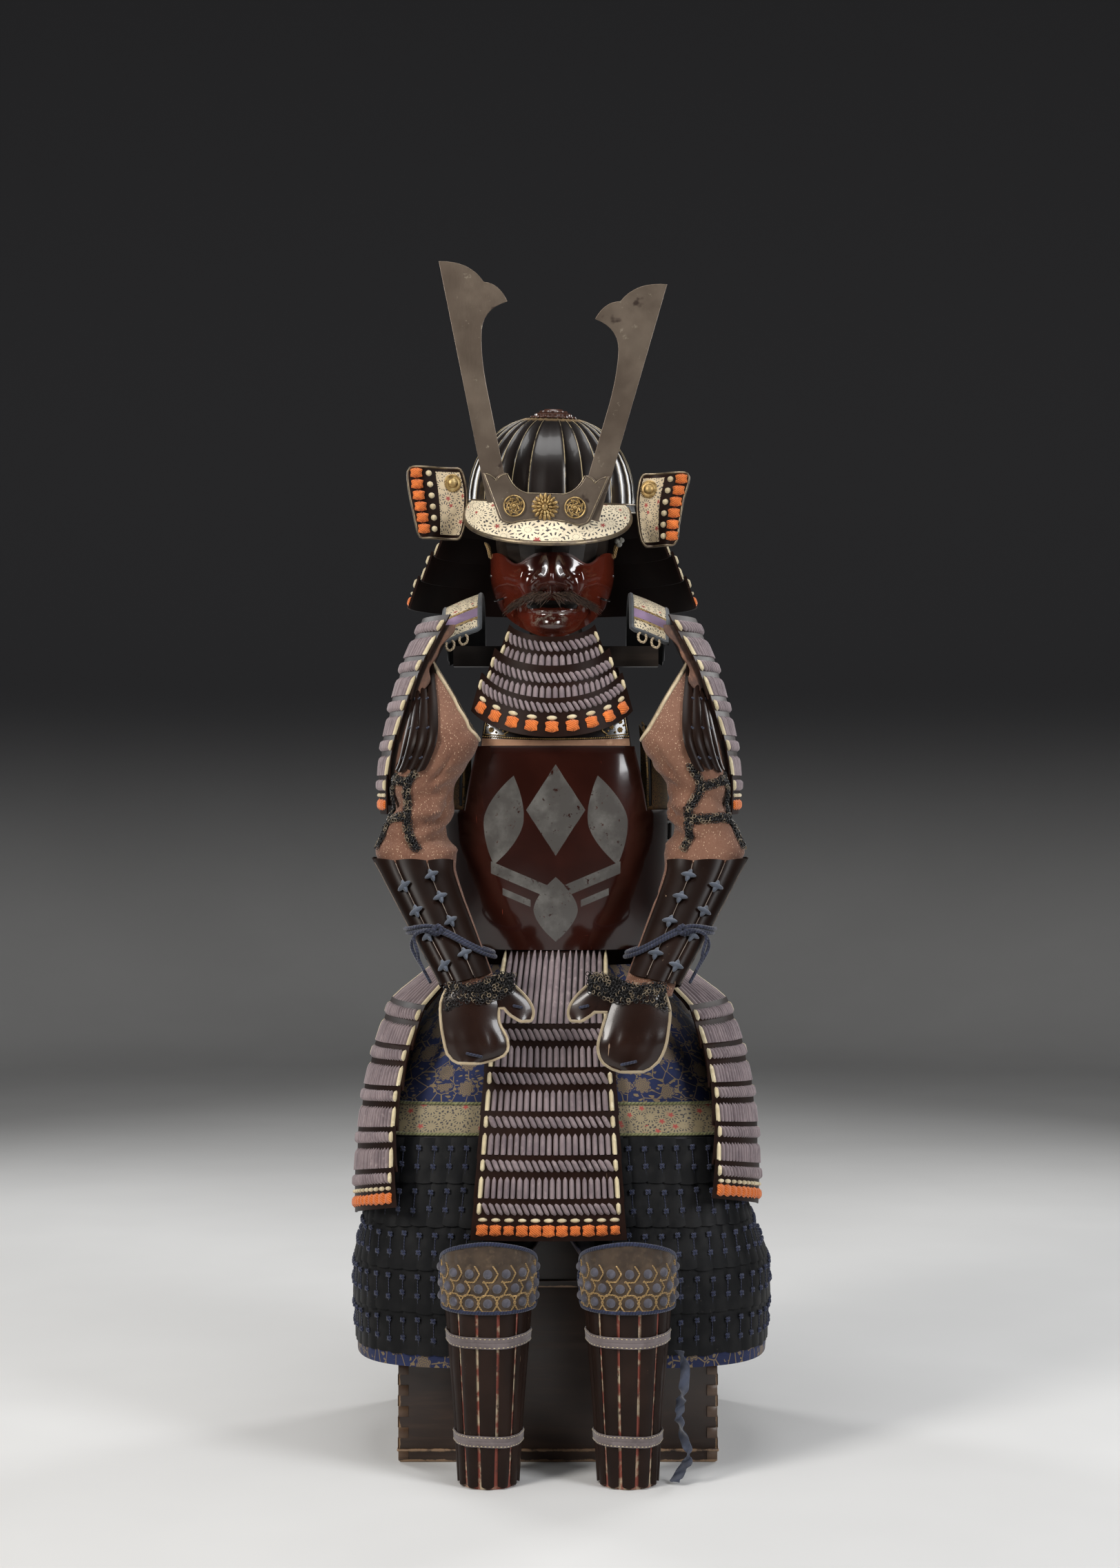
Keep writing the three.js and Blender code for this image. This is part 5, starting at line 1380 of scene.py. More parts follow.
def crest_plate(name, outline, front_y, thick, place, material, nodes=(), bevel=0.8):
    """A flat plate cut to an outline, as a filled curve with a bevelled edge, made a mesh."""
    curve = bpy.data.curves.new(name, "CURVE")
    curve.dimensions = "2D"
    curve.fill_mode = "BOTH"
    curve.extrude = (thick / 2 - bevel) / 1000
    curve.bevel_depth = bevel / 1000
    curve.bevel_resolution = 2
    curve.offset = -bevel / 1000
    spline = curve.splines.new("POLY")
    spline.points.add(len(outline) - 1)
    for point, (x, z) in zip(spline.points, outline):
        point.co = (x / 1000, z / 1000, 0, 1)
    spline.use_cyclic_u = True
    thing = bpy.data.objects.new(name + "_curve", curve)
    bpy.context.collection.objects.link(thing)
    graph = bpy.context.evaluated_depsgraph_get()
    mesh = bpy.data.meshes.new_from_object(thing.evaluated_get(graph))
    bpy.data.objects.remove(thing)
    count = len(mesh.vertices)
    flat = np.empty(count * 3, np.float32)
    mesh.vertices.foreach_get("co", flat)
    flat = flat.reshape(-1, 3) * 1000
    local = np.stack([flat[:, 0], front_y + thick / 2 - flat[:, 2], flat[:, 1]], -1)
    mesh.vertices.foreach_set("co", (place(local) / 1000).ravel().astype(np.float32))
    mesh.materials.clear()
    mesh.update()
    return finish_piece(name, mesh, material, nodes, sharp=35)


def quadratic(start, control, end, count=9):
    t = np.linspace(0, 1, count)[1:, None]
    start, control, end = (np.array(p, float) for p in (start, control, end))
    return (1 - t) ** 2 * start + 2 * t * (1 - t) * control + t ** 2 * end


def path(*steps):
    """An outline from a start point, lines (one point) and curves (control, end)."""
    line = [np.array([steps[0]], float)]
    for step in steps[1:]:
        if isinstance(step[0], tuple):
            line.append(quadratic(line[-1][-1], *step))
        else:
            line.append(np.array([step], float))
    return np.concatenate(line)


def make_crest():
    half, top_half, low, mouth, sheath_low, sheath_top = 59, 84.5, -29, 11.8, 30, 36
    inner = top_half - 30
    side = [
        (half * 0.75, low - 1), (half, low - 1), (half + 3, low + 8), (top_half, sheath_top),
        (top_half - 9, sheath_top), (top_half - 17, sheath_low - 3), (top_half - 20, sheath_top - 1),
        (inner - 1, sheath_top + 1), (inner - 10, mouth + 3), (inner - 28, mouth),
    ]
    right = path((0, low + 4), ((half * 0.6, low + 3), side[0]), (side[1], side[2]), side[3],
                 (side[4], side[5]), (side[6], side[7]), (side[8], side[9]))
    outline = np.concatenate([right, (right * [-1, 1])[::-1][:-1]])
    crest_plate("crest_plate", outline, CREST["y"] - CREST["plate"], CREST["plate"], worn_on_head,
                M_BRONZE, ["crest_holder"])
    trim = Batch()
    inset = outline + unit(np.array([0, 4.0]) - outline) * 2.6
    line = points(inset[:, 0], CREST["y"] - CREST["plate"] - 0.1, inset[:, 1])
    trim.tube(worn_on_head(line), 0.8, 6, closed=True)
    trim.make("crest_plate_line", M_EDGE, "gilt")
    for name, hand in SIDES:
        lean, sunk = HORNS[name]
        shape = path((0, -32), (0, 291.7), ((-hand * 41, 284), (-hand * 53, 253.6)),
                     ((-hand * 73, 248), (-hand * 78.7, 222.4)), ((-hand * 42, 220), (-hand * 36, 185)),
                     ((-hand * 30, 158), (-hand * 29.5, 120)), (-hand * 30, -3), (-hand * 26, -32))
        turn = turn_matrix("y", hand * lean)

        def place(local, hand=hand, sunk=sunk, turn=turn):
            y = local[:, 1:2] * 0
            moved = np.concatenate([local[:, :1], y, local[:, 2:] - sunk], 1) @ turn.T
            moved[:, 1] += local[:, 1]
            moved += np.array([hand * CREST["base_x"], 0, CREST["base_z"]])
            return worn_on_head(moved)

        crest_plate(f"horn_{name}", shape, CREST["y"] + 0.3, CREST["horn"], place, M_BRONZE,
                    [f"crest_horn_{name}"], bevel=0.5)
    make_bosses()


M_BRONZE = bronze_paint()


def make_bosses():
    front = CREST["y"] - CREST["plate"] - 0.3
    gilt, dark = Batch(), Batch()

    def disc(batch, x, z, radius, height, base=0.0, lobes=0, depth=0.0, rings=8):
        turn = np.linspace(0, 2 * PI, 6 * max(lobes, 8) + 1)
        rise = np.linspace(0.03, 1, rings)
        t, r = np.meshgrid(turn, rise)
        wave = 1 + depth * (np.abs(np.sin(t * lobes / 2)) - 1) * r if lobes else 1
        groove = 0.25 * (1 - np.abs(np.sin(t * lobes / 2))) * (lobes > 0)
        up = height * np.sqrt(np.maximum(1 - r ** 3, 0)) * (1 - groove)
        rr = radius * r * wave
        local = points(x + rr * np.sin(t), front - base - up, z - rr * np.cos(t))
        maps = np.stack([t / (2 * PI), r], -1)
        batch._sheet(worn_on_head(local), maps, flip=True)

    for x, radius in ((-41, 14.5), (40, 14.5)):
        disc(dark, x, -6.4, radius - 0.6, 1.6)
        ring = np.linspace(0, 2 * PI, 33)[:-1]
        for r, thick in ((radius - 1.0, 1.0), (4.2, 0.8)):
            line = points(x + r * np.sin(ring), front - 2.2, -6.4 + r * np.cos(ring))
            gilt.tube(worn_on_head(line), thick, 6, closed=True)
        for k in range(8):
            angle = 2 * PI * k / 8
            t = np.linspace(0, 1, 16)
            r = 5.2 + 6.6 * t
            swing = angle + 0.55 * np.sin(t * 5.5)
            line = points(x + r * np.sin(swing), front - 2.4 - 0.8 * np.sin(PI * t), -6.4 + r * np.cos(swing))
            gilt.tube(worn_on_head(line), 0.85, 6)
            spot = angle + 0.42
            curl = np.linspace(0, 1.6 * PI, 12)
            cx, cz = x + 9.6 * math.sin(spot), -6.4 + 9.6 * math.cos(spot)
            line = points(cx + 1.7 * np.sin(curl), front - 2.6, cz + 1.7 * np.cos(curl))
            gilt.tube(worn_on_head(line), 0.65, 5)
        disc(gilt, x, -6.4, 3.2, 2.6, base=2.0)
    disc(dark, 0, -6.4, 17.8, 1.4)
    for radius, count, size, base in ((13.2, 16, (2.5, 5.2), 1.2), (7.6, 12, (1.9, 3.6), 3.4)):
        for k in range(count):
            angle = 2 * PI * k / count
            out = np.array([math.sin(angle), 0, math.cos(angle)])
            across = np.array([math.cos(angle), 0, -math.sin(angle)])
            at = np.array([0, front - base, -6.4]) + out * radius
            way = np.array([0, -1.0, 0])
            frame_ = (across * size[0], out * size[1], way * 2.4)
            gilt.scatter(DOME, worn_on_head(at), *(side @ HELMET_TURN.T for side in frame_))
    disc(gilt, 0, -6.4, 4.6, 3.4, base=4.4)
    gilt.make("crest_bosses", M_GILT, "gilt", ["crest_boss_right", "crest_boss_middle", "crest_boss_left"])
    dark.make("crest_boss_grounds", M_BRONZE, "bronze")


# ------------------------------------------------------------------ neck guard
TURNBACKS = {
    "right": table("z left right", (1231, -184, -133), (1240, -189, -127), (1262, -194, -122),
                   (1295, -201, -120), (1323, -203, -126), (1331, -197, -132)),
    "left": table("z left right", (1221, 124, 160), (1230, 117, 166), (1252, 112, 169),
                  (1284, 110, 175), (1315, 115, 183), (1323, 121, 178)),
}


def make_turnbacks():
    plates, leather, rims, boss, cream, orange = (Batch() for _ in range(6))
    for name, hand in SIDES:
        rows = TURNBACKS[name]
        low, high = rows["z"][0], rows["z"][-1]

        def face(u, v, rows=rows, hand=hand, low=low, high=high):
            u, v = arrays(u, v)
            z = mix(low, high, v)
            x = mix(read(rows, z, "left"), read(rows, z, "right"), u)
            outward = u if hand > 0 else 1 - u
            return points(x, -57 - 18 * outward + 5 * np.sin(2 * PI * outward), z)

        us, vs = np.linspace(0, 1, 25), np.linspace(0, 1, 21)
        plates.shell(face, us, vs, 2.8, uv=lambda u, v: (u * 0.08, v * 0.1))
        lift = raised(face, 1.0)
        span = (0.07, 0.5) if hand > 0 else (0.5, 0.93)
        leather.shell(lambda u, v, lift=lift, span=span: lift(mix(*span, u), mix(0.07, 0.93, v)), us, vs, 0.9,
                      uv=lambda u, v: (u * 0.035, v * 0.09))
        around = border(face, (0.02, 0.03, 20), (0.06, 14), (0.985, 0.015))
        rims.tube(around, 1.7, 8, closed=True)
        spot_u, spot_v = (0.24, 0.78) if hand > 0 else (0.76, 0.78)
        at = raised(face, 1.8)(np.float64(spot_u), np.float64(spot_v))
        way = normal(face, np.float64(spot_u), np.float64(spot_v))
        across = level(way)
        up = np.cross(way, across)
        boss.scatter(ball(9, 24), at, across * 12.5, up * 12.5, way * 2.4)
        boss.scatter(ball(9, 20), at + way * 1.2, across * 7.5, up * 7.5, way * 5.4)
        t = np.linspace(0, 2 * PI, 33)[:-1]
        for k in t:
            spot = at + (across * math.cos(k) + up * math.sin(k)) * 10.6 + way * 1.2
            along = -across * math.sin(k) + up * math.cos(k)
            out = across * math.cos(k) + up * math.sin(k)
            boss.scatter(DOME, spot, along * 0.8 + out * 0.5, out * 1.5, way * 1.3)
        v = np.linspace(0.14, 0.9, 6)
        for batch, shape, u_at, size in (
            (cream, DOME, 0.62, (4.6, 4.0, 3.4)), (orange, KNOT, 0.83, (7.2, 5.6, 5.0)),
        ):
            u = np.full(6, u_at if hand > 0 else 1 - u_at)
            way = normal(face, u, v)
            batch.put(shape, raised(face, 0.8)(u, v), level(way), way, size)
    plates.make("turnback_plates", M_LAME, "brown_lacquer", ["turnback_right", "turnback_left"])
    leather.make("turnback_leather", M_TURNBACK, "printed_leather")
    rims.make("turnback_rims", M_EDGE, "gilt")
    boss.make("turnback_bosses", M_GILT, "gilt")
    cream.make("turnback_cords", M_CREAM, "grey_lacing")
    orange.make("turnback_knots", M_ORANGE, "grey_lacing")


M_TURNBACK = printed_leather("turnback_leather", (0.52, 0.41, 0.26), 60.0)
NECK = ((1287, 1248, 4, 24), (1255, 1214, 26.5, 42), (1221, 1180, 46, 60), (1187, 1142, 64.5, 79))


def neck_face(row):
    top, foot, top_out, foot_out = row

    def surface(u, v):
        u, v = arrays(u, v)
        turn = mix(rad(92), rad(268), u)
        out = mix(foot_out, top_out, v)
        x, y = rim(turn, 122 + out, 133 + out)
        return points(-5 + x, -8 + y, mix(foot, top, v))

    return surface


def make_neck_guard():
    plates, edges, grey, cream, orange = (Batch() for _ in range(5))
    for i, row in enumerate(NECK):
        face = neck_face(row)
        plates.shell(face, np.linspace(0, 1, 65), np.linspace(0, 1, 5), 3.0)
        edges.tube(face(np.linspace(0, 1, 65), np.full(65, 0.015)) , 1.5, 6)
        length = PI * (130 + (row[2] + row[3]) / 2) * 0.98
        count = int(length / 9)
        centres = (np.arange(count) + 0.5) / count
        half = 4.0 / length
        out = raised(face, 0.4)
        if i == 0:
            laces(grey, out, centres[1:-1], half * 0.95, 0.03, 0.3, 3.4, lean=8 / length, jitter=0.05)
            laces(grey, out, centres[1:-1], half * 0.9, 0.42, 0.95, 3.2, point="top", jitter=0.05)
            continue
        last = i == 3
        if last:
            laces(grey, out, centres[1:-1], half * 0.95, 0.62, 0.9, 3.6, lean=8 / length, jitter=0.05)
            laces(cream, out, centres[[0, -1]], half * 0.9, 0.62, 0.9, 3.4)
            few = (np.arange(count // 2) + 0.5) / (count // 2)
            for batch, shape, share, size in ((cream, DOME, 0.45, (6, 2.7, 3)),
                                              (orange, KNOT, 0.2, (6.6, 6, 4))):
                v = np.full(len(few), share)
                batch.put(shape, raised(face, 0.5)(few, v), along(face, few, v), normal(face, few, v), size)
        else:
            laces(grey, out, centres[1:-1], half * 0.95, 0.55, 0.86, 3.6, lean=8 / length, jitter=0.05)
            laces(cream, out, centres[[0, -1]], half * 0.9, 0.55, 0.86, 3.4)
            laces(grey, out, centres[1:-1], half * 0.9, 0.02, 0.46, 3.2, point="top", jitter=0.05)
            laces(cream, out, centres[[0, -1]], half * 0.8, 0.02, 0.46, 3.0, point="top")
    plates.make("neck_plates", M_LAME, "brown_lacquer", [f"neck_lame_{i}" for i in range(1, 5)])
    edges.make("neck_edges", M_BROWN, "brown_lacquer")
    grey.make("neck_lacing", M_LACING, "grey_lacing")
    cream.make("neck_ends", M_CREAM, "grey_lacing")
    orange.make("neck_knots", M_ORANGE, "grey_lacing")


# ------------------------------------------------------------------ half mask
MASK = dict(x=-5, y=-6, half=86, depth=100, reach=98, chin=1095)
MOUTH = dict(half=35, low=1134.5, high=1143)


def mask_top(u):
    x = u * MASK["reach"]
    return 1214 - 18 * bump_at(np.abs(x) - 34, 15) - 5 * bump_at(x, 14)


def mask_low(u):
    return MASK["chin"] + 62 * np.abs(u) ** 1.8


# Hammered ridges of one half of the mask: the line, its width and height.
MASK_RIDGES = (
    (((13, 1149), (21, 1150), (28, 1156), (28, 1165), (20, 1173)), 4.0, 6.0),
    (((26, 1146), (36, 1154), (42, 1164), (44, 1175), (40, 1184)), 5.5, 3.2),
    (((52, 1176), (62, 1180), (74, 1179), (86, 1174)), 3.2, 2.4),
    (((50, 1166), (62, 1171), (74, 1170), (86, 1165)), 3.2, 2.4),
    (((20, 1186), (26, 1181), (34, 1181)), 4.0, -2.0),
    (((38, 1147), (46, 1139), (48, 1129), (42, 1121)), 5.0, 2.6),
    (((0, 1126), (14, 1127), (27, 1131)), 4.5, -2.6),
    (((8, 1150), (16, 1146), (30, 1146)), 4.0, 1.8),
    (((0, 1131), (14, 1131), (26, 1132.5), (35, 1137)), 3.6, 4.2),
    (((0, 1180), (1, 1196), (3, 1206)), 7.0, 2.4),
)


def mask_face(u, v):
    u, v = arrays(u, v)
    turn = rad(MASK["reach"]) * u
    z = mix(mask_low(u), mask_top(u), v)
    jaw = 1 - 0.38 * clamp((1185 - z) / 85) ** 1.5
    side = MASK["half"] * jaw * np.sin(turn)
    a = np.abs(side)
    spread = 15 + 7 * clamp((1190 - z) / 40)
    nose = 40 * bump_at(side, spread) * bump_at(z - 1168, np.where(z > 1168, 38, 13))
    form = 15 * bump_at(side, 30) * bump_at(z - 1112, 17) - 5 * bump_at(side, 42) * bump_at(z - 1138, 11)
    form = form + 6 * bump_at(side, 34) * bump_at(z - 1151, 8)
    form = form + 7 * bump_at(a - 46, 20) * bump_at(z - 1172, 18)
    nostril = -9 * bump_at(a - 11, 5) * bump_at(z - 1156, 4.5)
    for line, width, height in MASK_RIDGES:
        distance, _ = polyline_distance(a, z, line)
        form = form + height * bump_at(distance, width)
    depth = MASK["depth"] * mix(1, jaw, 0.4)
    flange = 3.0 * clamp((np.abs(u) - 0.93) / 0.07) + 1.6 * clamp((v - 0.965) / 0.035)
    return points(MASK["x"] + side, MASK["y"] - (depth * np.cos(turn) + nose + form + nostril + flange), z)


def mask_paint():
    p = lacquer("mask_lacquer", (0.062, 0.0095, 0.0045), (0.3, 0.19, 0.12), rough=0.14, chips=0.45, coat=0.8,
                level=0.4)
    x, y, z = p.parts(p.place)
    worn = p.both(p.step(abs(z - 1.121), 0.013, 0.004),
                  p.step(abs(x - -0.008), 0.03, 0.008),
                  p.step(y, -0.05, -0.09))
    p.tint(p.both(worn, p.step(p.noise(130, 5, 0.7), 0.47, 0.6)), (0.45, 0.4, 0.33))
    middle = p.step(abs(x + 0.005), 0.05, 0.02)
    cloud = 0.45 + p.noise(16, 3) * 0.6
    p.tint(p.both(middle, p.step(y, -0.09, -0.105), cloud), (0.02, 0.0055, 0.004))
    return p.done()


def holed_shell(batch, surface, us, vs, thick, hole):
    """A wall with a window: the cells whose middle answers hole(place) are left out and edged."""
    wall = Batch().shell(surface, us, vs, thick)
    places, quads, maps = wall.places[0], wall.quads[0], wall.maps[0]
    rows, columns = len(vs), len(us)
    cells = (rows - 1) * (columns - 1)
    middle = places[quads[:cells]].mean(1)
    cut = hole(middle)
    keep = np.ones(len(quads), bool)
    keep[:2 * cells] = ~np.r_[cut, cut]
    batch.add(places, quads[keep], maps[keep])
    grid = cut.reshape(rows - 1, columns - 1)
    total = rows * columns
    extra = []
    for i, j in zip(*np.nonzero(grid)):
        base = i * columns + j
        corners = {(-1, 0): (base, base + 1), (1, 0): (base + columns + 1, base + columns),
                   (0, -1): (base + columns, base), (0, 1): (base + 1, base + columns + 1)}
        for (di, dj), (a, b) in corners.items():
            if not grid[i + di, j + dj]:
                extra.append((b, a, a + total, b + total))
    last = batch.count - len(places)
    batch.quads.append(np.array(extra) + last)
    batch.maps.append(np.zeros((len(extra), 4, 2)))
    return batch


def make_mask():
    us = np.unique(np.r_[np.linspace(-1, -0.5, 22), np.linspace(-0.5, 0.5, 89), np.linspace(0.5, 1, 22)])
    vs = np.unique(np.r_[np.linspace(0, 1, 69), 0.965, 0.985])

    def hole(middle):
        x, z = middle[:, 0] - MASK["x"], middle[:, 2]
        low = MOUTH["low"] + 1.5 * (1 - (x / 35) ** 2)
        high = MOUTH["high"] + 2.5 * (1 - (x / 35) ** 2)
        return (np.abs(x) < MOUTH["half"]) & (z > low) & (z < high) & (middle[:, 1] < -60)

    holed_shell(Batch(), mask_face, us, vs, 2.3, hole).make(
        "mask_plate", mask_paint(), "russet_lacquer", ["mask"])
    fittings, cord = Batch(), Batch()
    for hand in (-1, 1):
        u, v = np.float64(hand * 0.6), np.float64(0.34)
        at, way = mask_face(u, v), normal(mask_face, u, v)
        side = level(way) * hand
        fittings.tube(np.array([at, at + way * 7, at + way * 8.5 + side * 1.5, at + way * 9 + side * 10]),
                      1.5, 8)
        u, v = np.float64(hand * 0.80), np.float64(0.62)
        at, way = mask_face(u, v), normal(mask_face, u, v)
        fittings.scatter(ball(5, 10), at - way * 0.5, level(way) * 2.2, [0, 0, 2.2], way * 2.2)
        root = mask_face(np.float64(hand * 0.82), np.float64(0.97))
        way = np.array([hand * 0.3, -1.0, 0])
        swing = np.array([(0, 0, -3), (1, -3, 2), (3, -5, 10), (6, -4, 17), (2, 0, 14), (0, 2, 5),
                          (0, 3, -2)])
        for shift in (0, 2.2):
            start = root + np.array([hand * shift, 0, shift * 0.6])
            cord.tube(smooth_line(start + swing * np.array([hand, 1, 1]), 24), 1.1, 6)
    fittings.make("mask_pegs", M_BLACK, "black_lacquer")
    cord.make("mask_cord_loops", M_CORD_OCHRE, "indigo_cord")
    knot = Batch()
    for dx, dz in ((0, 0), (5, 1.5), (2, -4)):
        knot.scatter(ball(6, 12), (84 + dx, -92, 1226 + dz), (4.2, 0, 0), (0, 1, 4.0), (0, -4, 0))
    knot.make("chin_cord_knot", M_KNOT_GREY, "indigo_cord")
    make_moustache()


def make_moustache():
    hair = Batch()
    count = 430
    share = RNG.uniform(-0.97, 0.97, count)
    row = RNG.uniform(-1, 1, count)
    u = 0.48 * share
    z = 1154.5 - 19 * np.abs(share) ** 2.2 + row * 3.4
    v = (z - mask_low(u)) / (mask_top(u) - mask_low(u))
    at, way = mask_face(u, v), normal(mask_face, u, v)
    length = RNG.uniform(8, 19, count) * (1 - 0.25 * np.abs(share))
    droop = np.where(np.abs(share) < 0.15, 0.5, 1.0)
    fan = np.sign(share) * (0.55 + 0.75 * np.abs(share))
    side = np.stack([fan + RNG.normal(0, 0.2, count), RNG.normal(0, 0.05, count),
                     -0.34 * droop + RNG.normal(0, 0.16, count)], -1)
    side = unit(side)
    for k in range(count):
        t = np.linspace(0, 1, 5)[:, None]
        line = (at[k] + way[k] * (1.2 + 3.8 * np.sin(PI * (0.15 + 0.6 * t)) + RNG.uniform(0, 1.6))
                + side[k] * length[k] * t + np.array([0, 0, -4.0]) * t ** 2)
        hair.tube(line, np.array([0.42, 0.42, 0.38, 0.28, 0.1]), 4)
    hair.make("moustache_hair", M_HAIR, "hair", ["moustache"])


def hair_paint():
    p = Paint("moustache_hair", (0.075, 0.045, 0.03), 0.55, level=0.3)
    p.tint(p.step(p.noise(420, 2), 0.4, 0.6), (0.025, 0.015, 0.011))
    p.tint(p.step(p.noise(700, 2), 0.66, 0.78), (0.2, 0.145, 0.1))
    return p.done()


M_HAIR = hair_paint()
M_CORD_OCHRE = plain_cord_paint("ochre_cord", (0.36, 0.23, 0.09), 300.0)
M_KNOT_GREY = plain_cord_paint("grey_cord", (0.24, 0.23, 0.19), 260.0)

# ------------------------------------------------------------------ throat guard
THROAT = (
    dict(z=(1051, 1096), half=(84, 66), front=(124, 108), rise=18, rope=(1075, 1089), low=1047.5, head=1071),
    dict(z=(1007, 1056), half=(104, 88), front=(141, 129), rise=26, rope=(1032, 1046), low=1003.5, head=1028),
    dict(z=(960, 1012), half=(124, 108), front=(158, 146), rise=36, rope=(992, 1005.5), low=None, head=None),
)


def throat_face(lame):
    def surface(u, v):
        u, v = arrays(u, v)
        half, front = mix(*lame["half"], v), mix(*lame["front"], v)
        back = half * 0.82 * (1 - np.cos(rad(62) * u))
        z = mix(*lame["z"], v) + lame["rise"] * u * u
        return points(MASK["x"] + half * np.sin(rad(62) * u), back - front, z)

    return surface


def make_throat_guard():
    plates, grey, cream, orange = (Batch() for _ in range(4))
    us = np.linspace(-1, 1, 33)
    for lame in THROAT:
        face = throat_face(lame)
        foot, top = lame["z"]

        def share(z, foot=foot, top=top):
            return (z - foot) / (top - foot)

        plates.shell(face, us, np.linspace(0, 1, 6), 2.8, uv=lambda u, v: (u * 0.1, v * 0.045))
        middle = face(steps(60, -1), np.full(60, 0.5))
        wide = float(np.linalg.norm(np.diff(middle, axis=0), axis=1).sum())
        count = int(round((wide - 6) / 8.4))
        centres = ((np.arange(count) + 0.5) / count * 2 - 1) * (1 - 4 / wide)
        scale = 2 / wide
        low, high = lame["rope"]
        out = raised(face, 0.6)
        laces(grey, out, centres[1:-1], 3.3 * scale, share(low), share(high), 4.0, lean=7.0 * scale,
              jitter=0.06)
        laces(cream, out, centres[[0, -1]], 3.0 * scale, share(low), share(high), 3.4)
        if lame["low"]:
            laces(grey, out, centres[1:-1], 3.4 * scale, share(lame["low"]), share(lame["head"]), 3.3,
                  point="top", jitter=0.07)
            laces(cream, out, centres[[0, -1]], 3.0 * scale, share(lame["low"]), share(lame["head"]), 3.0,
                  point="top")
            continue
        count = 9
        spots = ((np.arange(count) + 0.5) / count * 2 - 1) * 0.96
        for batch, shape, z, size in ((cream, DOME, 985, (7, 3, 3)), (orange, KNOT, 973.5, (7.8, 6.6, 4.6))):
            v = np.full(count, share(z))
            batch.put(shape, out(spots, v), along(face, spots, v), normal(face, spots, v), size)
    plates.make("throat_plates", M_LAME, "brown_lacquer", ["throat_lame_1", "throat_lame_2", "throat_lame_3"])
    grey.make("throat_lacing", M_LACING, "grey_lacing")
    cream.make("throat_ends", M_CREAM, "grey_lacing")
    orange.make("throat_knots", M_ORANGE, "grey_lacing")


# ------------------------------------------------------------------ sleeves
ARM = table(
    "z x y half_x half_y",
    (612, 104, -240, 31, 24), (640, 113, -227, 34, 27), (700, 143, -186, 40, 34), (780, 181, -138, 48, 41),
    (806, 188, -124, 54, 46), (830, 190, -118, 44, 46), (860, 178, -116, 42, 46), (895, 177, -118, 41, 43),
    (925, 161, -124, 45, 39), (956, 151, -127, 48, 36), (1000, 151, -102, 39, 38), (1040, 156, -70, 27, 37),
    (1072, 160, -44, 20, 33), (1096, 164, -26, 13, 28),
)
SLEEVE = dict(wrist=618, shoulder=1094, armpit=958)


def sleeve_point(hand, turn, z, out=0.0):
    """A point of a sleeve: turn 0 faces the front and a quarter turn faces outwards."""
    turn, z = arrays(turn, z)
    x, y = rim(turn, read(ARM, z, "half_x") + out, read(ARM, z, "half_y") + out, 2.2)
    shift = 12 if hand > 0 else 0
    return points(hand * (read(ARM, z, "x") + shift + x), read(ARM, z, "y") + y, z)


def creases(turn, z, radius, rows, fade=0.35):
    """The sum of soft troughs (depth < 0) and ridges along short lines of turn and height."""
    total = 0.0
    for turn0, z0, turn1, z1, width, depth in rows:
        a = ((turn - rad(turn0) + PI) % (2 * PI) - PI) * radius
        b = z - z0
        along, rise = rad(turn1 - turn0) * radius, z1 - z0
        s = clamp((a * along + b * rise) / (along ** 2 + rise ** 2))
        distance = np.hypot(a - s * along, b - s * rise)
        total = total + depth * bump_at(distance, width) * (fade + (1 - fade) * np.sin(PI * s))
    return total


# Creases of a sleeve: turn and height at both ends, width and depth.
SLEEVE_CREASES = (
    (-95, 872, 10, 838, 8, -7), (-80, 898, 35, 872, 7, -5.5), (-120, 846, -30, 824, 6, -5),
    (-60, 856, 20, 858, 6, 4), (40, 884, 120, 848, 9, -5), (70, 842, 160, 826, 8, -4.5),
    (140, 872, 215, 884, 8, -5), (170, 838, 240, 848, 7, -4), (-30, 812, 60, 826, 6, -3.5),
    (-100, 925, -10, 905, 6, -3.5), (20, 925, 95, 940, 7, -3), (-70, 786, 20, 766, 6, -2.5),
    (60, 790, 150, 770, 7, -3), (160, 742, 235, 720, 6, -2.5), (-90, 742, 0, 728, 5, -2),
    (20, 716, 120, 700, 6, -2.2), (120, 670, 220, 684, 5, -2), (-60, 668, 40, 660, 5, -1.8),
    (-100, 990, -40, 965, 7, -3), (-60, 1030, -20, 985, 6, -2.5), (150, 1000, 200, 940, 8, -3),
    (100, 1060, 130, 1000, 7, -2.5), (-30, 958, 40, 948, 6, -2.6), (70, 900, 150, 912, 6, 2.5),
    (-70, 885, -35, 835, 6, -4), (-20, 832, 40, 812, 5, 3.5), (-45, 905, 0, 880, 5, 3),
    (-100, 812, -40, 806, 5, 4), (-88, 890, -22, 862, 3.6, -4.5), (-95, 856, -15, 842, 3.4, -4.5),
    (-70, 826, -8, 818, 3.2, -4), (-100, 836, -62, 818, 3.5, -4), (-40, 868, -14, 852, 4, 3),
    (-60, 846, -25, 832, 4, 3.2), (30, 878, 78, 862, 3.6, -4), (-30, 936, -12, 890, 4, -3.5),
    (95, 896, 150, 872, 4, -4), (190, 862, 250, 846, 4, -4.5), (180, 832, 262, 822, 4, -4),
)


def sleeve_creases(hand, turn, z):
    """The left sleeve has the right one's creases turned and moved a little."""
    turned, lower = (0.35, 9) if hand > 0 else (0, 0)
    return creases(turn + turned, z - lower, 45, SLEEVE_CREASES)


def sleeve_top(turn):
    return mix(SLEEVE["shoulder"], SLEEVE["armpit"], ((1 - np.sin(turn)) / 2) ** 1.5)


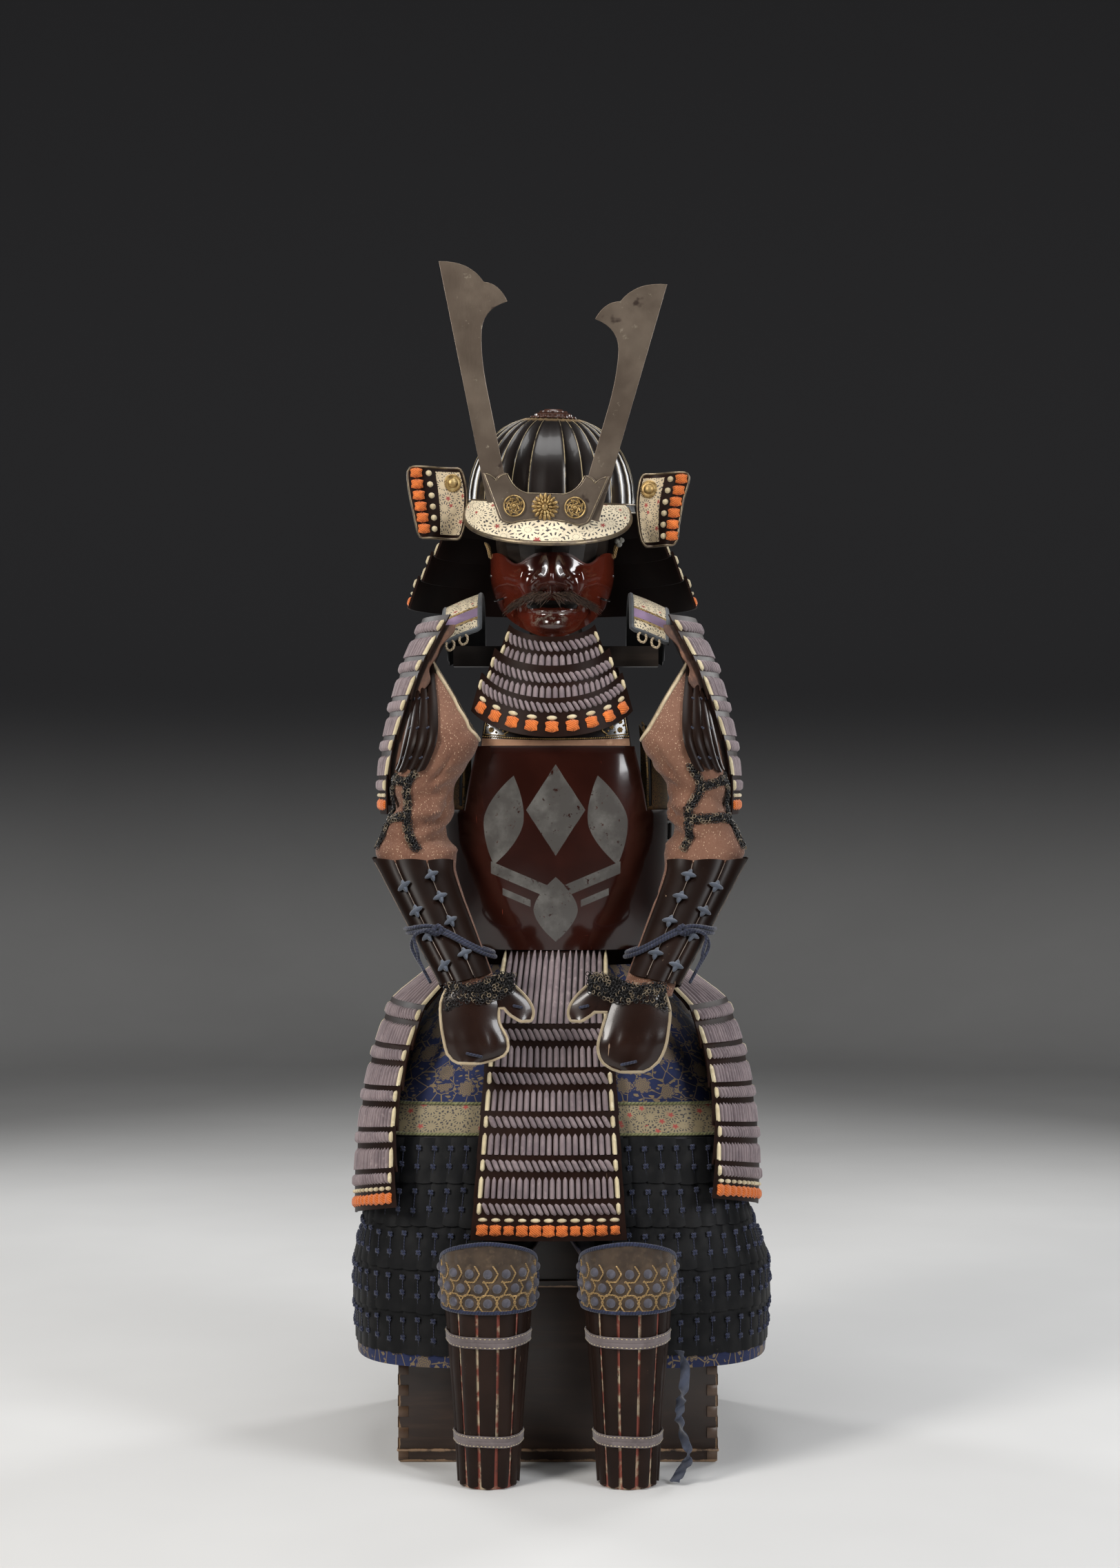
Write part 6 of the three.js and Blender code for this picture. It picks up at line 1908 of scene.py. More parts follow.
def sleeve_face(hand):
    def surface(u, v):
        u, v = arrays(u, v)
        turn = 2 * PI * (u if hand > 0 else 1 - u)
        z = mix(SLEEVE["wrist"], sleeve_top(turn), v)
        depth = sleeve_creases(hand, turn, z) * (1.35 if hand < 0 else 1.15)
        quiet = clamp((z - 600) / 120)
        hem = 1.2 * bump_at(v, 0.012)
        return sleeve_point(hand, turn, z, depth * mix(0.55, 1, quiet) + hem)

    return surface


def over_sleeve(hand, out=0.0, folds=0.6):
    """The sleeve's face as a function of turn (degrees) and height, for what lies on it."""
    def surface(turn, z):
        turn, z = arrays(turn, z)
        depth = sleeve_creases(hand, rad(turn), z)
        return sleeve_point(hand, rad(turn), z, out + folds * np.minimum(depth, 2) + 0.5)

    return surface


def outward(hand, surface, turn, z):
    across = surface(turn + 0.5, z) - surface(turn - 0.5, z)
    up = surface(turn, z + 0.5) - surface(turn, z - 0.5)
    return unit(np.cross(across, up)) * hand


def ring_shape(thick=0.17, around=10, sides=4):
    """A ring in the unit plane, for scatter."""
    a = np.linspace(0, 2 * PI, around + 1)
    b = np.linspace(0, 2 * PI, sides + 1)
    t, s = np.meshgrid(a, b)
    reach = 1 + thick * np.cos(s)
    return points(reach * np.cos(t), reach * np.sin(t), thick * np.sin(s)), np.stack([t, s], -1) / 6.28


def link_rings(pale_batch, black_batch, at, across, tilt):
    """Rings of mail, about a fifth of them pale, as painted glints."""
    pale = RNG.random(len(at)) < 0.22
    for batch, pick in ((pale_batch, pale), (black_batch, ~pale)):
        if pick.any():
            batch.put(ring_shape(0.24), at[pick], across[pick], tilt[pick], (2.5, 2.5, 2.8))


def mail_strip(black, gilt, backing, surface, hand, line, width=11.5):
    """Rings in rows along a line of turn and height."""
    dense = smooth_line(line, 60)
    middle = surface(dense[:, 0], dense[:, 1])
    way = np.r_[0, np.cumsum(np.linalg.norm(np.diff(middle, axis=0), axis=1))]
    steps = np.arange(3, way[-1] - 2, 4.3)
    turn, z = np.interp(steps, way, dense[:, 0]), np.interp(steps, way, dense[:, 1])
    at = np.stack([np.interp(steps, way, middle[:, i]) for i in range(3)], -1)
    out = outward(hand, surface, turn, z)
    along = unit(np.gradient(at, axis=0))
    side = unit(np.cross(out, along))
    for k, offset in enumerate((-1, -0.35, 0.35, 1)):
        shift = along * (2.1 * (k % 2))
        wander = side * RNG.normal(0, 0.5, (len(at), 1))
        place = at + side * offset * width * 0.38 + wander + shift + out * (1.0 + 0.6 * (k % 2))
        tilt = unit(out + side * 0.6 * offset + along * RNG.normal(0, 0.45, (len(at), 1)))
        across = unit(np.cross(tilt, along))
        # About a fifth of the rings are pale, as painted glints.
        link_rings(gilt, black, place, across, tilt)
    half = (side * width * 0.4)[:, None] * np.array([-1, -0.5, 0, 0.5, 1])[None, :, None]
    strip = at[:, None] + half + out[:, None] * (0.1 + 0.3 * np.array([0, 0.8, 1, 0.8, 0]))[None, :, None]
    backing._sheet(strip, np.zeros((*strip.shape[:2], 2)), flip=hand < 0)


def make_sleeves():
    for name, hand in SIDES:
        face = sleeve_face(hand)
        heights = np.linspace(0, 1, 78)
        cloth = Batch().shell(face, np.linspace(0, 1, 81), heights, 2.2, around=True,
                              uv=lambda u, v: (u * 0.28, v * 0.45))
        cloth = cloth.make(f"sleeve_cloth_{name}", M_FLECK, "fleck_cloth", [f"sleeve_{name}"])
        piping = Batch()
        u = np.linspace(0, 1, 61)[:-1]
        piping.tube(face(u, np.full(60, 0.994)), 2.6, 8, closed=True)
        piping.make(f"sleeve_piping_{name}", M_PIPING, "suede")
        low = Batch()
        low.tube(face(u, np.full(60, 0.004)), 2.0, 8, closed=True)
        low.make(f"cuff_piping_{name}", M_DARK_EDGE, "black_leather")
        skin = over_sleeve(hand, 1.2)
        black, gilt, backing = Batch(), Batch(), Batch()
        lines = [[(26, 916), (27, 885), (22, 856), (6, 830), (-8, 808)],
                 [(66, 906), (72, 868), (60, 834), (68, 808)],
                 [(114, 912), (118, 860), (112, 808)], [(172, 926), (170, 870), (174, 808)],
                 [(26, 899), (64, 903), (112, 908), (172, 912)], [(21, 854), (48, 852), (72, 842),
                                                                  (116, 838), (172, 846)]]
        if hand > 0:
            lines[0] = [(8, 926), (4, 892), (-16, 862), (-28, 836), (-38, 808)]
            lines[4][0], lines[5][0] = (4, 893), (-22, 850)
        for line in lines:
            mail_strip(black, gilt, backing, skin, hand, line)
        backing.make(f"mail_backing_{name}", M_DARK_EDGE, "black_leather")
        black.make(f"mail_{name}", M_MAIL, "black_lacquer")
        # The pale rings, painted glints on the black mail.
        gilt.make(f"mail_glint_rings_{name}", M_MAIL_GLINT, "bronze")
        make_arm_plates(name, hand)
        make_hand_plates(name, hand)


# The forearm's four plates: their edges in degrees, height and slope, and the knots of two seams.
FOREARM = dict(edges=(-62, -18, 31, 80, 118), foot=652, slope=22, top=796,
               knots=((776, 748, 717, 676), (762, 730, 699, 661)))


def forearm_foot(turn):
    return FOREARM["foot"] - FOREARM["slope"] * (turn - FOREARM["edges"][0]) / 180


def make_arm_plates(name, hand):
    splints, plates, seams, stars, cords = (Batch() for _ in range(5))
    for k in range(4):
        start, end = 8 + 19 * k + 0.8, 8 + 19 * (k + 1) - 0.8

        def face(u, v, start=start, end=end, k=k):
            u, v = arrays(u, v)
            share = u if hand > 0 else 1 - u
            taper = mix(0.82, 1, np.sin(PI * clamp(0.15 + 0.75 * v)))
            turn = mix((start + end) / 2, mix(start, end, share), taper)
            z = mix(916 + 3 * (k % 2), 1060 - 3 * (k % 3), v) + 3 * np.sin(PI * u) * (2 * v - 1)
            return sleeve_point(hand, rad(turn), z, 4.8 + 1.7 * np.sin(PI * clamp(u)) ** 0.7)

        splints.shell(face, np.linspace(0, 1, 9), np.linspace(0, 1, 19), 2.2)
        if k:
            side = over_sleeve(hand, 4.6, 0)
            for z in (932, 972, 1012, 1046):
                turn = np.linspace(start - 3.2, start + 1.6, 5)
                cords.tube(side(turn, z + np.array([0, 1.2, 0, -1.2, 0])), 1.3, 6)
    edges = FOREARM["edges"]
    for k, (start, end) in enumerate(zip(edges[:-1], edges[1:])):
        def face(u, v, start=start, end=end):
            u, v = arrays(u, v)
            share = u if hand > 0 else 1 - u
            turn = mix(start + 1.2, end - 1.2, share)
            z = mix(forearm_foot(turn), FOREARM["top"] + 2 * np.sin(PI * u), v)
            return sleeve_point(hand, rad(turn), z, 5.4 + 2.4 * np.sin(PI * clamp(u)) ** 0.6)

        plates.shell(face, np.linspace(0, 1, 15), np.linspace(0, 1, 21), 2.2)
        if k == 0:
            continue
        heights = steps(14, forearm_foot(start) + 3, FOREARM["top"] - 4)
        line = over_sleeve(hand, 5.9, 0)(np.full(14, start - 0.4), heights)
        seams.tube(line, 0.5, 5)
        if k > 2:
            continue
        skin = over_sleeve(hand, 7.4, 0)
        for z in FOREARM["knots"][k - 1]:
            turn = np.float64(start)
            at, out = skin(turn, np.float64(z)), outward(hand, skin, turn, np.float64(z))
            up = unit(skin(turn, np.float64(z + 1)) - at)
            side = np.cross(up, out)
            tilt = RNG.normal(0, 0.08)
            for angle, reach, lift in ((tilt, 9.0, 1.2), (1.4 + tilt, 10.0, 2.2)):
                way = up * math.cos(angle) + side * math.sin(angle)
                t = np.linspace(-1, 1, 11)[:, None]
                radius = 1.0 + 2.7 * (1 - t[:, 0] ** 2) ** 0.8
                stars.tube(at + way * reach * t + out * (1.6 * (1 - t ** 2) + lift), radius, 9)
    splints.make(f"splints_{name}", M_FOREARM, "brown_lacquer", [f"upper_splints_{name}"])
    cords.make(f"splint_cords_{name}", M_INDIGO, "indigo_cord")
    plates.make(f"forearm_{name}", M_FOREARM, "brown_lacquer", [f"forearm_plates_{name}"])
    seams.make(f"forearm_lines_{name}", M_SEAM, "printed_leather")
    stars.make(f"forearm_knots_{name}", M_STAR, "indigo_cord")
    make_tie(name, hand)


TIE = dict(z=688, knot=8)


def make_tie(name, hand):
    tie = Batch()

    def height(turn):
        near = (turn - rad(TIE["knot"]) + PI) % (2 * PI) - PI
        return TIE["z"] + 15 * np.sin(turn) + 17 * bump_at(near, 0.75)

    for shift in (-2.7, 2.7):
        turn = np.linspace(0, 2 * PI, 61)[:-1]
        tie.tube(sleeve_point(hand, turn, height(turn) + shift, 11.8), 2.8, 8, closed=True)
    spot = np.float64(rad(TIE["knot"]))
    at = sleeve_point(hand, spot, height(spot), 14.5)
    out = unit(at - sleeve_point(hand, spot, height(spot), 0.0))
    side = np.cross([0, 0, 1.0], out)
    up = np.cross(out, side)
    for angle, lean in ((0.5, 0.6), (-0.6, 0.5), (1.5, 0.4)):
        t = np.linspace(0, 2 * PI, 17)[:-1]
        spin = np.cos(angle), np.sin(angle)
        ring = (side[None] * (np.cos(t) * 6.0 * spin[0] - np.sin(t) * 3.4 * spin[1])[:, None]
                + up[None] * (np.cos(t) * 6.0 * spin[1] + np.sin(t) * 3.4 * spin[0])[:, None]
                + out[None] * (lean * 3 * np.sin(2 * t))[:, None])
        tie.tube(at + ring, 2.3, 8, closed=True)
    tie.make(f"tie_{name}", M_INDIGO, "indigo_cord", [f"wrist_tie_{name}"])
    for k, (way, drop) in enumerate(((74, 62), (60, 46))):
        turn = np.array([14, 30, 50, way, way + 12, way + 14])
        fall = np.array([0, 5, -2, -18 - k * 4, -0.7 * drop, -drop])
        line = sleeve_point(hand, rad(turn), 700 + fall, np.array([15.5, 16, 17, 18, 17.5, 17 + k]))
        line = smooth_line(line, 34)
        end = Batch().tube(line, 2.2, 8).make(f"tie_end_{name}_{k + 1}", M_INDIGO, "indigo_cord")


HANDS = {
    "right": table("z left right", (537, -126, -98), (547, -139, -66), (566, -145, -60), (590, -149, -71),
                   (616, -149, -72), (632, -142, -80)),
    "left": table("z left right", (526, 84, 112), (536, 62, 130), (556, 53, 142), (580, 58, 147),
                  (605, 66, 149), (626, 74, 143)),
}
THUMBS = {
    "right": table("z left right", (590, -44, -32), (600, -60, -28), (612, -69, -31), (625, -70, -41),
                   (637, -74, -54)),
    "left": table("z left right", (590, 20, 32), (600, 16, 48), (612, 19, 57), (625, 29, 58), (637, 42, 62)),
}


def plate_face(rows, front):
    def surface(u, v):
        u, v = arrays(u, v)
        z = mix(rows["z"][0], rows["z"][-1], v)
        x = mix(read(rows, z, "left"), read(rows, z, "right"), u)
        return points(x, front(u, z), z)

    return surface


def edge_line(face, inset=0.03, count=14):
    a, b = np.linspace(inset, 1 - inset, count), np.full(count, inset)
    return np.concatenate([face(a, b), face(1 - b, a)[1:], face(a[::-1], 1 - b)[1:], face(b, a[::-1])[1:-1]])


def make_hand_plates(name, hand):
    plates, edging, loops = Batch(), Batch(), Batch()

    def front(u, z):
        knuckle = 3.0 * bump_at(z - 566, 12) * np.abs(np.sin(PI * 4 * clamp(u))) ** 0.5
        return -279 + 11 * (2 * u - 1) ** 2 + 0.1 * (z - 580) - knuckle * 0.6

    def thumb(u, _):
        inward = u if hand < 0 else 1 - u
        return -266 + 10 * inward ** 2

    for rows, shape, count in ((HANDS[name], front, 21), (THUMBS[name], thumb, 13)):
        face = plate_face(rows, shape)
        plates.shell(face, np.linspace(0, 1, count), np.linspace(0, 1, 21), 2.5)
    palm, thumb_side = plate_face(HANDS[name], front), plate_face(THUMBS[name], thumb)
    notch = 608 if hand < 0 else 603
    near = 0.98 if hand < 0 else 0.02
    rise = [(notch - rows["z"][0]) / (rows["z"][-1] - rows["z"][0]) for rows in (HANDS[name], THUMBS[name])]

    def side_line(face, u, start, end):
        return raised(face, 0.4)(np.full(12, u), np.linspace(start, end, 12))

    def foot_line(face, u):
        return raised(face, 0.4)(np.linspace(u, 1 - u, 14)[1:-1], np.full(12, 0.015))

    edging.tube(np.concatenate([
        side_line(palm, 1 - near, 1, 0.05), foot_line(palm, 1 - near), side_line(palm, near, 0.05, rise[0]),
        side_line(thumb_side, 1 - near, rise[1], 0.05), foot_line(thumb_side, 1 - near),
        side_line(thumb_side, near, 0.05, 1),
    ]), 2.3, 8, squash=0.9)

    def web(u, v):
        """The leather between the palm plate and the thumb plate."""
        u, v = arrays(u, v)
        share = u if hand < 0 else 1 - u
        start = palm(np.full(u.shape, 0.97 if hand < 0 else 0.03), mix(rise[0], 1.0, v))
        end = thumb_side(np.full(u.shape, 0.06 if hand < 0 else 0.94), mix(rise[1], 1.0, v))
        return mix(start, end, share[..., None]) + np.array([0, -1.4, 0])

    plates.shell(web, np.linspace(0, 1, 7), np.linspace(0, 1, 9), 2.0)
    mail, links, backing = Batch(), Batch(), Batch()
    outer_x = HANDS[name]["left" if hand < 0 else "right"][-1]
    inner_x = THUMBS[name]["right" if hand < 0 else "left"][-1]

    def cuff(s, t):
        """The mail over the wrist, lower at its outer end."""
        s, t = arrays(s, t)
        bow = np.sin(PI * clamp(s))
        z = mix(622, 640, s) + 13 * t
        return points(mix(outer_x, inner_x, s), -266 - 9 * bow + 5 * t * (1 - bow), z + 3 * np.sin(9 * s + t))

    rows, count = np.linspace(-1, 1, 8), 26
    strip = cuff(np.linspace(0, 1, 24)[None], rows[:, None])
    backing._sheet(strip, np.zeros((*strip.shape[:2], 2)), flip=hand > 0)
    for k, row in enumerate(rows):
        s = (np.arange(count) + 0.5 * (k % 2)) / (count - 0.5)
        at = cuff(s, np.full(count, row)) + RNG.normal(0, 0.7, (count, 3)) + np.array([0, -1.2, 0])
        tilt = unit(np.array([0, -1.0, 0.1]) + RNG.normal(0, 0.45, (count, 3)))
        across = unit(np.cross(tilt, [0, 0, 1.0]))
        # About a fifth of the rings are pale, as painted glints.
        link_rings(links, mail, at, across, tilt)
    for face, u, v in ((palm, 0.47, 0.13), (thumb_side, 0.5, 0.42)):
        middle = raised(face, 1.8)(np.float64(u), np.float64(v))
        t = np.linspace(-1, 1, 9)
        bar = np.stack([10 * t, -1.6 * (1 - t ** 2), 2.2 * hand * t], -1) * (1 if face is palm else 0.6)
        loops.tube(middle + bar, 2.0, 7)
    backing.make(f"wrist_backing_{name}", M_DARK_EDGE, "black_leather")
    mail.make(f"wrist_mail_{name}", M_MAIL, "black_lacquer")
    # The pale rings, painted glints on the black mail.
    links.make(f"wrist_glint_rings_{name}", M_MAIL_GLINT, "bronze")
    plates.make(f"hand_plates_{name}", M_HAND, "brown_lacquer", [f"hand_plate_{name}", f"thumb_plate_{name}"])
    edging.make(f"hand_edging_{name}", M_PIPING, "suede")
    loops.make(f"hand_loops_{name}", M_INDIGO, "indigo_cord")


M_FLECK = fleck_cloth()
M_PIPING = lacing_paint("cream_leather", (0.5, 0.4, 0.26), (0.38, 0.29, 0.18), (0.62, 0.52, 0.36))
M_MAIL = lacquer("black_mail", (0.009, 0.008, 0.008), (0.2, 0.17, 0.13), rough=0.36, chips=0.8, coat=0,
                 level=0.35).done()
# Painted glints: a pale copy of the black mail, for about a fifth of the rings.
M_MAIL_GLINT = lacquer("mail_glint", (0.13, 0.1, 0.065), (0.4, 0.33, 0.24), rough=0.4, chips=1.0,
                       coat=0).done()
M_STAR = lacing_paint("star_cord", (0.1, 0.118, 0.155), (0.065, 0.078, 0.105), (0.16, 0.185, 0.235))
M_SEAM = lacing_paint("pale_line", (0.26, 0.2, 0.16), (0.1, 0.075, 0.06), (0.42, 0.35, 0.28))
M_HAND = lacquer("hand_lacquer", (0.0135, 0.0058, 0.004), (0.32, 0.22, 0.15), rough=0.24, chips=1.0,
                 coat=0.25, level=0.35).done()
M_FOREARM = lacquer("forearm_lacquer", (0.0085, 0.0042, 0.003), (0.26, 0.18, 0.12), rough=0.3, chips=0.9,
                    coat=0.0, level=0.11).done()


# ------------------------------------------------------------------ thigh guard
THIGH = table(
    "z half depth square",
    (137, 266, 241, 4.2), (250, 270, 243, 4.2), (330, 253, 235, 5.2), (380, 246, 226, 6), (438, 240, 216, 7),
    (480, 230, 204, 6.4), (540, 211, 184, 4.2), (600, 180, 148, 2.8), (655, 132, 100, 2.6),
)
# Creases of the brocade: turn and height at both ends, width and depth.
BROCADE_CREASES = (
    (22, 640, 20, 560, 7, -4), (36, 630, 46, 540, 9, -5), (57, 636, 62, 575, 7, -4),
    (70, 610, 74, 520, 10, -5.5), (12, 600, 9, 520, 8, -3.5), (46, 560, 40, 495, 9, -4),
    (28, 560, 33, 505, 7, 2.5), (80, 640, 83, 585, 7, -3.5), (64, 550, 58, 490, 8, -3.5),
    (6, 640, 4, 590, 6, -3), (52, 510, 70, 500, 7, -2.5), (16, 500, 30, 492, 6, -2.2),
)


def thigh_point(turn, z, out=0.0):
    turn, z = arrays(turn, z)
    spread = np.where(turn > 0, mix(1, 1.06, clamp((360 - z) / 110)), 1)
    x, y = rim(turn, read(THIGH, z, "half") * spread + out, read(THIGH, z, "depth") + out,
               read(THIGH, z, "square"))
    return points(x, y, z)


def inner_turn(z):
    return (4 + 40 * clamp((325 - z) / 60)) / read(THIGH, z, "depth")


def thigh_face(hand, out=0.0, low=436, high=652, start=None, folds=1.0):
    def surface(u, v):
        u, v = arrays(u, v)
        share = u if hand > 0 else 1 - u
        z = mix(low, high, v)
        inner = inner_turn(z) if start is None else start
        turn = mix(inner, rad(86), share)
        lift = out(turn, z) if callable(out) else out
        if folds:
            shift = 0 if hand < 0 else rad(-4)
            rows = BROCADE_CREASES
            depth = creases(turn + shift, z + (0 if hand < 0 else 7), 190, rows)
            lift = lift + folds * depth * clamp((z - 470) / 30)
        return thigh_point(hand * turn, z, lift)

    return surface


ROWS, HEM, BAND_TOP, CLOTH_LOW = 5, 138, 480, 436


def make_thighs():
    for name, hand in SIDES:
        us = np.linspace(0, 1, 70)
        face = thigh_face(hand, -0.2, low=BAND_TOP - 2)
        cloth = Batch().shell(face, us, np.linspace(0, 1, 34), 2.4, uv=lambda u, v: (u * 0.36, v * 0.175))
        cloth = cloth.make(f"brocade_{name}", M_BROCADE, "brocade", [f"thigh_cloth_{name}"])
        band = thigh_face(hand, 0.4, low=CLOTH_LOW + 1.5, high=BAND_TOP - 2.6, folds=0)
        leather = Batch().shell(band, us, np.linspace(0, 1, 7), 2.4, uv=lambda u, v: (u * 0.38, v * 0.044))
        leather = leather.make(f"thigh_band_{name}", M_BAND, "printed_leather")
        piping = Batch()
        for z, out in ((CLOTH_LOW + 2.5, 1.0), (BAND_TOP - 2.4, 1.2)):
            line = thigh_face(hand, out, low=z, high=z + 1, folds=0)(np.linspace(0.002, 0.998, 60),
                                                                     np.zeros(60))
            piping.tube(line, 2.1, 8)
        piping = piping.make(f"band_piping_{name}", M_PIPE_GREEN, "printed_leather")
        make_plate_rows(name, hand)


def make_plate_rows(name, hand):
    """Rows of small plates that overlap sideways on cloth, with a navy knot at each head."""
    plates, knots = Batch(), Batch()
    high = CLOTH_LOW - 0.5
    pitch = (high - HEM - 19) / ROWS
    backing = thigh_face(hand, -1.2, low=HEM + 1, high=high, folds=0)
    lining = Batch().shell(backing, np.linspace(0, 1, 60), np.linspace(0, 1, 20), 1.6,
                           uv=lambda u, v: (u * 0.4, v * 0.3))
    lining = lining.make(f"thigh_lining_{name}", M_LINING, "brocade", [f"thigh_guard_{name}"])
    hem_face = thigh_face(hand, 3.2, low=HEM, high=HEM + 22, folds=0)
    hem = Batch().shell(hem_face, np.linspace(0, 1, 70), np.linspace(0, 1, 5), 2.6,
                        uv=lambda u, v: (u * 0.42, v * 0.014)).make(f"thigh_hem_{name}", M_BROCADE, "brocade")
    side = Batch()
    z = np.linspace(HEM + 4, high - 2, 40)
    side.tube(thigh_point(hand * (inner_turn(z) + 0.012), z, 1.5), 4.2, 8, squash=0.6)
    side.tube(thigh_point(hand * np.full(40, rad(85.4)), z, 1.5), 4.2, 8, squash=0.6)
    side = side.make(f"thigh_binding_{name}", M_BROCADE, "brocade")
    for row in range(ROWS):
        top = high - row * pitch
        foot = top - pitch - 3.5
        middle = (top + foot) / 2
        start = float(inner_turn(np.float64(max(foot, HEM)))) + 0.035
        edges = thigh_point(hand * np.linspace(start, rad(84.6), 200), np.full(200, middle))
        way = np.r_[0, np.cumsum(np.linalg.norm(np.diff(edges, axis=0), axis=1))]
        count = int(round(way[-1] / 21.0))
        cuts = np.interp(np.linspace(0, way[-1], count + 1), way, np.linspace(start, rad(84.6), 200))
        for k in range(count):
            a, b = cuts[k] - 0.010, cuts[k + 1] + 0.006
            slip = RNG.normal(0, 0.7)

            def face(u, v, a=a, b=b, top=top, foot=foot, slip=slip):
                u, v = arrays(u, v)
                share = u if hand > 0 else 1 - u
                z = mix(foot, top - 1, v) + slip
                z = z + 2.4 * (np.abs(2 * u - 1) ** 3) * (1 - v)
                out = mix(3.6, 0.6, v) + 1.5 * np.sin(PI * share) + 1.0 * share
                return thigh_point(hand * mix(a, b, share), z, out)

            plates.shell(face, np.linspace(0, 1, 6), [0, 0.1, 0.4, 0.75, 1.0], 1.2)
            for level in (top - 14, top - 14 - pitch * 0.42):
                turn, z = np.float64(hand * (b - 0.008)), np.float64(level + RNG.normal(0, 1.2))
                at = thigh_point(turn, z, 4.0)
                out = unit(thigh_point(turn, z, 5.0) - at)
                across = unit(np.cross([0, 0, 1.0], out))
                for angle in (0.7, -0.7):
                    line = across * math.cos(angle) + np.array([0, 0, 1.0]) * math.sin(angle)
                    t = np.linspace(-1, 1, 5)[:, None]
                    knots.tube(at + line * 3.6 * t + out * (1.6 - 1.2 * t ** 2), 1.9, 5)
            turn = hand * (b - 0.008)
            z = np.linspace(top - 14, max(foot + 4, HEM + 21), 5)
            knots.tube(thigh_point(np.full(5, turn), z, 3.9), 0.6, 4)
    plates = plates.make(f"thigh_plates_{name}", M_DARK_PLATE, "black_leather")
    knots = knots.make(f"thigh_knots_{name}", M_NAVY, "indigo_cord")


M_BROCADE = brocade_paint()
M_LINING = lacing_paint("thigh_lining", (0.03, 0.028, 0.035), (0.018, 0.017, 0.022), (0.06, 0.055, 0.06))
M_BAND = printed_leather("thigh_band_leather", (0.25, 0.2, 0.115), 62.0)
M_PIPE_GREEN = plain_cord_paint("green_gold_piping", (0.17, 0.17, 0.075), 200.0)
M_DARK_PLATE = black_leather_paint()
M_NAVY = plain_cord_paint("navy_cord", (0.016, 0.022, 0.058), 260.0)


# ------------------------------------------------------------------ shin guards
SHIN = table("z half depth", (0, 40, 46), (100, 46, 54), (200, 54, 60), (262, 58, 62), (310, 57, 60))
SHIN_AT = {"right": -86, "left": 93}


def shin_point(name, turn, z, out=0.0):
    turn, z = arrays(turn, z)
    x, y = rim(turn, read(SHIN, z, "half") + out, read(SHIN, z, "depth") + out, 2.2)
    return points(SHIN_AT[name] + x, -272 + y, z)


def shin_face(name, out=0.0, low=0.0, high=238.0):
    def surface(u, v):
        u, v = arrays(u, v)
        return shin_point(name, rad(96) * (2 * u - 1), mix(low, high, v), out)

    return surface


def make_shins():
    for name, _ in SIDES:
        cloth = Batch().shell(shin_face(name, -4.5), np.linspace(0, 1, 41), np.linspace(0, 1, 21), 1.6,
                              uv=lambda u, v: (u * 0.19, v * 0.238))
        cloth = cloth.make(f"shin_cloth_{name}", M_SHIN_CLOTH, "suede", [f"shin_guard_{name}"])
        splints, tapes, stitches = Batch(), Batch(), Batch()
        for k in range(7):
            def face(u, v, k=k):
                u, v = arrays(u, v)
                gap = mix(0.085, 0.05, clamp(v)) + 0.03 * np.abs(2 * v - 1) ** 2
                share = (k + mix(gap, 1 - gap, u)) / 7
                z = mix(2 + 2 * np.sin(PI * u) * -1 + 2, 236, v)
                out = -3.0 + 3.0 * np.sin(PI * clamp(u)) ** 0.6
                return shin_point(name, rad(96) * (2 * share - 1), z, out)

            splints.shell(face, np.linspace(0, 1, 9), np.linspace(0, 1, 15), 1.6)
        splints.make(f"shin_splints_{name}", M_SPLINT, "brown_lacquer")
        for z, tall in ((190, 14.5), (62, 14.5)):
            def band(u, v, z=z, tall=tall):
                u, v = arrays(u, v)
                share = 2 * u - 1
                wave = 0.8 * np.sin(7 * u + z) + 0.5 * np.sin(17 * u + z * 0.3)
                ridge = 0.9 * np.abs(np.sin(PI * 7 * u))
                return shin_point(name, rad(96) * share, z + wave + (v - 0.5) * tall, 0.6 + ridge)

            tapes.shell(band, np.linspace(0, 1, 57), [0, 0.08, 0.3, 0.46, 0.5, 0.54, 0.7, 0.92, 1], 1.0,
                        uv=lambda u, v: (u * 0.19, v * 0.017),
                        lift=lambda u, v: -0.5 * bump_at(v - 0.5, 0.03) + 0.3 * np.sin(PI * v))
            line = raised(band, 0.3)
            for v in (0.12, 0.88):
                spots = np.linspace(0.02, 0.98, 34)
                at = line(spots, np.full(34, v))
                way = normal(band, spots, np.full(34, v))
                along = unit(np.gradient(at, axis=0))
                stitches.scatter(DOME, at, along * 1.5, np.cross(way, along) * 0.5, way * 0.5)
        tapes = tapes.make(f"shin_tapes_{name}", M_TAPE, "grey_tape")
        stitches = stitches.make(f"shin_stitches_{name}", M_CREAM, "grey_tape")
        make_knee(name)
    make_ribbon()


# The padded knee: its foot, the top at its middle and how far that drops to the sides, its width, and
# the first row of tufts with the pitch of the hexagons.
KNEE = dict(foot=228, top=317, drop=34, width=195, row=241, pitch=21.0)


def knee_top(u):
    return KNEE["top"] - KNEE["drop"] * np.abs(2 * u - 1) ** 1.7


def knee_share(u, z):
    """The share of the knee's height at a place of it."""
    return (z - KNEE["foot"]) / (knee_top(u) - KNEE["foot"])


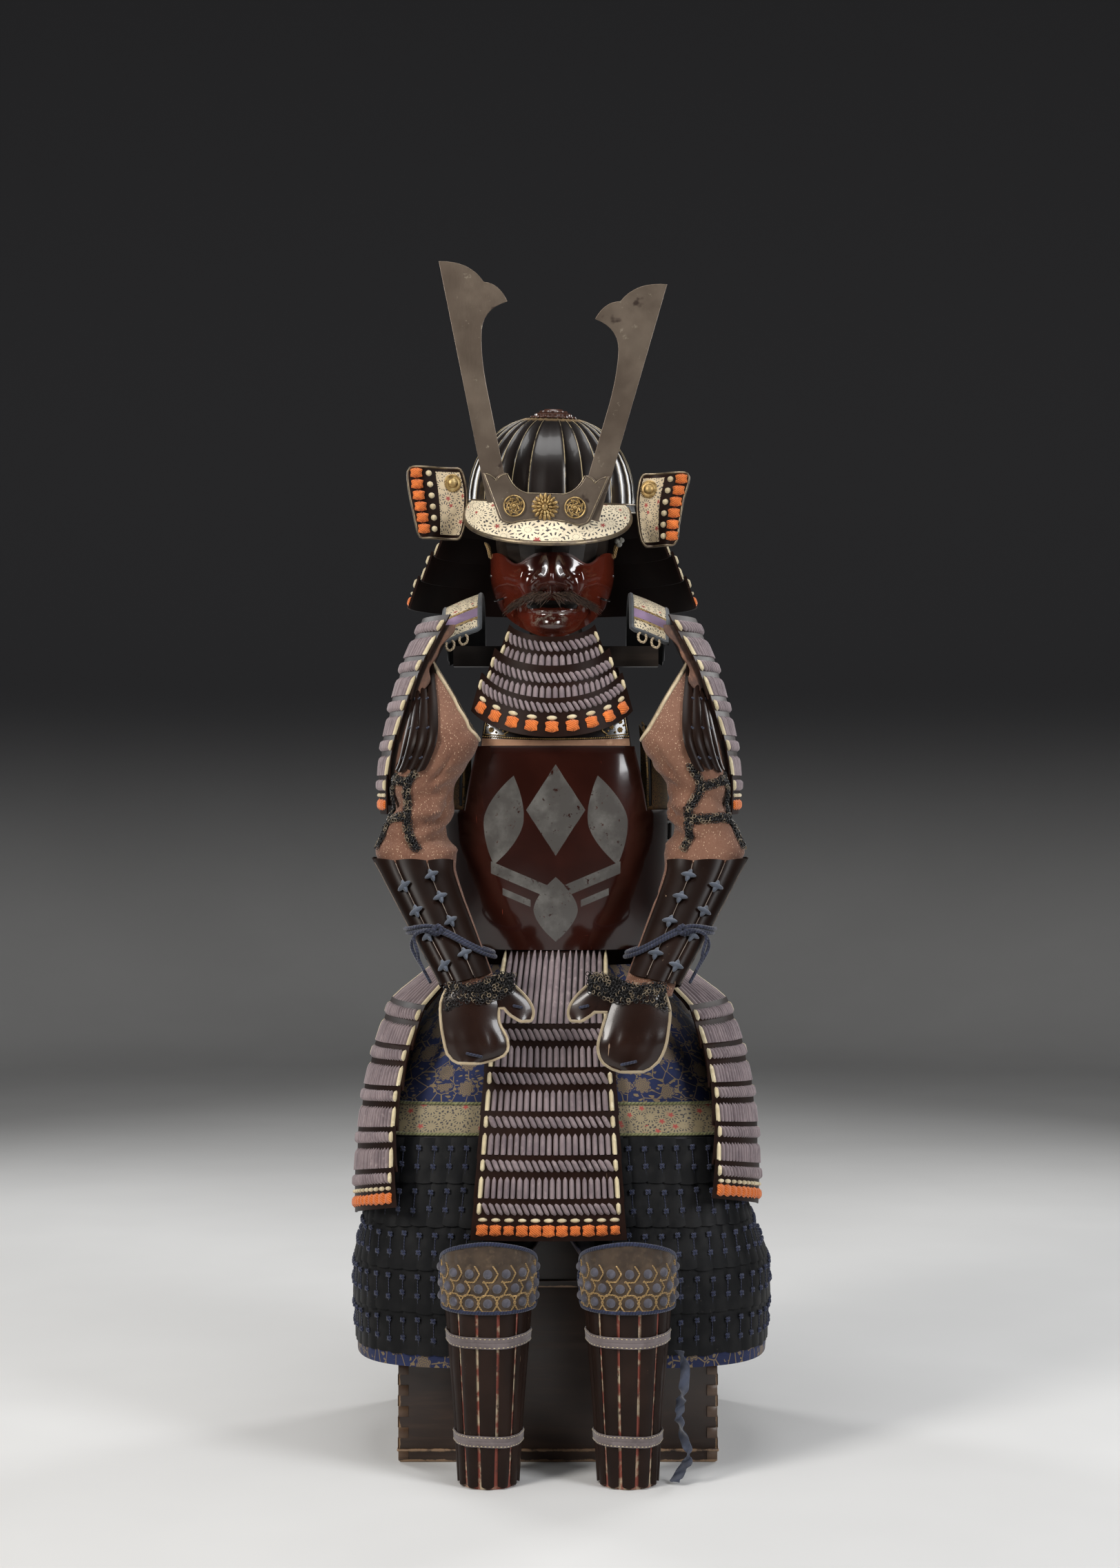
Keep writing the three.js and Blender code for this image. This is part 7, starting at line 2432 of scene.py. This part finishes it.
def make_knee(name):
    def face(u, v, out=2.8):
        u, v = arrays(u, v)
        z = mix(KNEE["foot"], knee_top(u), v)
        hexed = 2.2 * (hex_dome(u * KNEE["width"], z) - 0.35)
        return shin_point(name, rad(96) * (2 * u - 1), z,
                          out + hexed * clamp(v / 0.06) * clamp((1 - v) / 0.06))

    flap = Batch().shell(face, np.linspace(0, 1, 97), np.linspace(0, 1, 41), 2.4,
                         uv=lambda u, v: (u * 0.195, v * 0.078))
    flap = flap.make(f"knee_{name}", M_SUEDE, "suede", [f"knee_flap_{name}"])
    binding, net, tufts = Batch(), Batch(), Batch()
    ring = edge_line(face, 0.012, 40)
    binding.tube(ring, 3.0, 8, closed=True, squash=0.9)
    binding.make(f"knee_binding_{name}", M_NAVY, "indigo_cord")
    pitch = KNEE["pitch"]
    for i in range(3):
        z = KNEE["row"] + pitch * 0.88 * i
        xs = np.arange(14 + (i % 2) * pitch / 2, 190, pitch)
        for x in xs:
            u = np.float64(x / KNEE["width"])
            v = np.float64(knee_share(u, z))
            if not 0.05 < v < 0.9 or not 0.04 < u < 0.96:
                continue
            at, way = face(u, v), normal(face, u, v, 0.01)
            across = level(way)
            tufts.scatter(ball(7, 14), at - way * 0.5, across * 6.1, np.cross(way, across) * 6.1, way * 5.0)
            for k in range(6):
                a0, a1 = PI / 3 * k + PI / 6, PI / 3 * (k + 1) + PI / 6
                t = np.linspace(0, 1, 5)
                reach = pitch * 0.56
                px = x + reach * mix(math.sin(a0), math.sin(a1), t)
                pz = z + reach * mix(math.cos(a0), math.cos(a1), t)
                uu = px / KNEE["width"]
                vv = knee_share(uu, pz)
                if uu.min() < 0.03 or uu.max() > 0.97 or vv.min() < 0.03 or vv.max() > 0.97:
                    continue
                if k < 3 or x + 1 > xs[-1] or i == 0 or x < xs[0] + 1:
                    net.tube(raised(face, 0.5)(uu, vv), 1.1, 5)
    net.make(f"knee_net_{name}", M_CORD_OCHRE, "indigo_cord")
    tufts.make(f"knee_tufts_{name}", M_TUFT, "suede")


def hex_dome(x, z):
    """Padded hexagons: 1 in the middle of each, falling towards the lines between them."""
    pitch = KNEE["pitch"]
    best = np.full(np.shape(x + z), 1e9)
    for i in range(-1, 5):
        row = KNEE["row"] + pitch * 0.88 * i
        shift = 14 + (i % 2) * pitch / 2
        dx = (x - shift + pitch / 2) % pitch - pitch / 2
        best = np.minimum(best, np.hypot(dx, z - row))
    return 1 - clamp(best / (pitch * 0.58)) ** 3


RIBBON = table(
    "way x y z", (0, 158, -292, 172), (0.12, 166, -290, 150), (0.2, 163, -300, 126), (0.34, 160, -288, 104),
    (0.5, 158, -296, 84), (0.62, 164, -284, 60), (0.78, 170, -292, 36), (0.9, 160, -286, 16),
    (1, 152, -292, 4.5),
)


def make_ribbon():
    def ribbon(u, v):
        u, v = arrays(u, v)
        way = 1 - v
        swirl = 0.9 * np.sin(way * 19) + 0.5 * np.sin(way * 43)
        middle = points(read(RIBBON, way, "x"), read(RIBBON, way, "y"), read(RIBBON, way, "z"))
        side = points(np.cos(swirl), -0.9 + 0.6 * np.sin(swirl), 0)
        crumple = points(0, 2.2 * np.sin(way * 60 + u * 5), 0)
        return middle + side * (12.0 * (u - 0.5))[..., None] + crumple * clamp(way * 8)[..., None]

    band = Batch().shell(ribbon, np.linspace(0, 1, 9), np.linspace(0, 1, 120), 1.0,
                         uv=lambda u, v: (u * 0.012, v * 0.19))
    band = band.make("ribbon", M_RIBBON, "grey_tape", ["shin_ribbon"])


def shin_cloth_paint():
    """Worn cloth between the splints: faded red and cream."""
    p = Paint("shin_cloth", (0.24, 0.055, 0.035), 0.85, sheen=0.2)
    p.tint(p.step(p.noise(60, 4), 0.45, 0.62), (0.5, 0.4, 0.27))
    p.tint(p.step(p.noise(130, 3), 0.55, 0.7), (0.1, 0.045, 0.035))
    p.relief(p.noise(900, 3), 0.3, 0.5)
    return p.done()


M_SHIN_CLOTH = shin_cloth_paint()
M_SPLINT = lacquer("shin_lacquer", (0.014, 0.0075, 0.0055), (0.3, 0.21, 0.14), rough=0.36, chips=1.0,
                   coat=0.0, level=0.12).done()
M_TAPE = lacing_paint("grey_tape", (0.165, 0.135, 0.135), (0.115, 0.092, 0.092), (0.22, 0.185, 0.18))
M_RIBBON = lacing_paint("blue_grey_ribbon", (0.052, 0.062, 0.095), (0.03, 0.036, 0.058), (0.1, 0.115, 0.15))
M_SUEDE = lacing_paint("brown_suede", (0.062, 0.04, 0.024), (0.038, 0.024, 0.015), (0.105, 0.07, 0.042), 1.5)
M_TUFT = lacing_paint("lavender_tuft", (0.105, 0.1, 0.125), (0.07, 0.068, 0.088), (0.17, 0.165, 0.195), 1.6)


# ------------------------------------------------------------------ chest
CHEST = dict(x=3, y=6, wide=422, deep=372, lid_wide=433, lid_deep=383, lid_low=232, lid_top=438)


def add_board(batch, x, y, z, edge=2.0):
    """A board with softened edges, between a low and a high end in x, y and z."""
    rings = []
    for height, inset in ((z[0], edge), (z[0] + edge, 0), (z[1] - edge, 0), (z[1], edge)):
        left, right, front, back = x[0] + inset, x[1] - inset, y[0] + inset, y[1] - inset
        rings.append([
            (left + edge, front, height), (right - edge, front, height), (right, front + edge, height),
            (right, back - edge, height), (right - edge, back, height), (left + edge, back, height),
            (left, back - edge, height), (left, front + edge, height), (left + edge, front, height),
        ])
    rings = np.array(rings, float)
    batch._sheet(rings, np.zeros((4, 9, 2)))
    for ring, flip in ((rings[-1], False), (rings[0], True)):
        cap = np.stack([ring, np.tile(ring[:-1].mean(0), (9, 1))])
        batch._sheet(cap, np.zeros((2, 9, 2)), flip=flip)


def make_chest():
    """A boarded chest and its lid, with finger joints at the corners and a bead round each."""
    boards, lid, joints, bead = (Batch() for _ in range(4))
    c = CHEST
    w, d = c["wide"] / 2, c["deep"] / 2
    lw, ld = c["lid_wide"] / 2, c["lid_deep"] / 2
    for batch, half, deep, heights in ((boards, w, d, (0, 425)), (lid, lw, ld, (c["lid_low"], c["lid_top"]))):
        add_board(batch, (c["x"] - half, c["x"] + half), (c["y"] - deep, c["y"] + deep), heights)
    boards.make("chest_boards", M_WOOD, "wood", ["chest_body"])
    lid.make("chest_lid_boards", M_WOOD_LID, "wood", ["chest_lid"])
    corners = [(sx, sy) for sx in (-1, 1) for sy in (-1, 1)]
    for half, deep, start, step in ((w, d, 4, 28), (lw, ld, 236, 25)):
        for sx, sy in corners:
            for z in start + step * np.arange(8):
                x, y = c["x"] + sx * (half - 7), c["y"] + sy * (deep + 0.15)
                add_board(joints, (x - 7, x + 6.6), (y - 0.6, y + 0.6), (z, z + step * 0.5), 0.3)
                x, y = c["x"] + sx * (half + 0.15), c["y"] + sy * (deep - 7)
                add_board(joints, (x - 0.6, x + 0.6), (y - 7, y + 6.6), (z + step * 0.5, z + step), 0.3)
    joints.make("chest_finger_joints", M_WOOD_LIGHT, "wood")
    for z, half, deep in ((16, w + 0.4, d + 0.4), (c["lid_low"] + 9, lw + 0.4, ld + 0.4)):
        line = [(-half, -deep), (half, -deep), (half, deep), (-half, deep)]
        for a, b in zip(line, line[1:] + line[:1]):
            t = steps(9)
            bead.tube(points(c["x"] + mix(a[0], b[0], t), c["y"] + mix(a[1], b[1], t), z), 1.6, 6)
    bead.make("chest_beads", M_WOOD, "wood")


WOOD_EDGES = ((0, ((-208, 7), (214, 7))), (2, ((0, 9), (16, 5))), (1, ((-180, 7), (192, 7))))
LID_EDGES = ((0, ((-213.5, 7), (219.5, 7))), (2, ((232, 6), (438, 7))), (1, ((-185.5, 7), (197.5, 7))))
M_WOOD = wood_paint("chest_wood", (0.026, 0.0128, 0.0076), (0.046, 0.024, 0.0148), (0.3, 0.19, 0.11),
                    WOOD_EDGES)
M_WOOD_LID = wood_paint("lid_wood", (0.02, 0.011, 0.0075), (0.034, 0.019, 0.012), (0.26, 0.165, 0.1),
                        LID_EDGES)
M_WOOD_LIGHT = wood_paint("joint_wood", (0.09, 0.048, 0.026), (0.13, 0.075, 0.042), (0.3, 0.2, 0.12))
M_STAND = wood_paint("stand_wood", (0.018, 0.0115, 0.008), (0.032, 0.021, 0.014), (0.1, 0.07, 0.045))


def finish_stand():
    """The stand's CAD mesh is shown as it is, in plain wood."""
    stand = bpy.data.objects["stand"]
    stand.data.materials.clear()
    stand.data.materials.append(M_STAND)


MAKERS = (make_cuirass, make_chest_band, make_armpit_plates, make_straps, make_bowl, make_crown,
          make_visor, make_crest, make_turnbacks, make_neck_guard, make_mask, make_throat_guard,
          make_sleeves, make_thighs, make_shins, make_chest, finish_stand)


# ------------------------------------------------------------------ stage
def set_stage():
    """A plain pale floor that sweeps up all round the part, far behind the camera; the sweep is painted
    darker as it rises, a painted shade.
    """
    p = Paint("studio_floor", (0.62, 0.62, 0.615), 0.85, level=0.2)
    p.tint(p.step(p.noise(1.7, 3), 0.3, 0.8), (0.66, 0.66, 0.655))
    # Painted shade: the sweep grows darker with height.
    p.tint(p.step(p.parts(p.place)[2], 0.02, 1.3), (0.075, 0.075, 0.08))
    p.relief(p.noise(260, 2), 0.15, 0.3)
    t = np.linspace(0, PI / 2, 17)
    reach = np.r_[0.002, 1, 2, 3, 4, 4.6, 4.8 + 2.2 * np.sin(t), 7.0]  # metres from the part
    height = np.r_[np.zeros(6), 2.2 * (1 - np.cos(t)), 9.0]
    turn = np.linspace(0, 2 * PI, 97)
    places = points(reach[:, None] * np.sin(turn), -reach[:, None] * np.cos(turn), height[:, None] - 0.0003)
    batch = Batch()._sheet(places, np.zeros((*places.shape[:2], 2)))
    mesh = bpy.data.meshes.new("floor")
    mesh.from_pydata(batch.places[0].tolist(), [], batch.quads[0].tolist())
    mesh.polygons.foreach_set("use_smooth", np.ones(len(mesh.polygons), bool))
    mesh.materials.append(p.done())
    floor = bpy.data.objects.new("floor", mesh)
    bpy.context.collection.objects.link(floor)


# ------------------------------------------------------------------ making
set_camera()
set_light()
set_stage()
make_guards()
for maker in MAKERS:
    maker()
